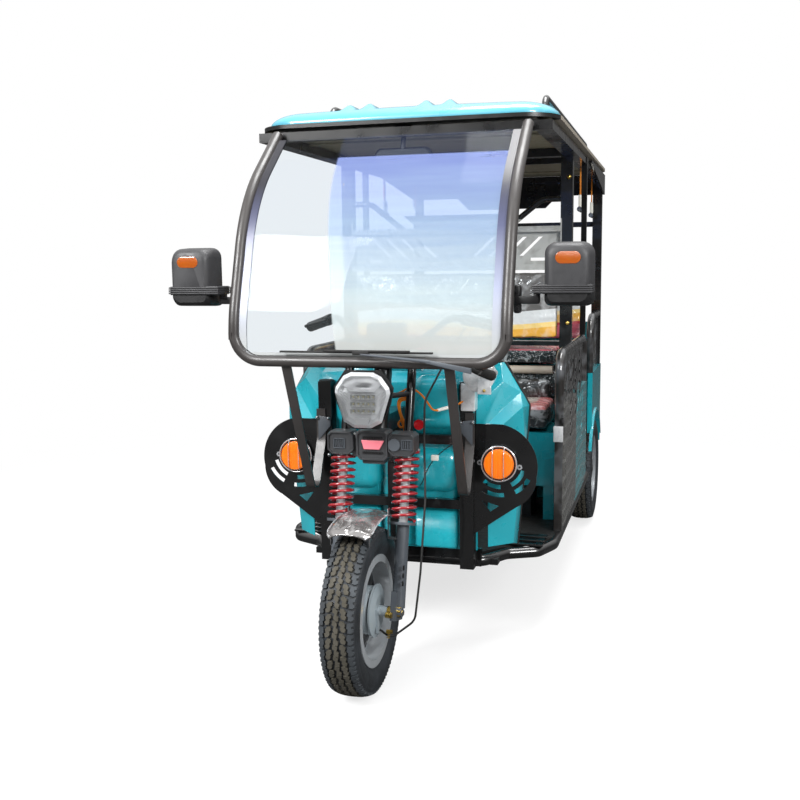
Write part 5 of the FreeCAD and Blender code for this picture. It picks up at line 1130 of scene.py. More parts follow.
@dataclass
class Studio:
    """Camera, floor and lights."""

    eye: Vector = field(default_factory=lambda: Vector((0.8817, -3.8321, 1.2508)))
    yaw: float = math.radians(15.707)
    pitch: float = math.radians(7.8125)
    roll: float = math.radians(-0.656)
    focal_share: float = 989.5 / 800

    def camera(self) -> None:
        """Places the camera where the photograph was taken from."""
        ahead = Vector((-math.sin(self.yaw) * math.cos(self.pitch), math.cos(self.yaw) * math.cos(self.pitch),
                        -math.sin(self.pitch)))
        right = Vector((math.cos(self.yaw), math.sin(self.yaw), 0.0))
        up = right.cross(ahead)
        turned_right = right * math.cos(self.roll) + up * math.sin(self.roll)
        turned_up = -right * math.sin(self.roll) + up * math.cos(self.roll)
        data = bpy.data.cameras.new("camera")
        data.sensor_width = SENSOR_WIDTH
        data.lens = SENSOR_WIDTH * self.focal_share
        data.shift_x = -0.003
        data.shift_y = 0.003
        data.clip_start = 0.05
        data.clip_end = 200.0
        made = show("camera", data)
        turn = Matrix((turned_right, turned_up, -ahead)).transposed().to_4x4()
        made.matrix_world = Matrix.Translation(self.eye) @ turn
        bpy.context.scene.camera = made

    def rays(self, tree: Tree) -> tuple[Socket, Socket]:
        """Tells straight views from reflections.

        Args:
            tree: Nodes that ask.

        Returns:
            1 for rays seen straight or through glass, and 1 for reflected ones.
        """
        path = add_node(tree, "ShaderNodeLightPath")
        seen = add_node(tree, "ShaderNodeMath", {
            0: path.outputs["Is Camera Ray"], 1: path.outputs["Is Transmission Ray"],
        }, operation="MAXIMUM")
        return seen.outputs[0], path.outputs["Is Glossy Ray"]

    def floor(self) -> None:
        """Lays a pale floor that fades to white and keeps a soft shadow under the vehicle."""
        bm = bmesh.new()
        bmesh.ops.create_grid(bm, x_segments=1, y_segments=1, size=40.0)
        mesh = bpy.data.meshes.new("floor")
        bm.to_mesh(mesh)
        bm.free()
        paper = bpy.data.materials.new("pale_paper_floor")
        paper.use_nodes = True
        tree = paper.node_tree
        tree.nodes.clear()
        place = add_node(tree, "ShaderNodeTexCoord").outputs["Object"]
        seen, mirrored = self.rays(tree)
        far = add_node(tree, "ShaderNodeVectorMath", {0: place}, operation="LENGTH")
        fade = add_node(tree, "ShaderNodeMapRange", {
            "Value": far.outputs["Value"], "From Min": 1.2, "From Max": 3.6, "To Min": 0.72, "To Max": 1.0,
        }, interpolation_type="SMOOTHSTEP")
        share = add_node(tree, "ShaderNodeMath", {0: seen, 1: fade.outputs["Result"]}, operation="MULTIPLY")
        tone = add_node(tree, "ShaderNodeMix", {
            "Factor": seen, "A": linear("#8C8C8C"), "B": linear("#FFFFFF"),
        }, data_type="RGBA")
        dim = add_node(tree, "ShaderNodeMix", {
            "Factor": mirrored, "A": tone.outputs["Result"], "B": linear("#4A4A4A"),
        }, data_type="RGBA")
        lit = add_node(tree, "ShaderNodeBsdfDiffuse", {"Color": dim.outputs["Result"]})
        glow = add_node(tree, "ShaderNodeEmission", {"Color": (1.0, 1.0, 1.0, 1.0), "Strength": 1.0})
        mix = add_node(tree, "ShaderNodeMixShader",
                       {"Fac": share.outputs[0], 1: lit.outputs[0], 2: glow.outputs[0]})
        add_node(tree, "ShaderNodeOutputMaterial", {"Surface": mix.outputs[0]})
        mesh.materials.append(paper)
        show("floor", mesh)

    def world(self) -> None:
        """White where it is seen straight; in reflections, bright above and dark at eye level."""
        sky = bpy.data.worlds.new("studio")
        bpy.context.scene.world = sky
        sky.use_nodes = True
        tree = sky.node_tree
        tree.nodes.clear()
        seen, mirrored = self.rays(tree)
        parts = add_node(tree, "ShaderNodeSeparateXYZ",
                         {"Vector": add_node(tree, "ShaderNodeTexCoord").outputs[0]})
        dome = add_node(tree, "ShaderNodeMapRange", {
            "Value": parts.outputs["Z"], "From Min": 0.05, "From Max": 0.75, "To Min": 0.10, "To Max": 1.15,
        }, interpolation_type="SMOOTHSTEP")
        soft = add_node(tree, "ShaderNodeMapRange", {
            "Value": parts.outputs["Z"], "From Min": -0.1, "From Max": 0.9, "To Min": 0.40, "To Max": 1.0,
        })
        shade = add_node(tree, "ShaderNodeMix", {
            "Factor": mirrored, "A": soft.outputs["Result"], "B": dome.outputs["Result"],
        }, data_type="FLOAT")
        light = add_node(tree, "ShaderNodeMix", {
            "Factor": seen, "A": shade.outputs["Result"], "B": 1.0,
        }, data_type="FLOAT")
        white = add_node(tree, "ShaderNodeBackground", {
            "Color": (1.0, 1.0, 1.0, 1.0), "Strength": light.outputs["Result"],
        })
        add_node(tree, "ShaderNodeOutputWorld", {"Surface": white.outputs[0]})

    def lamp(self, name: str, place: Sequence[float], aim: Sequence[float], size: float,
             power: float) -> None:
        """Hangs one soft box.

        Args:
            name: Name of the lamp.
            place: Where it hangs.
            aim: Point that it faces.
            size: Length of its side.
            power: Power in watts.
        """
        data = bpy.data.lights.new(name, "AREA")
        data.shape = "SQUARE"
        data.size = size
        data.energy = power
        made = show(name, data)
        made.location = place
        made.rotation_euler = (Vector(aim) - Vector(place)).to_track_quat("-Z", "Y").to_euler()

    def build(self) -> None:
        """Builds the whole set."""
        self.camera()
        self.floor()
        self.world()
        self.lamp("key", (-2.4, -4.4, 3.6), (0.0, -0.6, 0.7), 1.8, 330.0)
        self.lamp("fill", (3.8, -3.8, 3.0), (0.0, -0.4, 0.8), 1.4, 190.0)
        self.lamp("top", (0.6, 0.0, 5.2), (0.0, 0.0, 0.9), 2.4, 230.0)
        bpy.context.scene.view_settings.view_transform = "Standard"


# Wheels


@dataclass
class TreadedTyre:
    """Road tyre with rows of lugs round a smooth carcass."""

    name: str
    body: str
    node: str
    pitches: int = 46
    groove: float = 0.0065
    fill: float = 1.18

    def __post_init__(self) -> None:
        """Takes the tyre's size from its CAD node."""
        low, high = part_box(self.node)
        self.centre = (low + high) / 2
        self.radius = (high.z - low.z) / 2
        self.half = (high.x - low.x) / 2

    def crown(self, x: float) -> float:
        """Radius of the tread at a distance from the tyre's middle."""
        share = abs(x) / self.half
        return self.radius * (1.0 - 0.0055 * share - 0.048 * share ** 3.4)

    def base(self, x: float) -> float:
        """Radius at the bottom of the grooves."""
        return self.crown(x) - self.groove

    def profile(self) -> list[Vector]:
        """Half-section from bead to bead over the crown.

        Returns:
            Points of the section, at the top of the tyre.
        """
        wall = [(0.74, 0.632), (0.765, 0.66), (0.80, 0.69), (0.88, 0.72), (0.955, 0.765), (0.992, 0.805),
                (1.0, 0.84), (0.985, 0.872), (0.96, 0.888), (0.966, 0.893), (0.952, 0.905), (0.925, 0.922)]
        side = [(x * self.half, r * self.radius) for x, r in wall]
        tread = [(s * self.half, self.base(s * self.half)) for s in (0.88, 0.78, 0.6, 0.4, 0.2)]
        half = side + tread
        ring = [(-x, r) for x, r in half] + [(0.0, self.base(0.0))] + half[::-1]
        return [self.centre + Vector((x, 0.0, r)) for x, r in ring]

    def carcass(self) -> None:
        """Turns the carcass."""
        bm = bmesh.new()
        lathe(bm, self.profile(), self.centre, (1, 0, 0), steps=120, closed=True)
        put(self.name + "_carcass", bm, Palette.sidewall, self.body, (self.node,), sharp=60)

    def lug(self, bm: BMesh, outline: Sequence[Sequence[float]], mirrored: bool = False) -> None:
        """Adds one lug to the pitch at the top of the tyre.

        Args:
            bm: Mesh of the lugs.
            outline: Corners as shares of pitch along and half-width across.
            mirrored: Whether it stands on the other side of the middle.
        """
        pitch = math.tau / self.pitches
        side = -1 if mirrored else 1
        middle = sum(along for along, _ in outline) / len(outline)
        corners = []
        for along, across in outline:
            x = across * self.half * side
            spread = middle + (along - middle) * self.fill
            angle = (spread + (0.5 if mirrored else 0.0)) * pitch
            corners.append((x, angle))
        for top in (False, True):
            mid_x = sum(c[0] for c in corners) / len(corners)
            mid_a = sum(c[1] for c in corners) / len(corners)
            ring = []
            for x, angle in corners:
                shrink = 0.93 if top else 1.0
                x = mid_x + (x - mid_x) * shrink
                angle = mid_a + (angle - mid_a) * shrink
                r = self.crown(x) if top else self.base(x) - 0.002
                ring.append(bm.verts.new(self.centre + Vector((x, -r * math.sin(angle),
                                                               r * math.cos(angle)))))
            if top:
                bm.faces.new(ring)
                for i, vert in enumerate(ring):
                    j = (i + 1) % len(ring)
                    bm.faces.new((low[i], low[j], ring[j], vert))
            low = ring

    def tread(self) -> None:
        """Sets the rows of lugs and repeats them round the tyre."""
        bm = bmesh.new()
        middle = [(0.02, -0.13), (0.34, -0.17), (0.44, -0.05), (0.76, -0.10), (0.96, 0.02), (0.98, 0.14),
                  (0.66, 0.17),
                  (0.55, 0.06), (0.24, 0.11), (0.04, 0.0)]
        row = [(0.05, 0.22), (0.30, 0.20), (0.42, 0.30), (0.60, 0.26), (0.80, 0.34), (0.84, 0.50),
               (0.60, 0.56),
               (0.50, 0.47), (0.28, 0.52), (0.06, 0.40)]
        shoulder = [(0.16, 0.60), (0.52, 0.56), (0.60, 0.64), (0.88, 0.62), (0.92, 0.78), (0.80, 0.90),
                    (0.62, 0.90),
                    (0.56, 0.80), (0.40, 0.80), (0.36, 0.90), (0.16, 0.90)]
        self.lug(bm, middle)
        for mirrored in (False, True):
            self.lug(bm, row, mirrored)
        self.repeat(bm, "_tread", Palette.tread)
        bm = bmesh.new()
        for mirrored in (False, True):
            self.lug(bm, shoulder, mirrored)
        self.repeat(bm, "_shoulder", Palette.shoulder)

    def repeat(self, bm: BMesh, part: str, finish: Finish) -> None:
        """Repeats one pitch of lugs round the tyre and puts them on it.

        Args:
            bm: Mesh with one pitch of lugs.
            part: End of the piece's name.
            finish: Finish of the lugs.
        """
        once = list(bm.verts) + list(bm.edges) + list(bm.faces)
        steps = self.pitches - 1
        bmesh.ops.spin(bm, geom=once, cent=self.centre, axis=(1, 0, 0), angle=math.tau * steps / self.pitches,
                       steps=steps, use_duplicate=True)
        put(self.name + part, bm, finish, self.body, sharp=30)

    def build(self) -> None:
        """Builds carcass and tread."""
        self.carcass()
        self.tread()


# Soft pieces


@dataclass
class Cushion:
    """Foam cushion in a stretched cover, made as inflated cloth inside its CAD box."""

    name: str
    low: Vector
    high: Vector
    finish: Finish
    replaces: str = ""
    cap: float = 0.014
    voxel: float = 0.010
    pressure: float = 4.0
    wrinkle: float = 0.0025

    def block_mesh(self) -> bpy.types.Object:
        """Starts from a rounded block a little smaller than the CAD solid.

        Returns:
            The cushion before it is inflated.
        """
        bm = bmesh.new()
        shrink = Vector((self.cap, self.cap, self.cap)) * 0.8
        block(bm, self.low + shrink, self.high - shrink, bevel=0.014, segments=3)
        body = put(self.name, bm, self.finish, "chassis", sharp=180)
        remesh = body.modifiers.new("even", "REMESH")
        remesh.mode = "VOXEL"
        remesh.voxel_size = self.voxel
        settle(body)
        return body

    def swell(self, body: bpy.types.Object) -> None:
        """Inflates the cover with its seams held, capped, and keeps the result.

        Args:
            body: The cushion.
        """
        mesh = body.data
        start = np.empty(len(mesh.vertices) * 3, np.float32)
        mesh.vertices.foreach_get("co", start)
        start = start.reshape(-1, 3)
        seams = body.vertex_groups.new(name="seams")
        inner = np.array(self.high - self.low) / 2 - self.cap * 0.8
        off = inner - np.abs(start - np.array(self.high + self.low) / 2)
        near = np.sort(off, axis=1)[:, 1] < self.voxel * 1.1
        seams.add(np.nonzero(near)[0].tolist(), 1.0, "REPLACE")
        cloth = body.modifiers.new("swell", "CLOTH")
        made = cloth.settings
        made.quality = 4
        made.mass = 0.3
        made.tension_stiffness = 12.0
        made.compression_stiffness = 12.0
        made.bending_stiffness = 0.5
        made.use_pressure = True
        made.uniform_pressure_force = self.pressure
        made.effector_weights.gravity = 0.0
        made.vertex_group_mass = "seams"
        cloth.collision_settings.use_collision = False
        cloth.point_cache.frame_start = 1
        cloth.point_cache.frame_end = CLOTH_FRAMES
        scene = bpy.context.scene
        for step in range(1, CLOTH_FRAMES + 1):
            scene.frame_set(step)
        graph = bpy.context.evaluated_depsgraph_get()
        swollen = body.evaluated_get(graph).data
        end = np.empty(len(swollen.vertices) * 3, np.float32)
        swollen.vertices.foreach_get("co", end)
        move = end.reshape(-1, 3) - start
        length = np.linalg.norm(move, axis=1, keepdims=True)
        move *= np.minimum(1.0, self.cap / np.maximum(length, 1e-9))
        body.modifiers.clear()
        scene.frame_set(1)
        mesh.vertices.foreach_set("co", (start + move).ravel())
        mesh.update()

    def crease(self, body: bpy.types.Object) -> None:
        """Draws the cover and its film into small folds, kept inside the CAD box.

        Args:
            body: The inflated cushion.
        """
        mesh = body.data
        count = len(mesh.vertices)
        spots = np.empty(count * 3, np.float32)
        ways = np.empty(count * 3, np.float32)
        mesh.vertices.foreach_get("co", spots)
        mesh.vertex_normals.foreach_get("vector", ways)
        spots = spots.reshape(-1, 3)
        folds = [noise.ridged_multi_fractal(Vector((x * 14, y * 22, z * 22)), 1.0, 2.1, 3, 0.9, 2.0)
                 for x, y, z in spots.tolist()]
        push = (np.array(folds, np.float32) - 1.2) * self.wrinkle
        spots = spots + ways.reshape(-1, 3) * push[:, None]
        spots = np.clip(spots, np.array(self.low), np.array(self.high))
        mesh.vertices.foreach_set("co", spots.ravel())
        mesh.update()

    def build(self) -> bpy.types.Object:
        """Returns:
            The finished cushion.
        """
        body = self.block_mesh()
        self.swell(body)
        smooth = body.modifiers.new("smooth", "SUBSURF")
        smooth.levels = smooth.render_levels = 1
        settle(body)
        self.crease(body)
        body.data.shade_smooth()
        if self.replaces:
            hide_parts(self.replaces)
        return body


@dataclass
class Seats:
    """All cushions and backs."""

    # Dark grey at the foot, then rose, then beige on top, under creased film.
    driver: StripedCover = StripedCover(
        "driver_seat_cover_in_film", "#26211F", 0.5, crease_mm=34.0, crease_height_mm=6.0, haze_and_highlight_share=0.35,
        haze_and_highlight_from=0.7, haze="#E2E4E6",
        bands=((0.60, "#2A2C2E"), (0.717, "#C06A68"), (0.737, "#B7AA9C"), (0.80, "#B7AA9C")), wave=0.003)
    # Bands from pink at the foot through red, yellow and pale grey to dark grey, under creased film.
    back: StripedCover = StripedCover(
        "partition_cover_in_film", "#2A2725", 0.5, crease_mm=50.0, crease_height_mm=6.0, haze_and_highlight_share=0.3,
        haze_and_highlight_from=0.68, haze="#E8EAEA",
        bands=((0.93, "#D9667A"), (0.952, "#C8404A"), (0.966, "#E2A93E"), (1.005, "#EBCB7C"),
               (1.025, "#C9CCCC"),
               (1.075, "#5A5856"), (1.26, "#4A4845")), wave=0.010)
    # Near-black at the foot, then rose, then dusty pink on top, under creased film.
    bench: StripedCover = StripedCover(
        "middle_seat_cover_in_film", "#26211F", 0.5, crease_mm=44.0, crease_height_mm=5.0, haze_and_highlight_share=0.3,
        haze_and_highlight_from=0.8,
        bands=((0.84, "#141618"), (0.902, "#C4606A"), (0.96, "#B08A80")), wave=0.003)

    def build(self) -> None:
        """Builds each cushion from its CAD solid's box."""
        cushion, band = sorted(solid_boxes("driver_cushions"), key=lambda b: b[0].z)
        plump = Vector((0.014, 0.004, 0.0))
        seat = (cushion[0] - plump, cushion[1] + plump + Vector((0.0, 0.0, 0.027)))
        Cushion("driver_cushion", *seat, self.driver, "driver_cushions").build()
        Cushion("driver_back", *band, Palette.plain_seat, cap=0.008).build()
        solids = sorted(solid_boxes("passenger_cushions"), key=lambda b: b[0].y)
        finishes = {"middle": self.bench, "partition": self.back, "rear": Palette.plain_seat,
                    "rear_back": self.back}
        low = sorted(solids, key=lambda b: b[0].z)
        names = {id(low[0]): "rear", id(low[1]): "middle", id(low[2]): "rear_back", id(low[3]): "partition"}
        for i, solid in enumerate(solids):
            name = names[id(solid)]
            Cushion(name + "_cushion", *solid, finishes[name], "passenger_cushions" if i == 0 else "").build()


# The lamps


@dataclass
class Headlight:
    """Clear lamp of twelve corners with a reflector and three rows of light cups."""

    outline: tuple[tuple[float, float], ...] = (
        (-0.20, 0.5), (0.20, 0.5), (0.34, 0.43), (0.485, 0.22), (0.5, 0.13), (0.345, -0.39), (0.15, -0.5),
        (-0.15, -0.5), (-0.345, -0.39), (-0.5, 0.13), (-0.485, 0.22), (-0.34, 0.43))

    def __post_init__(self) -> None:
        """Takes the lamp's size from its lens."""
        low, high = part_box("headlight_lens")
        self.low, self.high = low, high
        self.centre = (low + high) / 2
        self.width = high.x - low.x
        self.height = high.z - low.z

    def ring(self, share: float, y: float) -> list[Vector]:
        """Outline of the lamp at a depth, scaled about its middle.

        Args:
            share: Size against the lamp's own outline.
            y: Depth of the ring.

        Returns:
            Its corners in order.
        """
        return [Vector((x * self.width * share, y, self.centre.z + z * self.height * share))
                for x, z in self.outline]

    def shell(self) -> None:
        """Clear cover: a flat front with a broad chamfer."""
        bm = bmesh.new()
        rings = [self.ring(s, y) for s, y in (
            (0.998, self.high.y), (0.985, self.high.y - 0.008), (0.84, self.low.y))]
        join_rings(bm, rings, first=False)
        put("headlight_cover", bm, Palette.lens, "fork", ("headlight_lens",), sharp=10)

    def bowl(self) -> None:
        """Bright bowl behind the cover, stepped like the real reflector."""
        bm = bmesh.new()
        front, back = self.low.y + 0.006, self.high.y - 0.001
        rings = [self.ring(0.97, back - 0.008), self.ring(0.86, front + 0.002),
                 self.ring(0.80, front + 0.006), self.ring(0.74, back - 0.004)]
        join_rings(bm, rings, first=False)
        put("headlight_bowl", bm, Palette.reflector, "fork", sharp=10)

    def hood(self) -> None:
        """Smooth bright dish over the cups."""
        bm = bmesh.new()
        top, mid = self.centre.z + self.height * 0.42, self.centre.z + self.height * 0.15
        front = self.low.y + 0.008
        shape = [(-0.17, top), (0.17, top), (0.31, top - 0.012), (0.34, mid + 0.022), (0.22, mid),
                 (-0.22, mid),
                 (-0.34, mid + 0.022), (-0.31, top - 0.012)]
        rings = []
        for share, y in ((1.0, front), (0.94, front + 0.004), (0.80, front + 0.008), (0.5, front + 0.011)):
            middle = (top + mid) / 2
            rings.append([Vector((x * self.width * share, y, middle + (z - middle) * share))
                          for x, z in shape])
        join_rings(bm, rings, first=False)
        put("headlight_dish", bm, Palette.reflector, "fork", sharp=40)

    def cups(self) -> None:
        """Three rows of small square cups with a light in each."""
        cups, lights = bmesh.new(), bmesh.new()
        for count, drop in ((5, 0.055), (5, -0.07), (5, -0.195)):
            z = self.centre.z + self.height * drop
            pitch = self.width * 0.088
            for i in range(count):
                x = (i - (count - 1) / 2) * pitch + 0.002
                half = pitch * 0.47
                front, back = self.low.y + 0.010, self.low.y + 0.019
                outer = [(x - half, z - half), (x + half, z - half), (x + half, z + half),
                         (x - half, z + half)]
                inner = [(x + (a - x) * 0.45, z + (b - z) * 0.45) for a, b in outer]
                join_rings(cups, [[(a, front, b) for a, b in outer], [(a, back, b) for a, b in inner]],
                           first=False)
                bmesh.ops.create_icosphere(lights, subdivisions=2, radius=half * 0.36,
                                           matrix=Matrix.Translation((x, back - 0.001, z)))
        put("headlight_cups", cups, Palette.reflector, "fork", sharp=10)
        put("headlight_leds", lights, Palette.led, "fork")

    def lower_facets(self) -> None:
        """Bright keystone below the cups and flutes beside them."""
        bm = bmesh.new()
        z = self.centre.z - self.height * 0.36
        front = self.low.y + 0.008
        shape = [(-0.14, z + 0.010), (0.14, z + 0.010), (0.10, z - 0.010), (-0.10, z - 0.010)]
        outline_prism(bm, [(x * self.width, front, zz) for x, zz in shape], (0, 0.008, 0), bevel=0.0015)
        for side in (-1, 1):
            for i in range(7):
                top = Vector((side * self.width * 0.42, front + 0.004,
                              self.centre.z + self.height * (0.20 - 0.035 * i)))
                low = Vector((side * self.width * (0.25 + 0.01 * i), front + 0.012,
                              self.centre.z + self.height * (0.08 - 0.062 * i)))
                rod(bm, top, low, 0.0028, 0.0016, sides=5)
        put("headlight_keystone", bm, Palette.reflector, "fork", sharp=20)

    def build(self) -> None:
        """Builds the whole lamp."""
        self.shell()
        self.bowl()
        self.hood()
        self.cups()
        self.lower_facets()


@dataclass
class EarLamp:
    """Round amber lamp in a chrome wire guard."""

    side: int

    def build(self) -> None:
        """Builds the base, lens, guard wires and ear washers where the CAD lens is."""
        solids = solid_boxes("indicator_lamps")
        low, high = next(b for b in solids if (b[0].x + b[1].x) * self.side > 0)
        centre = (low + high) / 2
        radius = (high.x - low.x) / 2
        base, front = high.y, low.y
        name = "left" if self.side > 0 else "right"
        lens = radius * 0.86
        bm = bmesh.new()
        lathe(bm, [(centre.x, base, centre.z + radius * 0.97),
                   (centre.x, base - 0.014, centre.z + radius * 0.97),
                   (centre.x, base - 0.014, centre.z + lens * 0.98),
                   (centre.x, base - 0.004, centre.z + lens * 0.9),
                   (centre.x, base - 0.004, centre.z)], centre, (0, 1, 0), steps=48)
        put(f"lamp_base_{name}", bm, Palette.black_plastic, "chassis",
            ("indicator_lamps",) if self.side > 0 else ())
        bm = bmesh.new()
        lathe(bm, [(centre.x, base - 0.004, centre.z + lens),
                   (centre.x, front + 0.007, centre.z + lens * 0.99),
                   (centre.x, front + 0.002, centre.z + lens * 0.93),
                   (centre.x, front, centre.z + lens * 0.75),
                   (centre.x, front - 0.0005, centre.z)], centre, (0, 1, 0), steps=48)
        put(f"lamp_lens_{name}", bm, Palette.amber, "chassis")
        turn = [i * math.tau / 16 for i in range(16)]
        ring = [(centre.x + (radius + 0.001) * math.cos(t), base - 0.014,
                 centre.z + (radius + 0.001) * math.sin(t))
                for t in turn]
        wire(f"lamp_guard_ring_{name}", ring, 0.0025, Palette.chrome, "chassis", cyclic=True)
        for i, x in enumerate((-0.018, 0.018)):
            rise = math.sqrt(radius ** 2 - x ** 2)
            points = [(centre.x + x, base - 0.014, centre.z - rise),
                      (centre.x + x, front - 0.004, centre.z - rise * 0.9),
                      (centre.x + x, front - 0.005, centre.z),
                      (centre.x + x, front - 0.004, centre.z + rise * 0.9),
                      (centre.x + x, base - 0.014, centre.z + rise)]
            wire(f"lamp_guard_wire_{name}_{i}", points, 0.0012, Palette.chrome, "chassis")
        bm = bmesh.new()
        for direction, drop in ((-1, 0.0), (1, -0.010)):
            x = centre.x + direction * (radius + 0.008)
            z = centre.z + drop
            lathe(bm, [(x + 0.0035, base - 0.001, z), (x + 0.0035, base - 0.004, z),
                       (x + 0.0085, base - 0.004, z), (x + 0.0085, base - 0.001, z)],
                  (x, base, z), (0, 1, 0), steps=20, closed=True)
        put(f"lamp_guard_ears_{name}", bm, Palette.chrome, "chassis")


# Front body


def facets(bm: BMesh, corners: dict[str, tuple[float, float, float]], faces: Sequence[str]) -> None:
    """Adds flat faces between named corners, once on each side of the vehicle.

    Args:
        bm: Mesh that gets them.
        corners: Places of the corners on the left side.
        faces: Corner names of each face, separated by spaces.
    """
    for side in (-1, 1):
        spots = {name: bm.verts.new((x * side, y, z)) for name, (x, y, z) in corners.items()}
        for face in faces:
            bm.faces.new([spots[name] for name in face.split()])


@dataclass
class Cowl:
    """Front cowl with pressed corners, four domed swells, a rubber edge and a reflector."""

    cut_x: float = 0.262
    sheet: float = 0.003

    corners: tuple[tuple[str, tuple[float, float, float]], ...] = (
        ("e0", (0.262, -0.645, 0.936)), ("e1", (0.318, -0.645, 0.936)), ("e2", (0.336, -0.640, 0.939)),
        ("a0", (0.262, -0.757, 0.812)), ("a2", (0.3394, -0.700, 0.8807)), ("a3", (0.390, -0.660, 0.8444)),
        ("a4", (0.2911, -0.757, 0.7462)), ("a5", (0.262, -0.760, 0.7200)),
        ("c1", (0.3418, -0.764, 0.7439)), ("c2", (0.4020, -0.700, 0.7999)), ("c3", (0.4065, -0.692, 0.7112)),
        ("c0", (0.300, -0.772, 0.7000)), ("f3", (0.372, -0.688, 0.345)), ("f1", (0.300, -0.753, 0.345)),
        ("o2", (0.3935, -0.640, 0.8400)), ("o3", (0.416, -0.638, 0.798)), ("o4", (0.410, -0.638, 0.715)),
        ("o5", (0.378, -0.638, 0.330)),
    )
    faces: tuple[str, ...] = (
        "e0 e1 a2 a0", "a0 a2 a3 a4 a5", "e1 e2 o2 a3 a2", "a4 a3 c2 c1", "a5 a4 c1 c0", "a3 o2 o3 c2",
        "c1 c2 c3 c0", "c2 o3 o4 c3", "c0 c3 f3 f1", "c3 o4 o5 f3")

    def body(self) -> None:
        """Copies the CAD cowl without the corners that the pressed shell covers."""
        bm = bmesh.new()
        bm.from_mesh(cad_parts["front_cowl"].data)
        bmesh.ops.remove_doubles(bm, verts=bm.verts, dist=1e-5)
        for side in (-1, 1):
            bmesh.ops.bisect_plane(bm, geom=list(bm.verts) + list(bm.edges) + list(bm.faces),
                                   plane_co=(self.cut_x * side, 0, 0), plane_no=(side, 0, 0))
        outer = [f for f in bm.faces if abs(f.calc_center_median().x) > self.cut_x - 1e-4]
        bmesh.ops.delete(bm, geom=outer, context="FACES")
        put("cowl_middle", bm, Palette.teal, "chassis", ("front_cowl",), sharp=30)

    def shell(self) -> None:
        """Presses the two faceted corners."""
        bm = bmesh.new()
        facets(bm, dict(self.corners), self.faces)
        bmesh.ops.recalc_face_normals(bm, faces=bm.faces)
        made = put("cowl_corners", bm, Palette.teal, "chassis", sharp=12)
        thicken(made, self.sheet)
        bevel = made.modifiers.new("rolled", "BEVEL")
        bevel.width = 0.0035
        bevel.segments = 3
        bevel.limit_method = "ANGLE"
        bevel.angle_limit = math.radians(9)
        settle(made)
        made.data.shade_smooth()

    def swells(self) -> None:
        """Sets two domed swells on each side of the fork."""
        bm = bmesh.new()
        for side in (-1, 1):
            for low, high in ((0.728, 0.905), (0.520, 0.672)):
                bulge = block(bm, (side * 0.052, -0.796, low), (side * 0.212, -0.700, high))
                round_edges(bm, {e for v in bulge for e in v.link_edges}, 0.046, 8)
        put("cowl_swells", bm, Palette.teal, "chassis", sharp=180)

    def edging(self) -> None:
        """Runs a rubber edge round each outer side and fixes the small red reflector."""
        spots = dict(self.corners)
        for side, name in ((-1, "right"), (1, "left")):
            line = [spots[k] for k in ("e2", "o2", "o3", "o4", "o5")]
            full = [(x * side, y - 0.001, z) for x, y, z in line]
            wire("cowl_edging_" + name, full, 0.0042, Palette.rubber, "chassis", order=2)
        bm = bmesh.new()
        rod(bm, (0.0835, -0.804, 0.748), (0.0835, -0.790, 0.748), 0.0165, sides=40)
        put("cowl_reflector", bm, Palette.red, "chassis")

    def build(self) -> None:
        """Builds the whole cowl."""
        self.body()
        self.shell()
        self.swells()
        self.edging()


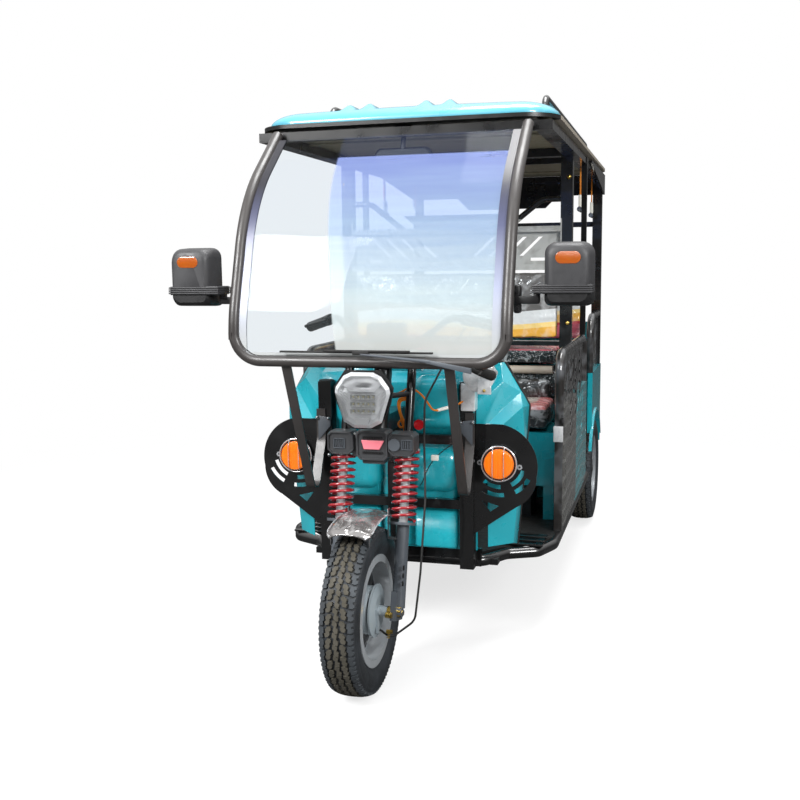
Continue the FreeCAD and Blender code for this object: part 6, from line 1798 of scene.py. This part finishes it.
@dataclass
class ForkTrim:
    """Moulded trim between the fork clamps, with a pod at each side and a framed middle."""

    front: float = -1.060
    back: float = -1.004

    def pod(self, bm: BMesh, x0: float, x1: float, low: float, high: float, cut: float) -> None:
        """Adds one chamfered box with a sunk face and a raised rim.

        Args:
            bm: Mesh that gets it.
            x0: Its lowest X.
            x1: Its highest X.
            low: Its lowest Z.
            high: Its highest Z.
            cut: Size of the corner chamfers.
        """
        shape = [(x0 + cut, low), (x1 - cut, low), (x1, low + cut), (x1, high - cut * 0.7),
                 (x1 - cut * 0.7, high),
                 (x0 + cut * 0.7, high), (x0, high - cut * 0.7), (x0, low + cut)]
        centre = Vector(((x0 + x1) / 2, 0, (low + high) / 2))
        steps = ((1.0, self.back), (1.0, self.front + 0.010), (0.94, self.front), (0.86, self.front),
                 (0.84, self.front + 0.005))
        join_rings(bm, [[(centre.x + (x - centre.x) * share, y, centre.z + (z - centre.z) * share)
                         for x, z in shape]
                        for share, y in steps])

    def louvre(self, bm: BMesh, x: float, z: float, wide: float, tall: float, bars: int) -> None:
        """Adds a framed grille of upright bars.

        Args:
            bm: Mesh that gets it.
            x: Middle of the grille.
            z: Height of its middle.
            wide: Its width.
            tall: Its height.
            bars: Number of upright bars.
        """
        y = self.front + 0.004
        for dx in (-wide / 2, wide / 2):
            block(bm, (x + dx - 0.0012, y - 0.003, z - tall / 2), (x + dx + 0.0012, y + 0.002, z + tall / 2),
                  0.0006, 1)
        for dz in (-tall / 2, tall / 2):
            block(bm, (x - wide / 2, y - 0.003, z + dz - 0.0012), (x + wide / 2, y + 0.002, z + dz + 0.0012),
                  0.0006, 1)
        for i in range(bars):
            bx = x - wide / 2 + wide * (i + 0.7) / (bars + 0.4)
            block(bm, (bx - 0.0013, y - 0.0025, z - tall / 2 + 0.003),
                  (bx + 0.0013, y + 0.002, z + tall / 2 - 0.003), 0.0006, 1)

    def build(self) -> None:
        """Builds the trim and its badge place, which stays bare."""
        bm = bmesh.new()
        self.pod(bm, -0.137, -0.052, 0.692, 0.762, 0.014)
        self.pod(bm, 0.054, 0.137, 0.692, 0.762, 0.014)
        self.pod(bm, -0.046, 0.056, 0.676, 0.768, 0.012)
        block(bm, (-0.062, self.front + 0.012, 0.686), (0.066, self.back, 0.757), 0.004)
        block(bm, (-0.030, self.front + 0.012, 0.664), (0.040, self.back, 0.690), 0.006)
        put("fork_trim_body", bm, Palette.trim_plastic, "fork", ("fork_trim",), sharp=25)
        bm = bmesh.new()
        self.louvre(bm, -0.098, 0.726, 0.034, 0.028, 5)
        self.louvre(bm, 0.113, 0.728, 0.032, 0.028, 4)
        put("fork_trim_grilles", bm, Palette.disc_plastic, "fork")
        bm = bmesh.new()
        rod(bm, (0.0745, self.front - 0.0005, 0.727), (0.0745, self.front + 0.006, 0.727), 0.0185, sides=48)
        put("fork_trim_disc", bm, Palette.disc_plastic, "fork")
        bm = bmesh.new()
        z0, z1, y = 0.7115, 0.7385, self.front - 0.001
        outline_prism(bm, [(-0.0275, y, z1), (0.0435, y, z1), (0.0290, y, z0), (-0.0195, y, z0)],
                      (0, 0.007, 0), 0.0012)
        put("fork_trim_inset", bm, Palette.pink, "fork", sharp=20)
        # Black blocks in place of the vent openings: painted shade for the dark inside them.
        bm = bmesh.new()
        for z in (0.7465, 0.7010):
            for i in range(9):
                x = -0.0215 + i * 0.0072
                block(bm, (x - 0.0022, self.front + 0.001, z - 0.0032),
                      (x + 0.0022, self.front + 0.006, z + 0.0032))
        put("fork_trim_vents", bm, Palette.black_plastic, "fork")


@dataclass
class Mirrors:
    """Both outer mirrors with their arms, and the one inside."""

    front: float = -1.088
    back: float = -0.995
    closer: float = 0.020
    amber: Vector = field(default_factory=lambda: Vector((0.583, -1.088, 1.271)))

    def oval(self, x0: float, x1: float, z0: float, z1: float, cut: Sequence[float],
             y: float) -> list[Vector]:
        """Rounded outline; the cut gives the corner radii from the lower inner one, upwards and round.

        Args:
            x0: Lowest X.
            x1: Highest X.
            z0: Lowest Z.
            z1: Highest Z.
            cut: Radii of the four corners.
            y: Depth of the outline.

        Returns:
            Its points in order.
        """
        points = []
        corners = ((x0, z0, cut[0], 1, 1, 180), (x1, z0, cut[1], -1, 1, 270), (x1, z1, cut[2], -1, -1, 0),
                   (x0, z1, cut[3], 1, -1, 90))
        for x, z, r, sx, sz, start in corners:
            for step in range(7):
                t = math.radians(start + step * 15)
                points.append(Vector((x + sx * r + r * math.cos(t), y, z + sz * r + r * math.sin(t))))
        return points

    def shells(self, side: int) -> None:
        """Builds one mirror: shell, lower cap, ribs, glass, small amber reflector and arm.

        Args:
            side: 1 for the left mirror and -1 for the right one.
        """
        name = "left" if side > 0 else "right"
        upper, lower, glass, ribs, arm, amber = (bmesh.new() for _ in range(6))
        steps = ((0.0, self.back), (0.0, self.back - 0.020), (0.003, self.front + 0.022),
                 (0.009, self.front + 0.008), (0.017, self.front + 0.001), (0.028, self.front))
        join_rings(upper, [self.oval(0.514 + d, 0.649 - d, 1.192, 1.315 - d, (0.004, 0.004, 0.036, 0.030), y)
                           for d, y in steps])
        join_rings(lower, [self.oval(0.514 + d * 0.8, 0.650 - d * 0.8, 1.136 + d * 0.8, 1.182,
                                     (0.018, 0.024, 0.004, 0.004), y + 0.004)
                           for d, y in steps[:5]])
        for i in range(4):
            z = 1.177 + i * 0.0056
            block(ribs, (0.484, self.front - 0.0015 + 0.001 * (i == 3), z - 0.0021),
                  (0.6495, self.back - 0.004, z + 0.0021), 0.0009, 2)
        block(ribs, (0.488, self.front + 0.004, 1.172), (0.647, self.back - 0.006, 1.198), 0.002)
        join_rings(glass, [self.oval(0.524, 0.640, 1.146, 1.306, (0.016, 0.02, 0.03, 0.026), y)
                           for y in (self.back - 0.001, self.back + 0.0015)])
        centre = self.amber
        join_rings(amber, [self.oval(centre.x - w, centre.x + w, centre.z - h, centre.z + h,
                                     (h - 1e-4,) * 4, y)
                           for w, h, y in ((0.0345, 0.0165, self.front + 0.004),
                                           (0.0345, 0.0165, self.front - 0.001),
                                           (0.0315, 0.0135, self.front - 0.002))])
        slim = ((0.430, -1.052, 1.143), (0.500, -1.034, 1.165))
        block(arm, slim[0], slim[1], 0.003, 2)
        block(arm, (0.484, -1.050, 1.146), (0.500, -1.022, 1.180), 0.004, 2)
        block(arm, (0.427, -1.046, 1.116), (0.446, -1.010, 1.196), 0.006, 3)
        for z in (1.130, 1.181):
            rod(arm, (0.4365, -1.052, z), (0.4365, -1.042, z), 0.0065, sides=6)
        pieces = (("mirror_shell_", upper, Palette.mirror_plastic, "mirror_plastic"),
                  ("mirror_cap_", lower, Palette.black_plastic, "black_plastic"),
                  ("mirror_ribs_", ribs, Palette.mirror_plastic, "mirror_plastic"),
                  ("mirror_arm_", arm, Palette.black_plastic, "black_plastic"),
                  ("mirror_glass_", glass, Palette.mirror_glass, "mirror_plastic"),
                  ("mirror_reflector_", amber, Palette.amber_mirror, "amber_lens"))
        for part, bm, finish, slot in pieces:
            bmesh.ops.scale(bm, vec=(side, 1, 1), verts=bm.verts)
            outer = [v for v in bm.verts if v.co.x < -0.470]
            bmesh.ops.translate(bm, vec=(self.closer, 0, 0), verts=outer)
            put(part + name, bm, finish, "chassis",
                ("mirrors",) if part == "mirror_shell_" and side > 0 else ())

    def inner(self) -> None:
        """Builds the mirror under the roof."""
        bm, glass = bmesh.new(), bmesh.new()
        join_rings(bm, [self.oval(-0.095 + d, 0.095 - d, 1.578 + d, 1.634 - d, (0.022,) * 4, y)
                       for d, y in ((0.0, -0.642), (0.0, -0.656), (0.006, -0.664))])
        rod(bm, (0.0, -0.656, 1.628), (0.0, -0.640, 1.704), 0.008)
        block(bm, (-0.030, -0.655, 1.686), (0.030, -0.620, 1.7035), 0.006)
        put("inner_mirror", bm, Palette.black_plastic, "chassis")
        join_rings(glass, [self.oval(-0.088, 0.088, 1.584, 1.628, (0.019,) * 4, y)
                           for y in (-0.6425, -0.6400)])
        put("inner_mirror_glass", glass, Palette.mirror_glass, "chassis")

    def build(self) -> None:
        """Builds all three mirrors."""
        for side in (-1, 1):
            self.shells(side)
        self.inner()


@dataclass
class Wiper:
    """Wiper with its blade, arm, rubber boot and motor in silver film."""

    pivot: Vector = field(default_factory=lambda: Vector((0.336, -1.020, 0.948)))

    def build(self) -> None:
        """Builds the wiper in place of its CAD node."""
        bm = bmesh.new()
        block(bm, (-0.258, -1.118, 1.0030), (0.208, -1.106, 1.0085), 0.001)
        block(bm, (-0.120, -1.122, 1.0070), (0.140, -1.106, 1.0125), 0.0015)
        block(bm, (-0.030, -1.124, 0.9985), (0.020, -1.110, 1.0110), 0.002)
        rod(bm, (0.334, -1.090, 0.9560), (0.356, -1.000, 0.9330), 0.0125, 0.0155, sides=28)
        rod(bm, (0.314, -1.100, 0.9660), (0.338, -1.078, 0.9520), 0.0105, 0.0125, sides=28)
        put("wiper_blade_and_boot", bm, Palette.rubber, "chassis", ("wiper",), sharp=40)
        bm = bmesh.new()
        rod(bm, (-0.005, -1.122, 1.0010), (0.205, -1.128, 0.9830), 0.0030, 0.0050, sides=10)
        outline_prism(bm, [(0.190, -1.132, 0.9890), (0.322, -1.132, 0.9660), (0.322, -1.132, 0.9500),
                           (0.190, -1.132, 0.9790)], (0, 0.012, 0), 0.002)
        put("wiper_arm", bm, Palette.disc_plastic, "chassis")
        bm = bmesh.new()
        rod(bm, (0.290, -0.860, 0.915), (0.290, -0.800, 0.915), 0.050, 0.046, sides=48)
        rod(bm, (0.290, -0.868, 0.915), (0.290, -0.860, 0.915), 0.040, 0.050, sides=48)
        rod(bm, (0.345, -0.900, 0.930), (0.345, -0.990, 0.945), 0.012, sides=20)
        block(bm, (0.2885, -0.872, 0.8600), (0.3310, -0.868, 0.9080), 0.0015)
        put("wiper_motor", bm, Palette.silver_film, "chassis", sharp=50)
        bm = bmesh.new()
        ball(bm, (0.3095, -0.8735, 0.8715), 0.0050, 8)
        put("wiper_motor_screw", bm, Palette.zinc, "chassis")


@dataclass
class Roof:
    """Moulded roof with rounded edges and two pairs of ridges, lined underneath."""

    edge: float = 0.105
    rise: float = 0.046
    corner: float = 0.13
    ridges: tuple[float, ...] = (-0.205, -0.135, 0.060, 0.140)

    def height(self, x: float, y: float, low: Vector, high: Vector) -> float:
        """Height of the skin over its rim at a place.

        Args:
            x: Place across the roof.
            y: Place along the roof.
            low: Lowest corner of the roof.
            high: Highest corner of the roof.

        Returns:
            The height.
        """
        half = (high - low) / 2
        middle = (high + low) / 2
        dx = abs(x - middle.x) - (half.x - self.corner)
        dy = abs(y - middle.y) - (half.y - self.corner)
        outside = math.hypot(max(dx, 0.0), max(dy, 0.0)) + min(max(dx, dy), 0.0)
        inward = min(1.0, max(0.0, (self.corner - outside) / self.edge))
        crown = self.rise * math.sqrt(max(0.0, 1.0 - (1.0 - inward) ** 2.2))
        crown += 0.010 * (1.0 - (x / half.x) ** 2) * inward
        start = (min(1.0, max(0.0, (y - low.y - 0.035) / 0.05))
                 * min(1.0, max(0.0, (high.y - 0.12 - y) / 0.08)))
        for ridge in self.ridges:
            crown += 0.0175 * start * math.exp(-((x - ridge) / 0.017) ** 2) * inward
        return crown

    def build(self) -> None:
        """Builds the skin and the lining."""
        low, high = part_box("roof_panel")
        low = low + Vector((0.010, 0.010, 0))
        high = high - Vector((0.010, 0.010, 0))
        middle, half = (low + high) / 2, (high - low) / 2
        bm = bmesh.new()
        size = Matrix.Translation((middle.x, middle.y, low.z)) @ Matrix.Diagonal((half.x, half.y, 1, 1))
        bmesh.ops.create_grid(bm, x_segments=180, y_segments=150, size=1.0, matrix=size)
        inner_x, inner_y = half.x - self.corner, half.y - self.corner
        for vert in bm.verts:
            dx, dy = abs(vert.co.x - middle.x) - inner_x, abs(vert.co.y - middle.y) - inner_y
            if dx > 0 and dy > 0:
                reach = math.hypot(dx, dy)
                pull = max(dx, dy) / reach
                vert.co.x = middle.x + math.copysign(inner_x + dx * pull, vert.co.x - middle.x)
                vert.co.y = middle.y + math.copysign(inner_y + dy * pull, vert.co.y - middle.y)
        for vert in bm.verts:
            vert.co.z = low.z + 0.001 + self.height(vert.co.x, vert.co.y, low, high)
        made = put("roof_skin", bm, Palette.roof_teal, "chassis", ("roof_panel",), sharp=180)
        thicken(made, 0.004)
        bm = bmesh.new()
        block(bm, (-0.478, -0.640, 1.6980), (0.478, 1.345, 1.7095), 0.001)
        for y in (-0.35, 0.12, 0.60, 1.08):
            block(bm, (-0.470, y - 0.018, 1.6900), (0.470, y + 0.018, 1.6990), 0.004)
        put("roof_lining", bm, Palette.headliner, "chassis")
        self.trim()

    def outline(self, low: Vector, high: Vector, z: float) -> list[Vector]:
        """Rounded outline of the roof's edge at a height, as points on straight runs and arcs.

        Args:
            low: Lowest corner of the roof.
            high: Highest corner of the roof.
            z: Height of the outline.

        Returns:
            Its points in order.
        """
        points = []
        r = self.corner
        for sx, sy, start in ((1, -1, 270), (1, 1, 0), (-1, 1, 90), (-1, -1, 180)):
            cx = (high.x if sx > 0 else low.x) - sx * r
            cy = (high.y if sy > 0 else low.y) - sy * r
            for step in range(10):
                t = math.radians(start + step * 10)
                points.append(Vector((cx + r * math.cos(t), cy + r * math.sin(t), z)))
        return points

    def trim(self) -> None:
        """Thin edging round the roof: an outer lip with a turned-in flange."""
        low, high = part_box("roof_trim")
        low.y += 0.018
        low.x += 0.004
        high.x -= 0.004
        bm = bmesh.new()
        inset = Vector((0.045, 0.045, 0))
        rings = [self.outline(low + inset, high - inset, 1.7000), self.outline(low, high, 1.7060),
                 self.outline(low, high, 1.7185), self.outline(low + inset * 0.5, high - inset * 0.5, 1.7195)]
        join_rings(bm, rings, first=False, last=False, around=True)
        put("roof_edging", bm, Palette.roof_edge, "chassis", ("roof_trim",), sharp=30)


@dataclass
class Mudguard:
    """Bright front mudguard with an arched section, rolled edges, stays and its wrapping film."""

    centre: Vector = field(default_factory=lambda: Vector((0.0, -1.1565, 0.249)))
    front: float = -27.5
    back: float = 27.0

    def radius(self, angle: float) -> float:
        """Distance from the wheel's axis at an angle from the top."""
        return 0.2955 + 0.0045 * abs(angle / 27.0) ** 1.5

    def half(self, angle: float) -> float:
        """Half-width at an angle; the front end is rounded."""
        share = (angle - self.front) / (self.back - self.front)
        return (0.068 - 0.006 * share) * (1.0 - 0.22 * max(0.0, 1.0 - share / 0.08) ** 2)

    def build(self) -> None:
        """Builds the sheet and its stays."""
        bm = bmesh.new()
        bmesh.ops.create_grid(bm, x_segments=60, y_segments=80, size=1.0)
        for vert in bm.verts:
            across, along = vert.co.x, (vert.co.y + 1) / 2
            angle = self.front + (self.back - self.front) * along
            fold = noise.ridged_multi_fractal(Vector((across * 2.6, along * 6.0, 3.0)), 1.0, 2.0, 3, 0.9, 2.0)
            drop = 0.017 * abs(across) ** 3.2 + 0.006 * max(0.0, 1.0 - along / 0.06)
            r = self.radius(angle) - drop + 0.0022 * (fold - 1.2)
            turn = math.radians(angle)
            vert.co = self.centre + Vector((across * self.half(angle), r * math.sin(turn),
                                            r * math.cos(turn)))
        made = put("mudguard_sheet", bm, Palette.chrome_film, "fork", ("front_mudguard",),
                   sharp=180)
        thicken(made, 0.0022)
        for side, name in ((-1, "right"), (1, "left")):
            line = []
            for i in range(12):
                angle = self.front + (self.back - self.front) * i / 11
                r = self.radius(angle) - 0.0175
                turn = math.radians(angle)
                line.append(self.centre + Vector((side * self.half(angle), r * math.sin(turn),
                                                  r * math.cos(turn))))
            wire("mudguard_hem_" + name, line, 0.0022, Palette.chrome, "fork")
        bm = bmesh.new()
        for side in (-1, 1):
            block(bm, (side * 0.0605, -1.092, 0.452), (side * 0.0635, -1.072, 0.540), 0.001)
            block(bm, (side * 0.0605, -1.092, 0.449), (side * 0.088, -1.072, 0.452), 0.001)
            block(bm, (side * 0.0560, -1.262, 0.470), (side * 0.0590, -1.246, 0.515), 0.001)
        put("mudguard_stays", bm, Palette.bright_zinc, "fork")


@dataclass
class FrontHub:
    """Bright rim lines of all wheels, with the front drum, axle nut, lever fittings and the fork legs' slots
    as black blocks of painted shade.
    """

    centre: Vector = field(default_factory=lambda: Vector((0.0, -1.1565, 0.249)))

    def build(self) -> None:
        """Builds what turns with the wheel and what stays on the fork."""
        c = self.centre
        for name, node, body in (("front", "front_rim", "front_wheel"),
                                 ("rear_l", "rear_rim_left", "rear_wheel_left"),
                                 ("rear_r", "rear_rim_right", "rear_wheel_right")):
            low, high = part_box(node)
            mid = (low + high) / 2
            radius = (high.z - low.z) / 2
            bm = bmesh.new()
            for side in (-1, 1):
                x = mid.x + side * ((high.x - low.x) / 2 - 0.0015)
                profile = [(x, mid.y, mid.z + radius - 0.0045),
                           (x + side * 0.0012, mid.y, mid.z + radius - 0.002),
                           (x, mid.y, mid.z + radius - 0.0003),
                           (x - side * 0.003, mid.y, mid.z + radius - 0.002)]
                lathe(bm, profile, mid, (1, 0, 0), steps=96, closed=True)
            put("rim_flange_line_" + name, bm, Palette.polished, body)
        low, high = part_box("brake_plate")
        bm = bmesh.new()
        end = low.x - 0.006
        profile = [(-0.030, c.y, c.z), (-0.030, c.y, c.z + 0.070), (end - 0.006, c.y, c.z + 0.0715),
                   (end, c.y, c.z + 0.0685), (end, c.y, c.z + 0.030), (end, c.y, c.z)]
        lathe(bm, profile, c, (1, 0, 0), steps=72)
        put("brake_drum", bm, Palette.drum, "front_wheel", sharp=30)
        bm = bmesh.new()
        rod(bm, (0.1085, c.y, c.z), (0.1185, c.y, c.z), 0.0155, sides=6)
        ball(bm, (0.1165, c.y, c.z), 0.0105, 12)
        rod(bm, (0.1065, c.y, c.z), (0.1088, c.y, c.z), 0.0185, sides=32)
        put("axle_nut", bm, Palette.zinc, "fork", sharp=30)
        bm = bmesh.new()
        tip = Vector((0.0870, -1.178, 0.196))
        for drop in range(5):
            spot = tip + Vector((0.0, -0.003 * drop, -0.0046 * drop))
            lathe(bm, [spot + Vector((0.0, 0.0058, 0.0)), spot + Vector((0.0, 0.0074, 0.0012)),
                       spot + Vector((0.0, 0.0058, 0.0024)), spot + Vector((0.0, 0.0044, 0.0012))], spot,
                       (0, 0.5, 0.85),
                  steps=16, closed=True)
        rod(bm, tip + Vector((-0.008, 0, 0)), tip + Vector((0.010, 0, 0)), 0.0062, sides=6)
        rod(bm, (0.0800, -1.1565 - 0.031, 0.249), (0.0990, -1.1565 - 0.031, 0.249), 0.0090, sides=6)
        put("brake_lever_fittings", bm, Palette.zinc, "fork")
        # Black blocks in place of the leg slots: painted shade for the dark inside them.
        bm = bmesh.new()
        for side in (-1, 1):
            for z in (0.330, 0.352, 0.374):
                block(bm, (side * 0.1160, -1.136 + (z - 0.33) * 0.27 - 0.004, z - 0.007),
                      (side * 0.1204, -1.136 + (z - 0.33) * 0.27 + 0.004, z + 0.007), 0.001)
        put("fork_leg_slots", bm, Palette.black_plastic, "fork")


@dataclass
class Fittings:
    """Sleeves, bolts, wires, boards, slots, steps, knobs, handles and the bare number plate."""

    def front(self) -> None:
        """Film sleeve, gussets and bolts of the front posts."""
        bm = bmesh.new()
        block(bm, (0.2195, -0.7985, 0.795), (0.2655, -0.7475, 0.884), 0.004, 3)
        put("post_sleeve", bm, Palette.silver_film, "chassis")
        bm = bmesh.new()
        for side in (-1, 1):
            outline_prism(bm, [(side * 0.216, -0.8045, 0.762), (side * 0.259, -0.8045, 0.768),
                               (side * 0.259, -0.8045, 0.684), (side * 0.217, -0.8045, 0.735)],
                               (0, 0.0045, 0), 0.001)
        put("post_gussets", bm, Palette.disc_plastic, "chassis")
        bm = bmesh.new()
        for side in (-1, 1):
            for x, z in ((0.2225, 0.7602), (0.2615, 0.7621), (0.2224, 0.6393), (0.2615, 0.6381)):
                rod(bm, (side * x, -0.8035, z), (side * x, -0.8105, z), 0.0058, sides=6)
                ball(bm, (side * x, -0.8110, z), 0.0036, 6)
        put("post_bolts", bm, Palette.bright_zinc, "chassis")
        bm = bmesh.new()
        for side in (-1, 1):
            rod(bm, (side * 0.2375, -0.773, 0.878), (side * 0.2375, -0.773, 0.884), 0.025, sides=24)
        put("post_caps", bm, Palette.rubber, "chassis")

    def wires(self) -> None:
        """Loose wiring beside the headlight."""
        wire("wire_orange_long", [(0.0260, -0.936, 0.866), (0.046, -0.941, 0.864), (0.066, -0.943, 0.870),
                                  (0.086, -0.940, 0.884), (0.108, -0.935, 0.879),
                                  (0.132, -0.925, 0.856), (0.146, -0.900, 0.822), (0.152, -0.880, 0.806),
                                  (0.168, -0.860, 0.806)], 0.0030, Palette.orange_wire, "chassis")
        wire("wire_orange_loop", [(0.088, -0.960, 0.851), (0.068, -0.953, 0.849), (0.061, -0.952, 0.832),
                                  (0.068, -0.955, 0.800), (0.082, -0.955, 0.772),
                                  (0.066, -0.955, 0.760), (0.056, -0.955, 0.775), (0.074, -0.955, 0.792),
                                  (0.090, -0.950, 0.765), (0.094, -0.942, 0.742), (0.094, -0.9455, 0.7205)],
             0.0036, Palette.orange_wire, "fork")
        wire("wire_orange_short", [(0.088, -0.958, 0.857), (0.066, -0.952, 0.856), (0.056, -0.951, 0.838),
                                   (0.062, -0.953, 0.812), (0.072, -0.955, 0.778), (0.080, -0.952, 0.745),
                                   (0.080, -0.955, 0.7230)], 0.0034, Palette.orange_wire, "fork")
        wire("wire_orange_end", [(0.203, -0.836, 0.816), (0.214, -0.822, 0.819), (0.226, -0.797, 0.826)],
             0.0030,
             Palette.orange_wire, "chassis")
        wire("wire_black_pair", [(0.084, -0.7915, 0.548), (0.100, -0.822, 0.566), (0.118, -0.838, 0.610),
                                 (0.145, -0.830, 0.652), (0.190, -0.812, 0.688), (0.218, -0.803, 0.700),
                                 (0.2235, -0.798, 0.7020)], 0.0016, Palette.black_wire, "chassis")
        bm = bmesh.new()
        rod(bm, (0.160, -0.866, 0.806), (0.205, -0.835, 0.816), 0.0050, 0.0058, sides=20)
        block(bm, (0.132, -0.842, 0.640), (0.156, -0.828, 0.658), 0.003)
        put("wire_connectors", bm, Palette.white_nylon, "chassis")

    def inside(self) -> None:
        """Vinyl boards and sleeved tube behind the driver's cushion."""
        bm = bmesh.new()
        block(bm, (-0.415, 0.0935, 0.722), (0.415, 0.0965, 0.823), 0.001)
        block(bm, (-0.400, 0.1595, 0.700), (0.400, 0.1625, 0.850), 0.001)
        block(bm, (-0.412, 0.0790, 0.868), (0.412, 0.0815, 0.915), 0.001)
        put("seat_back_boards", bm, Palette.dark_film, "chassis")
        bm = bmesh.new()
        rod(bm, (-0.400, 0.086, 0.838), (0.400, 0.086, 0.838), 0.0165, sides=28)
        put("seat_tube_sleeve", bm, Palette.seat_tube, "chassis")

    def side(self) -> None:
        """Slots of the side sheets as black blocks, painted shade for the dark seen through them; step slats,
        knobs and guard bracket.
        """
        # Black blocks in place of the slots: painted shade where the openings show the dark inside.
        bm = bmesh.new()
        for side in (-1, 1):
            for column, y in enumerate((-0.06, 0.10, 0.26)):
                for i in range(6 - column):
                    z = 0.845 - i * 0.042 + column * 0.02
                    place = (Matrix.Translation((side * 0.4915, y, z)) @ Matrix.Rotation(math.radians(32), 4,
                                                                                         "X")
                             @ Matrix.Diagonal((0.004, 0.085, 0.014, 1)))
                    bmesh.ops.create_cube(bm, size=1.0, matrix=place)
        put("side_sheet_slots", bm, Palette.black_plastic, "chassis")
        bm = bmesh.new()
        for i in range(3):
            y = -0.548 + i * 0.052
            for side in (-1, 1):
                block(bm, (side * 0.300, y - 0.017, 0.3005), (side * 0.452, y + 0.017, 0.3085), 0.003)
        put("step_slats", bm, Palette.black_steel, "chassis")
        bm = bmesh.new()
        for side in (-1, 1):
            block(bm, (side * 0.459, -0.3600, 0.628), (side * 0.4935, -0.3520, 0.685), 0.003)
        put("guard_brackets", bm, Palette.silver_film, "chassis")
        bm = bmesh.new()
        for z in (1.5855, 1.0240):
            for side in (-1, 1):
                ball(bm, (side * 0.456, 0.0870, z), 0.0085, 8)
        put("post_knobs", bm, Palette.zinc, "chassis")

    def handles(self) -> None:
        """White square handles at the ends of the hand straps."""
        bm = bmesh.new()
        for low, high in solid_boxes("hand_straps"):
            x, y = (low.x + high.x) / 2, (low.y + high.y) / 2
            for dy in (-0.021, 0.021):
                block(bm, (x - 0.006, y + dy - 0.005, 1.482), (x + 0.006, y + dy + 0.005, 1.552), 0.002)
            for z in (1.487, 1.547):
                block(bm, (x - 0.0055, y - 0.022, z - 0.005), (x + 0.0055, y + 0.022, z + 0.005), 0.002)
        put("strap_handles", bm, Palette.white_nylon, "chassis")

    def rear(self) -> None:
        """The bare number plate with its screws."""
        bm = bmesh.new()
        block(bm, (-0.170, 1.3535, 0.425), (0.170, 1.3560, 0.525), 0.001)
        put("number_plate_blank", bm, Palette.plate_white, "chassis")
        bm = bmesh.new()
        for x in (-0.1, 0.1):
            rod(bm, (x, 1.3555, 0.475), (x, 1.3600, 0.475), 0.006, sides=6)
        put("number_plate_screws", bm, Palette.bright_zinc, "chassis")

    def build(self) -> None:
        """Builds all of them."""
        self.front()
        self.wires()
        self.inside()
        self.side()
        self.handles()
        self.rear()


# Finishes of the CAD nodes


class Dresser:
    """Gives every shown CAD node its finish."""

    by_node: dict[str, Finish] = {
        "chassis_frame": Palette.black_steel, "floor_pan": Palette.floor_mat, "front_cowl": Palette.teal,
        "ear_plates": Palette.black_steel, "indicator_lamps": Palette.amber,
        "windscreen_frame": Palette.brown_steel,
        "windscreen_glass": Palette.glass, "wiper": Palette.black_plastic, "mirrors": Palette.mirror_plastic,
        "seat_boxes": Palette.teal, "driver_cushions": Palette.plain_seat,
        "passenger_cushions": Palette.plain_seat,
        "battery_pack": Palette.battery, "cabin_frame": Palette.cabin, "side_panels": Palette.side,
        "side_guards": Palette.steel_film, "rear_quarters": Palette.teal, "rear_panel": Palette.teal,
        "tail_lamps": Palette.red, "rear_hood": Palette.black_steel, "roof_panel": Palette.roof_teal,
        "roof_trim": Palette.roof_edge, "roof_rack": Palette.black_steel, "hand_straps": Palette.straps,
        "rear_axle": Palette.iron, "leaf_springs": Palette.black_steel, "drive_motor": Palette.iron,
        "rear_bumper": Palette.black_steel, "fork_legs": Palette.fork_grey, "brake_plate": Palette.brake,
        "brake_cable": Palette.rubber, "fork_springs": Palette.spring_red, "fork_yoke": Palette.stem,
        "handlebar": Palette.black_steel, "instrument_pod": Palette.gloss_plastic,
        "headlight_housing": Palette.black_plastic, "headlight_lens": Palette.lens,
        "fork_trim": Palette.trim_plastic,
        "front_mudguard": Palette.chrome_film, "front_rim": Palette.front_rim,
        "rear_rim_left": Palette.rear_rim,
        "rear_rim_right": Palette.rear_rim, "front_tyre": Palette.sidewall,
        "rear_tyre_left": Palette.sidewall,
        "rear_tyre_right": Palette.sidewall,
    }

    def build(self) -> None:
        """Assigns the finishes to the nodes' material slots."""
        for name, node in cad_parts.items():
            for slot in node.material_slots:
                slot.material = self.by_node[name].material()


def main() -> None:
    """Builds the scene in order."""
    logging.basicConfig(level=logging.INFO, format="%(name)s: %(message)s")
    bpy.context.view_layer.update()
    Studio().build()
    Dresser().build()
    for name, body, node in (("front_tyre", "front_wheel", "front_tyre"),
                             ("rear_tyre_l", "rear_wheel_left", "rear_tyre_left"),
                             ("rear_tyre_r", "rear_wheel_right", "rear_tyre_right")):
        TreadedTyre(name, body, node).build()
    Seats().build()
    Headlight().build()
    for side in (-1, 1):
        EarLamp(side).build()
    Cowl().build()
    ForkTrim().build()
    Mirrors().build()
    Wiper().build()
    Roof().build()
    Mudguard().build()
    FrontHub().build()
    Fittings().build()


if __name__ == "__main__":
    main()
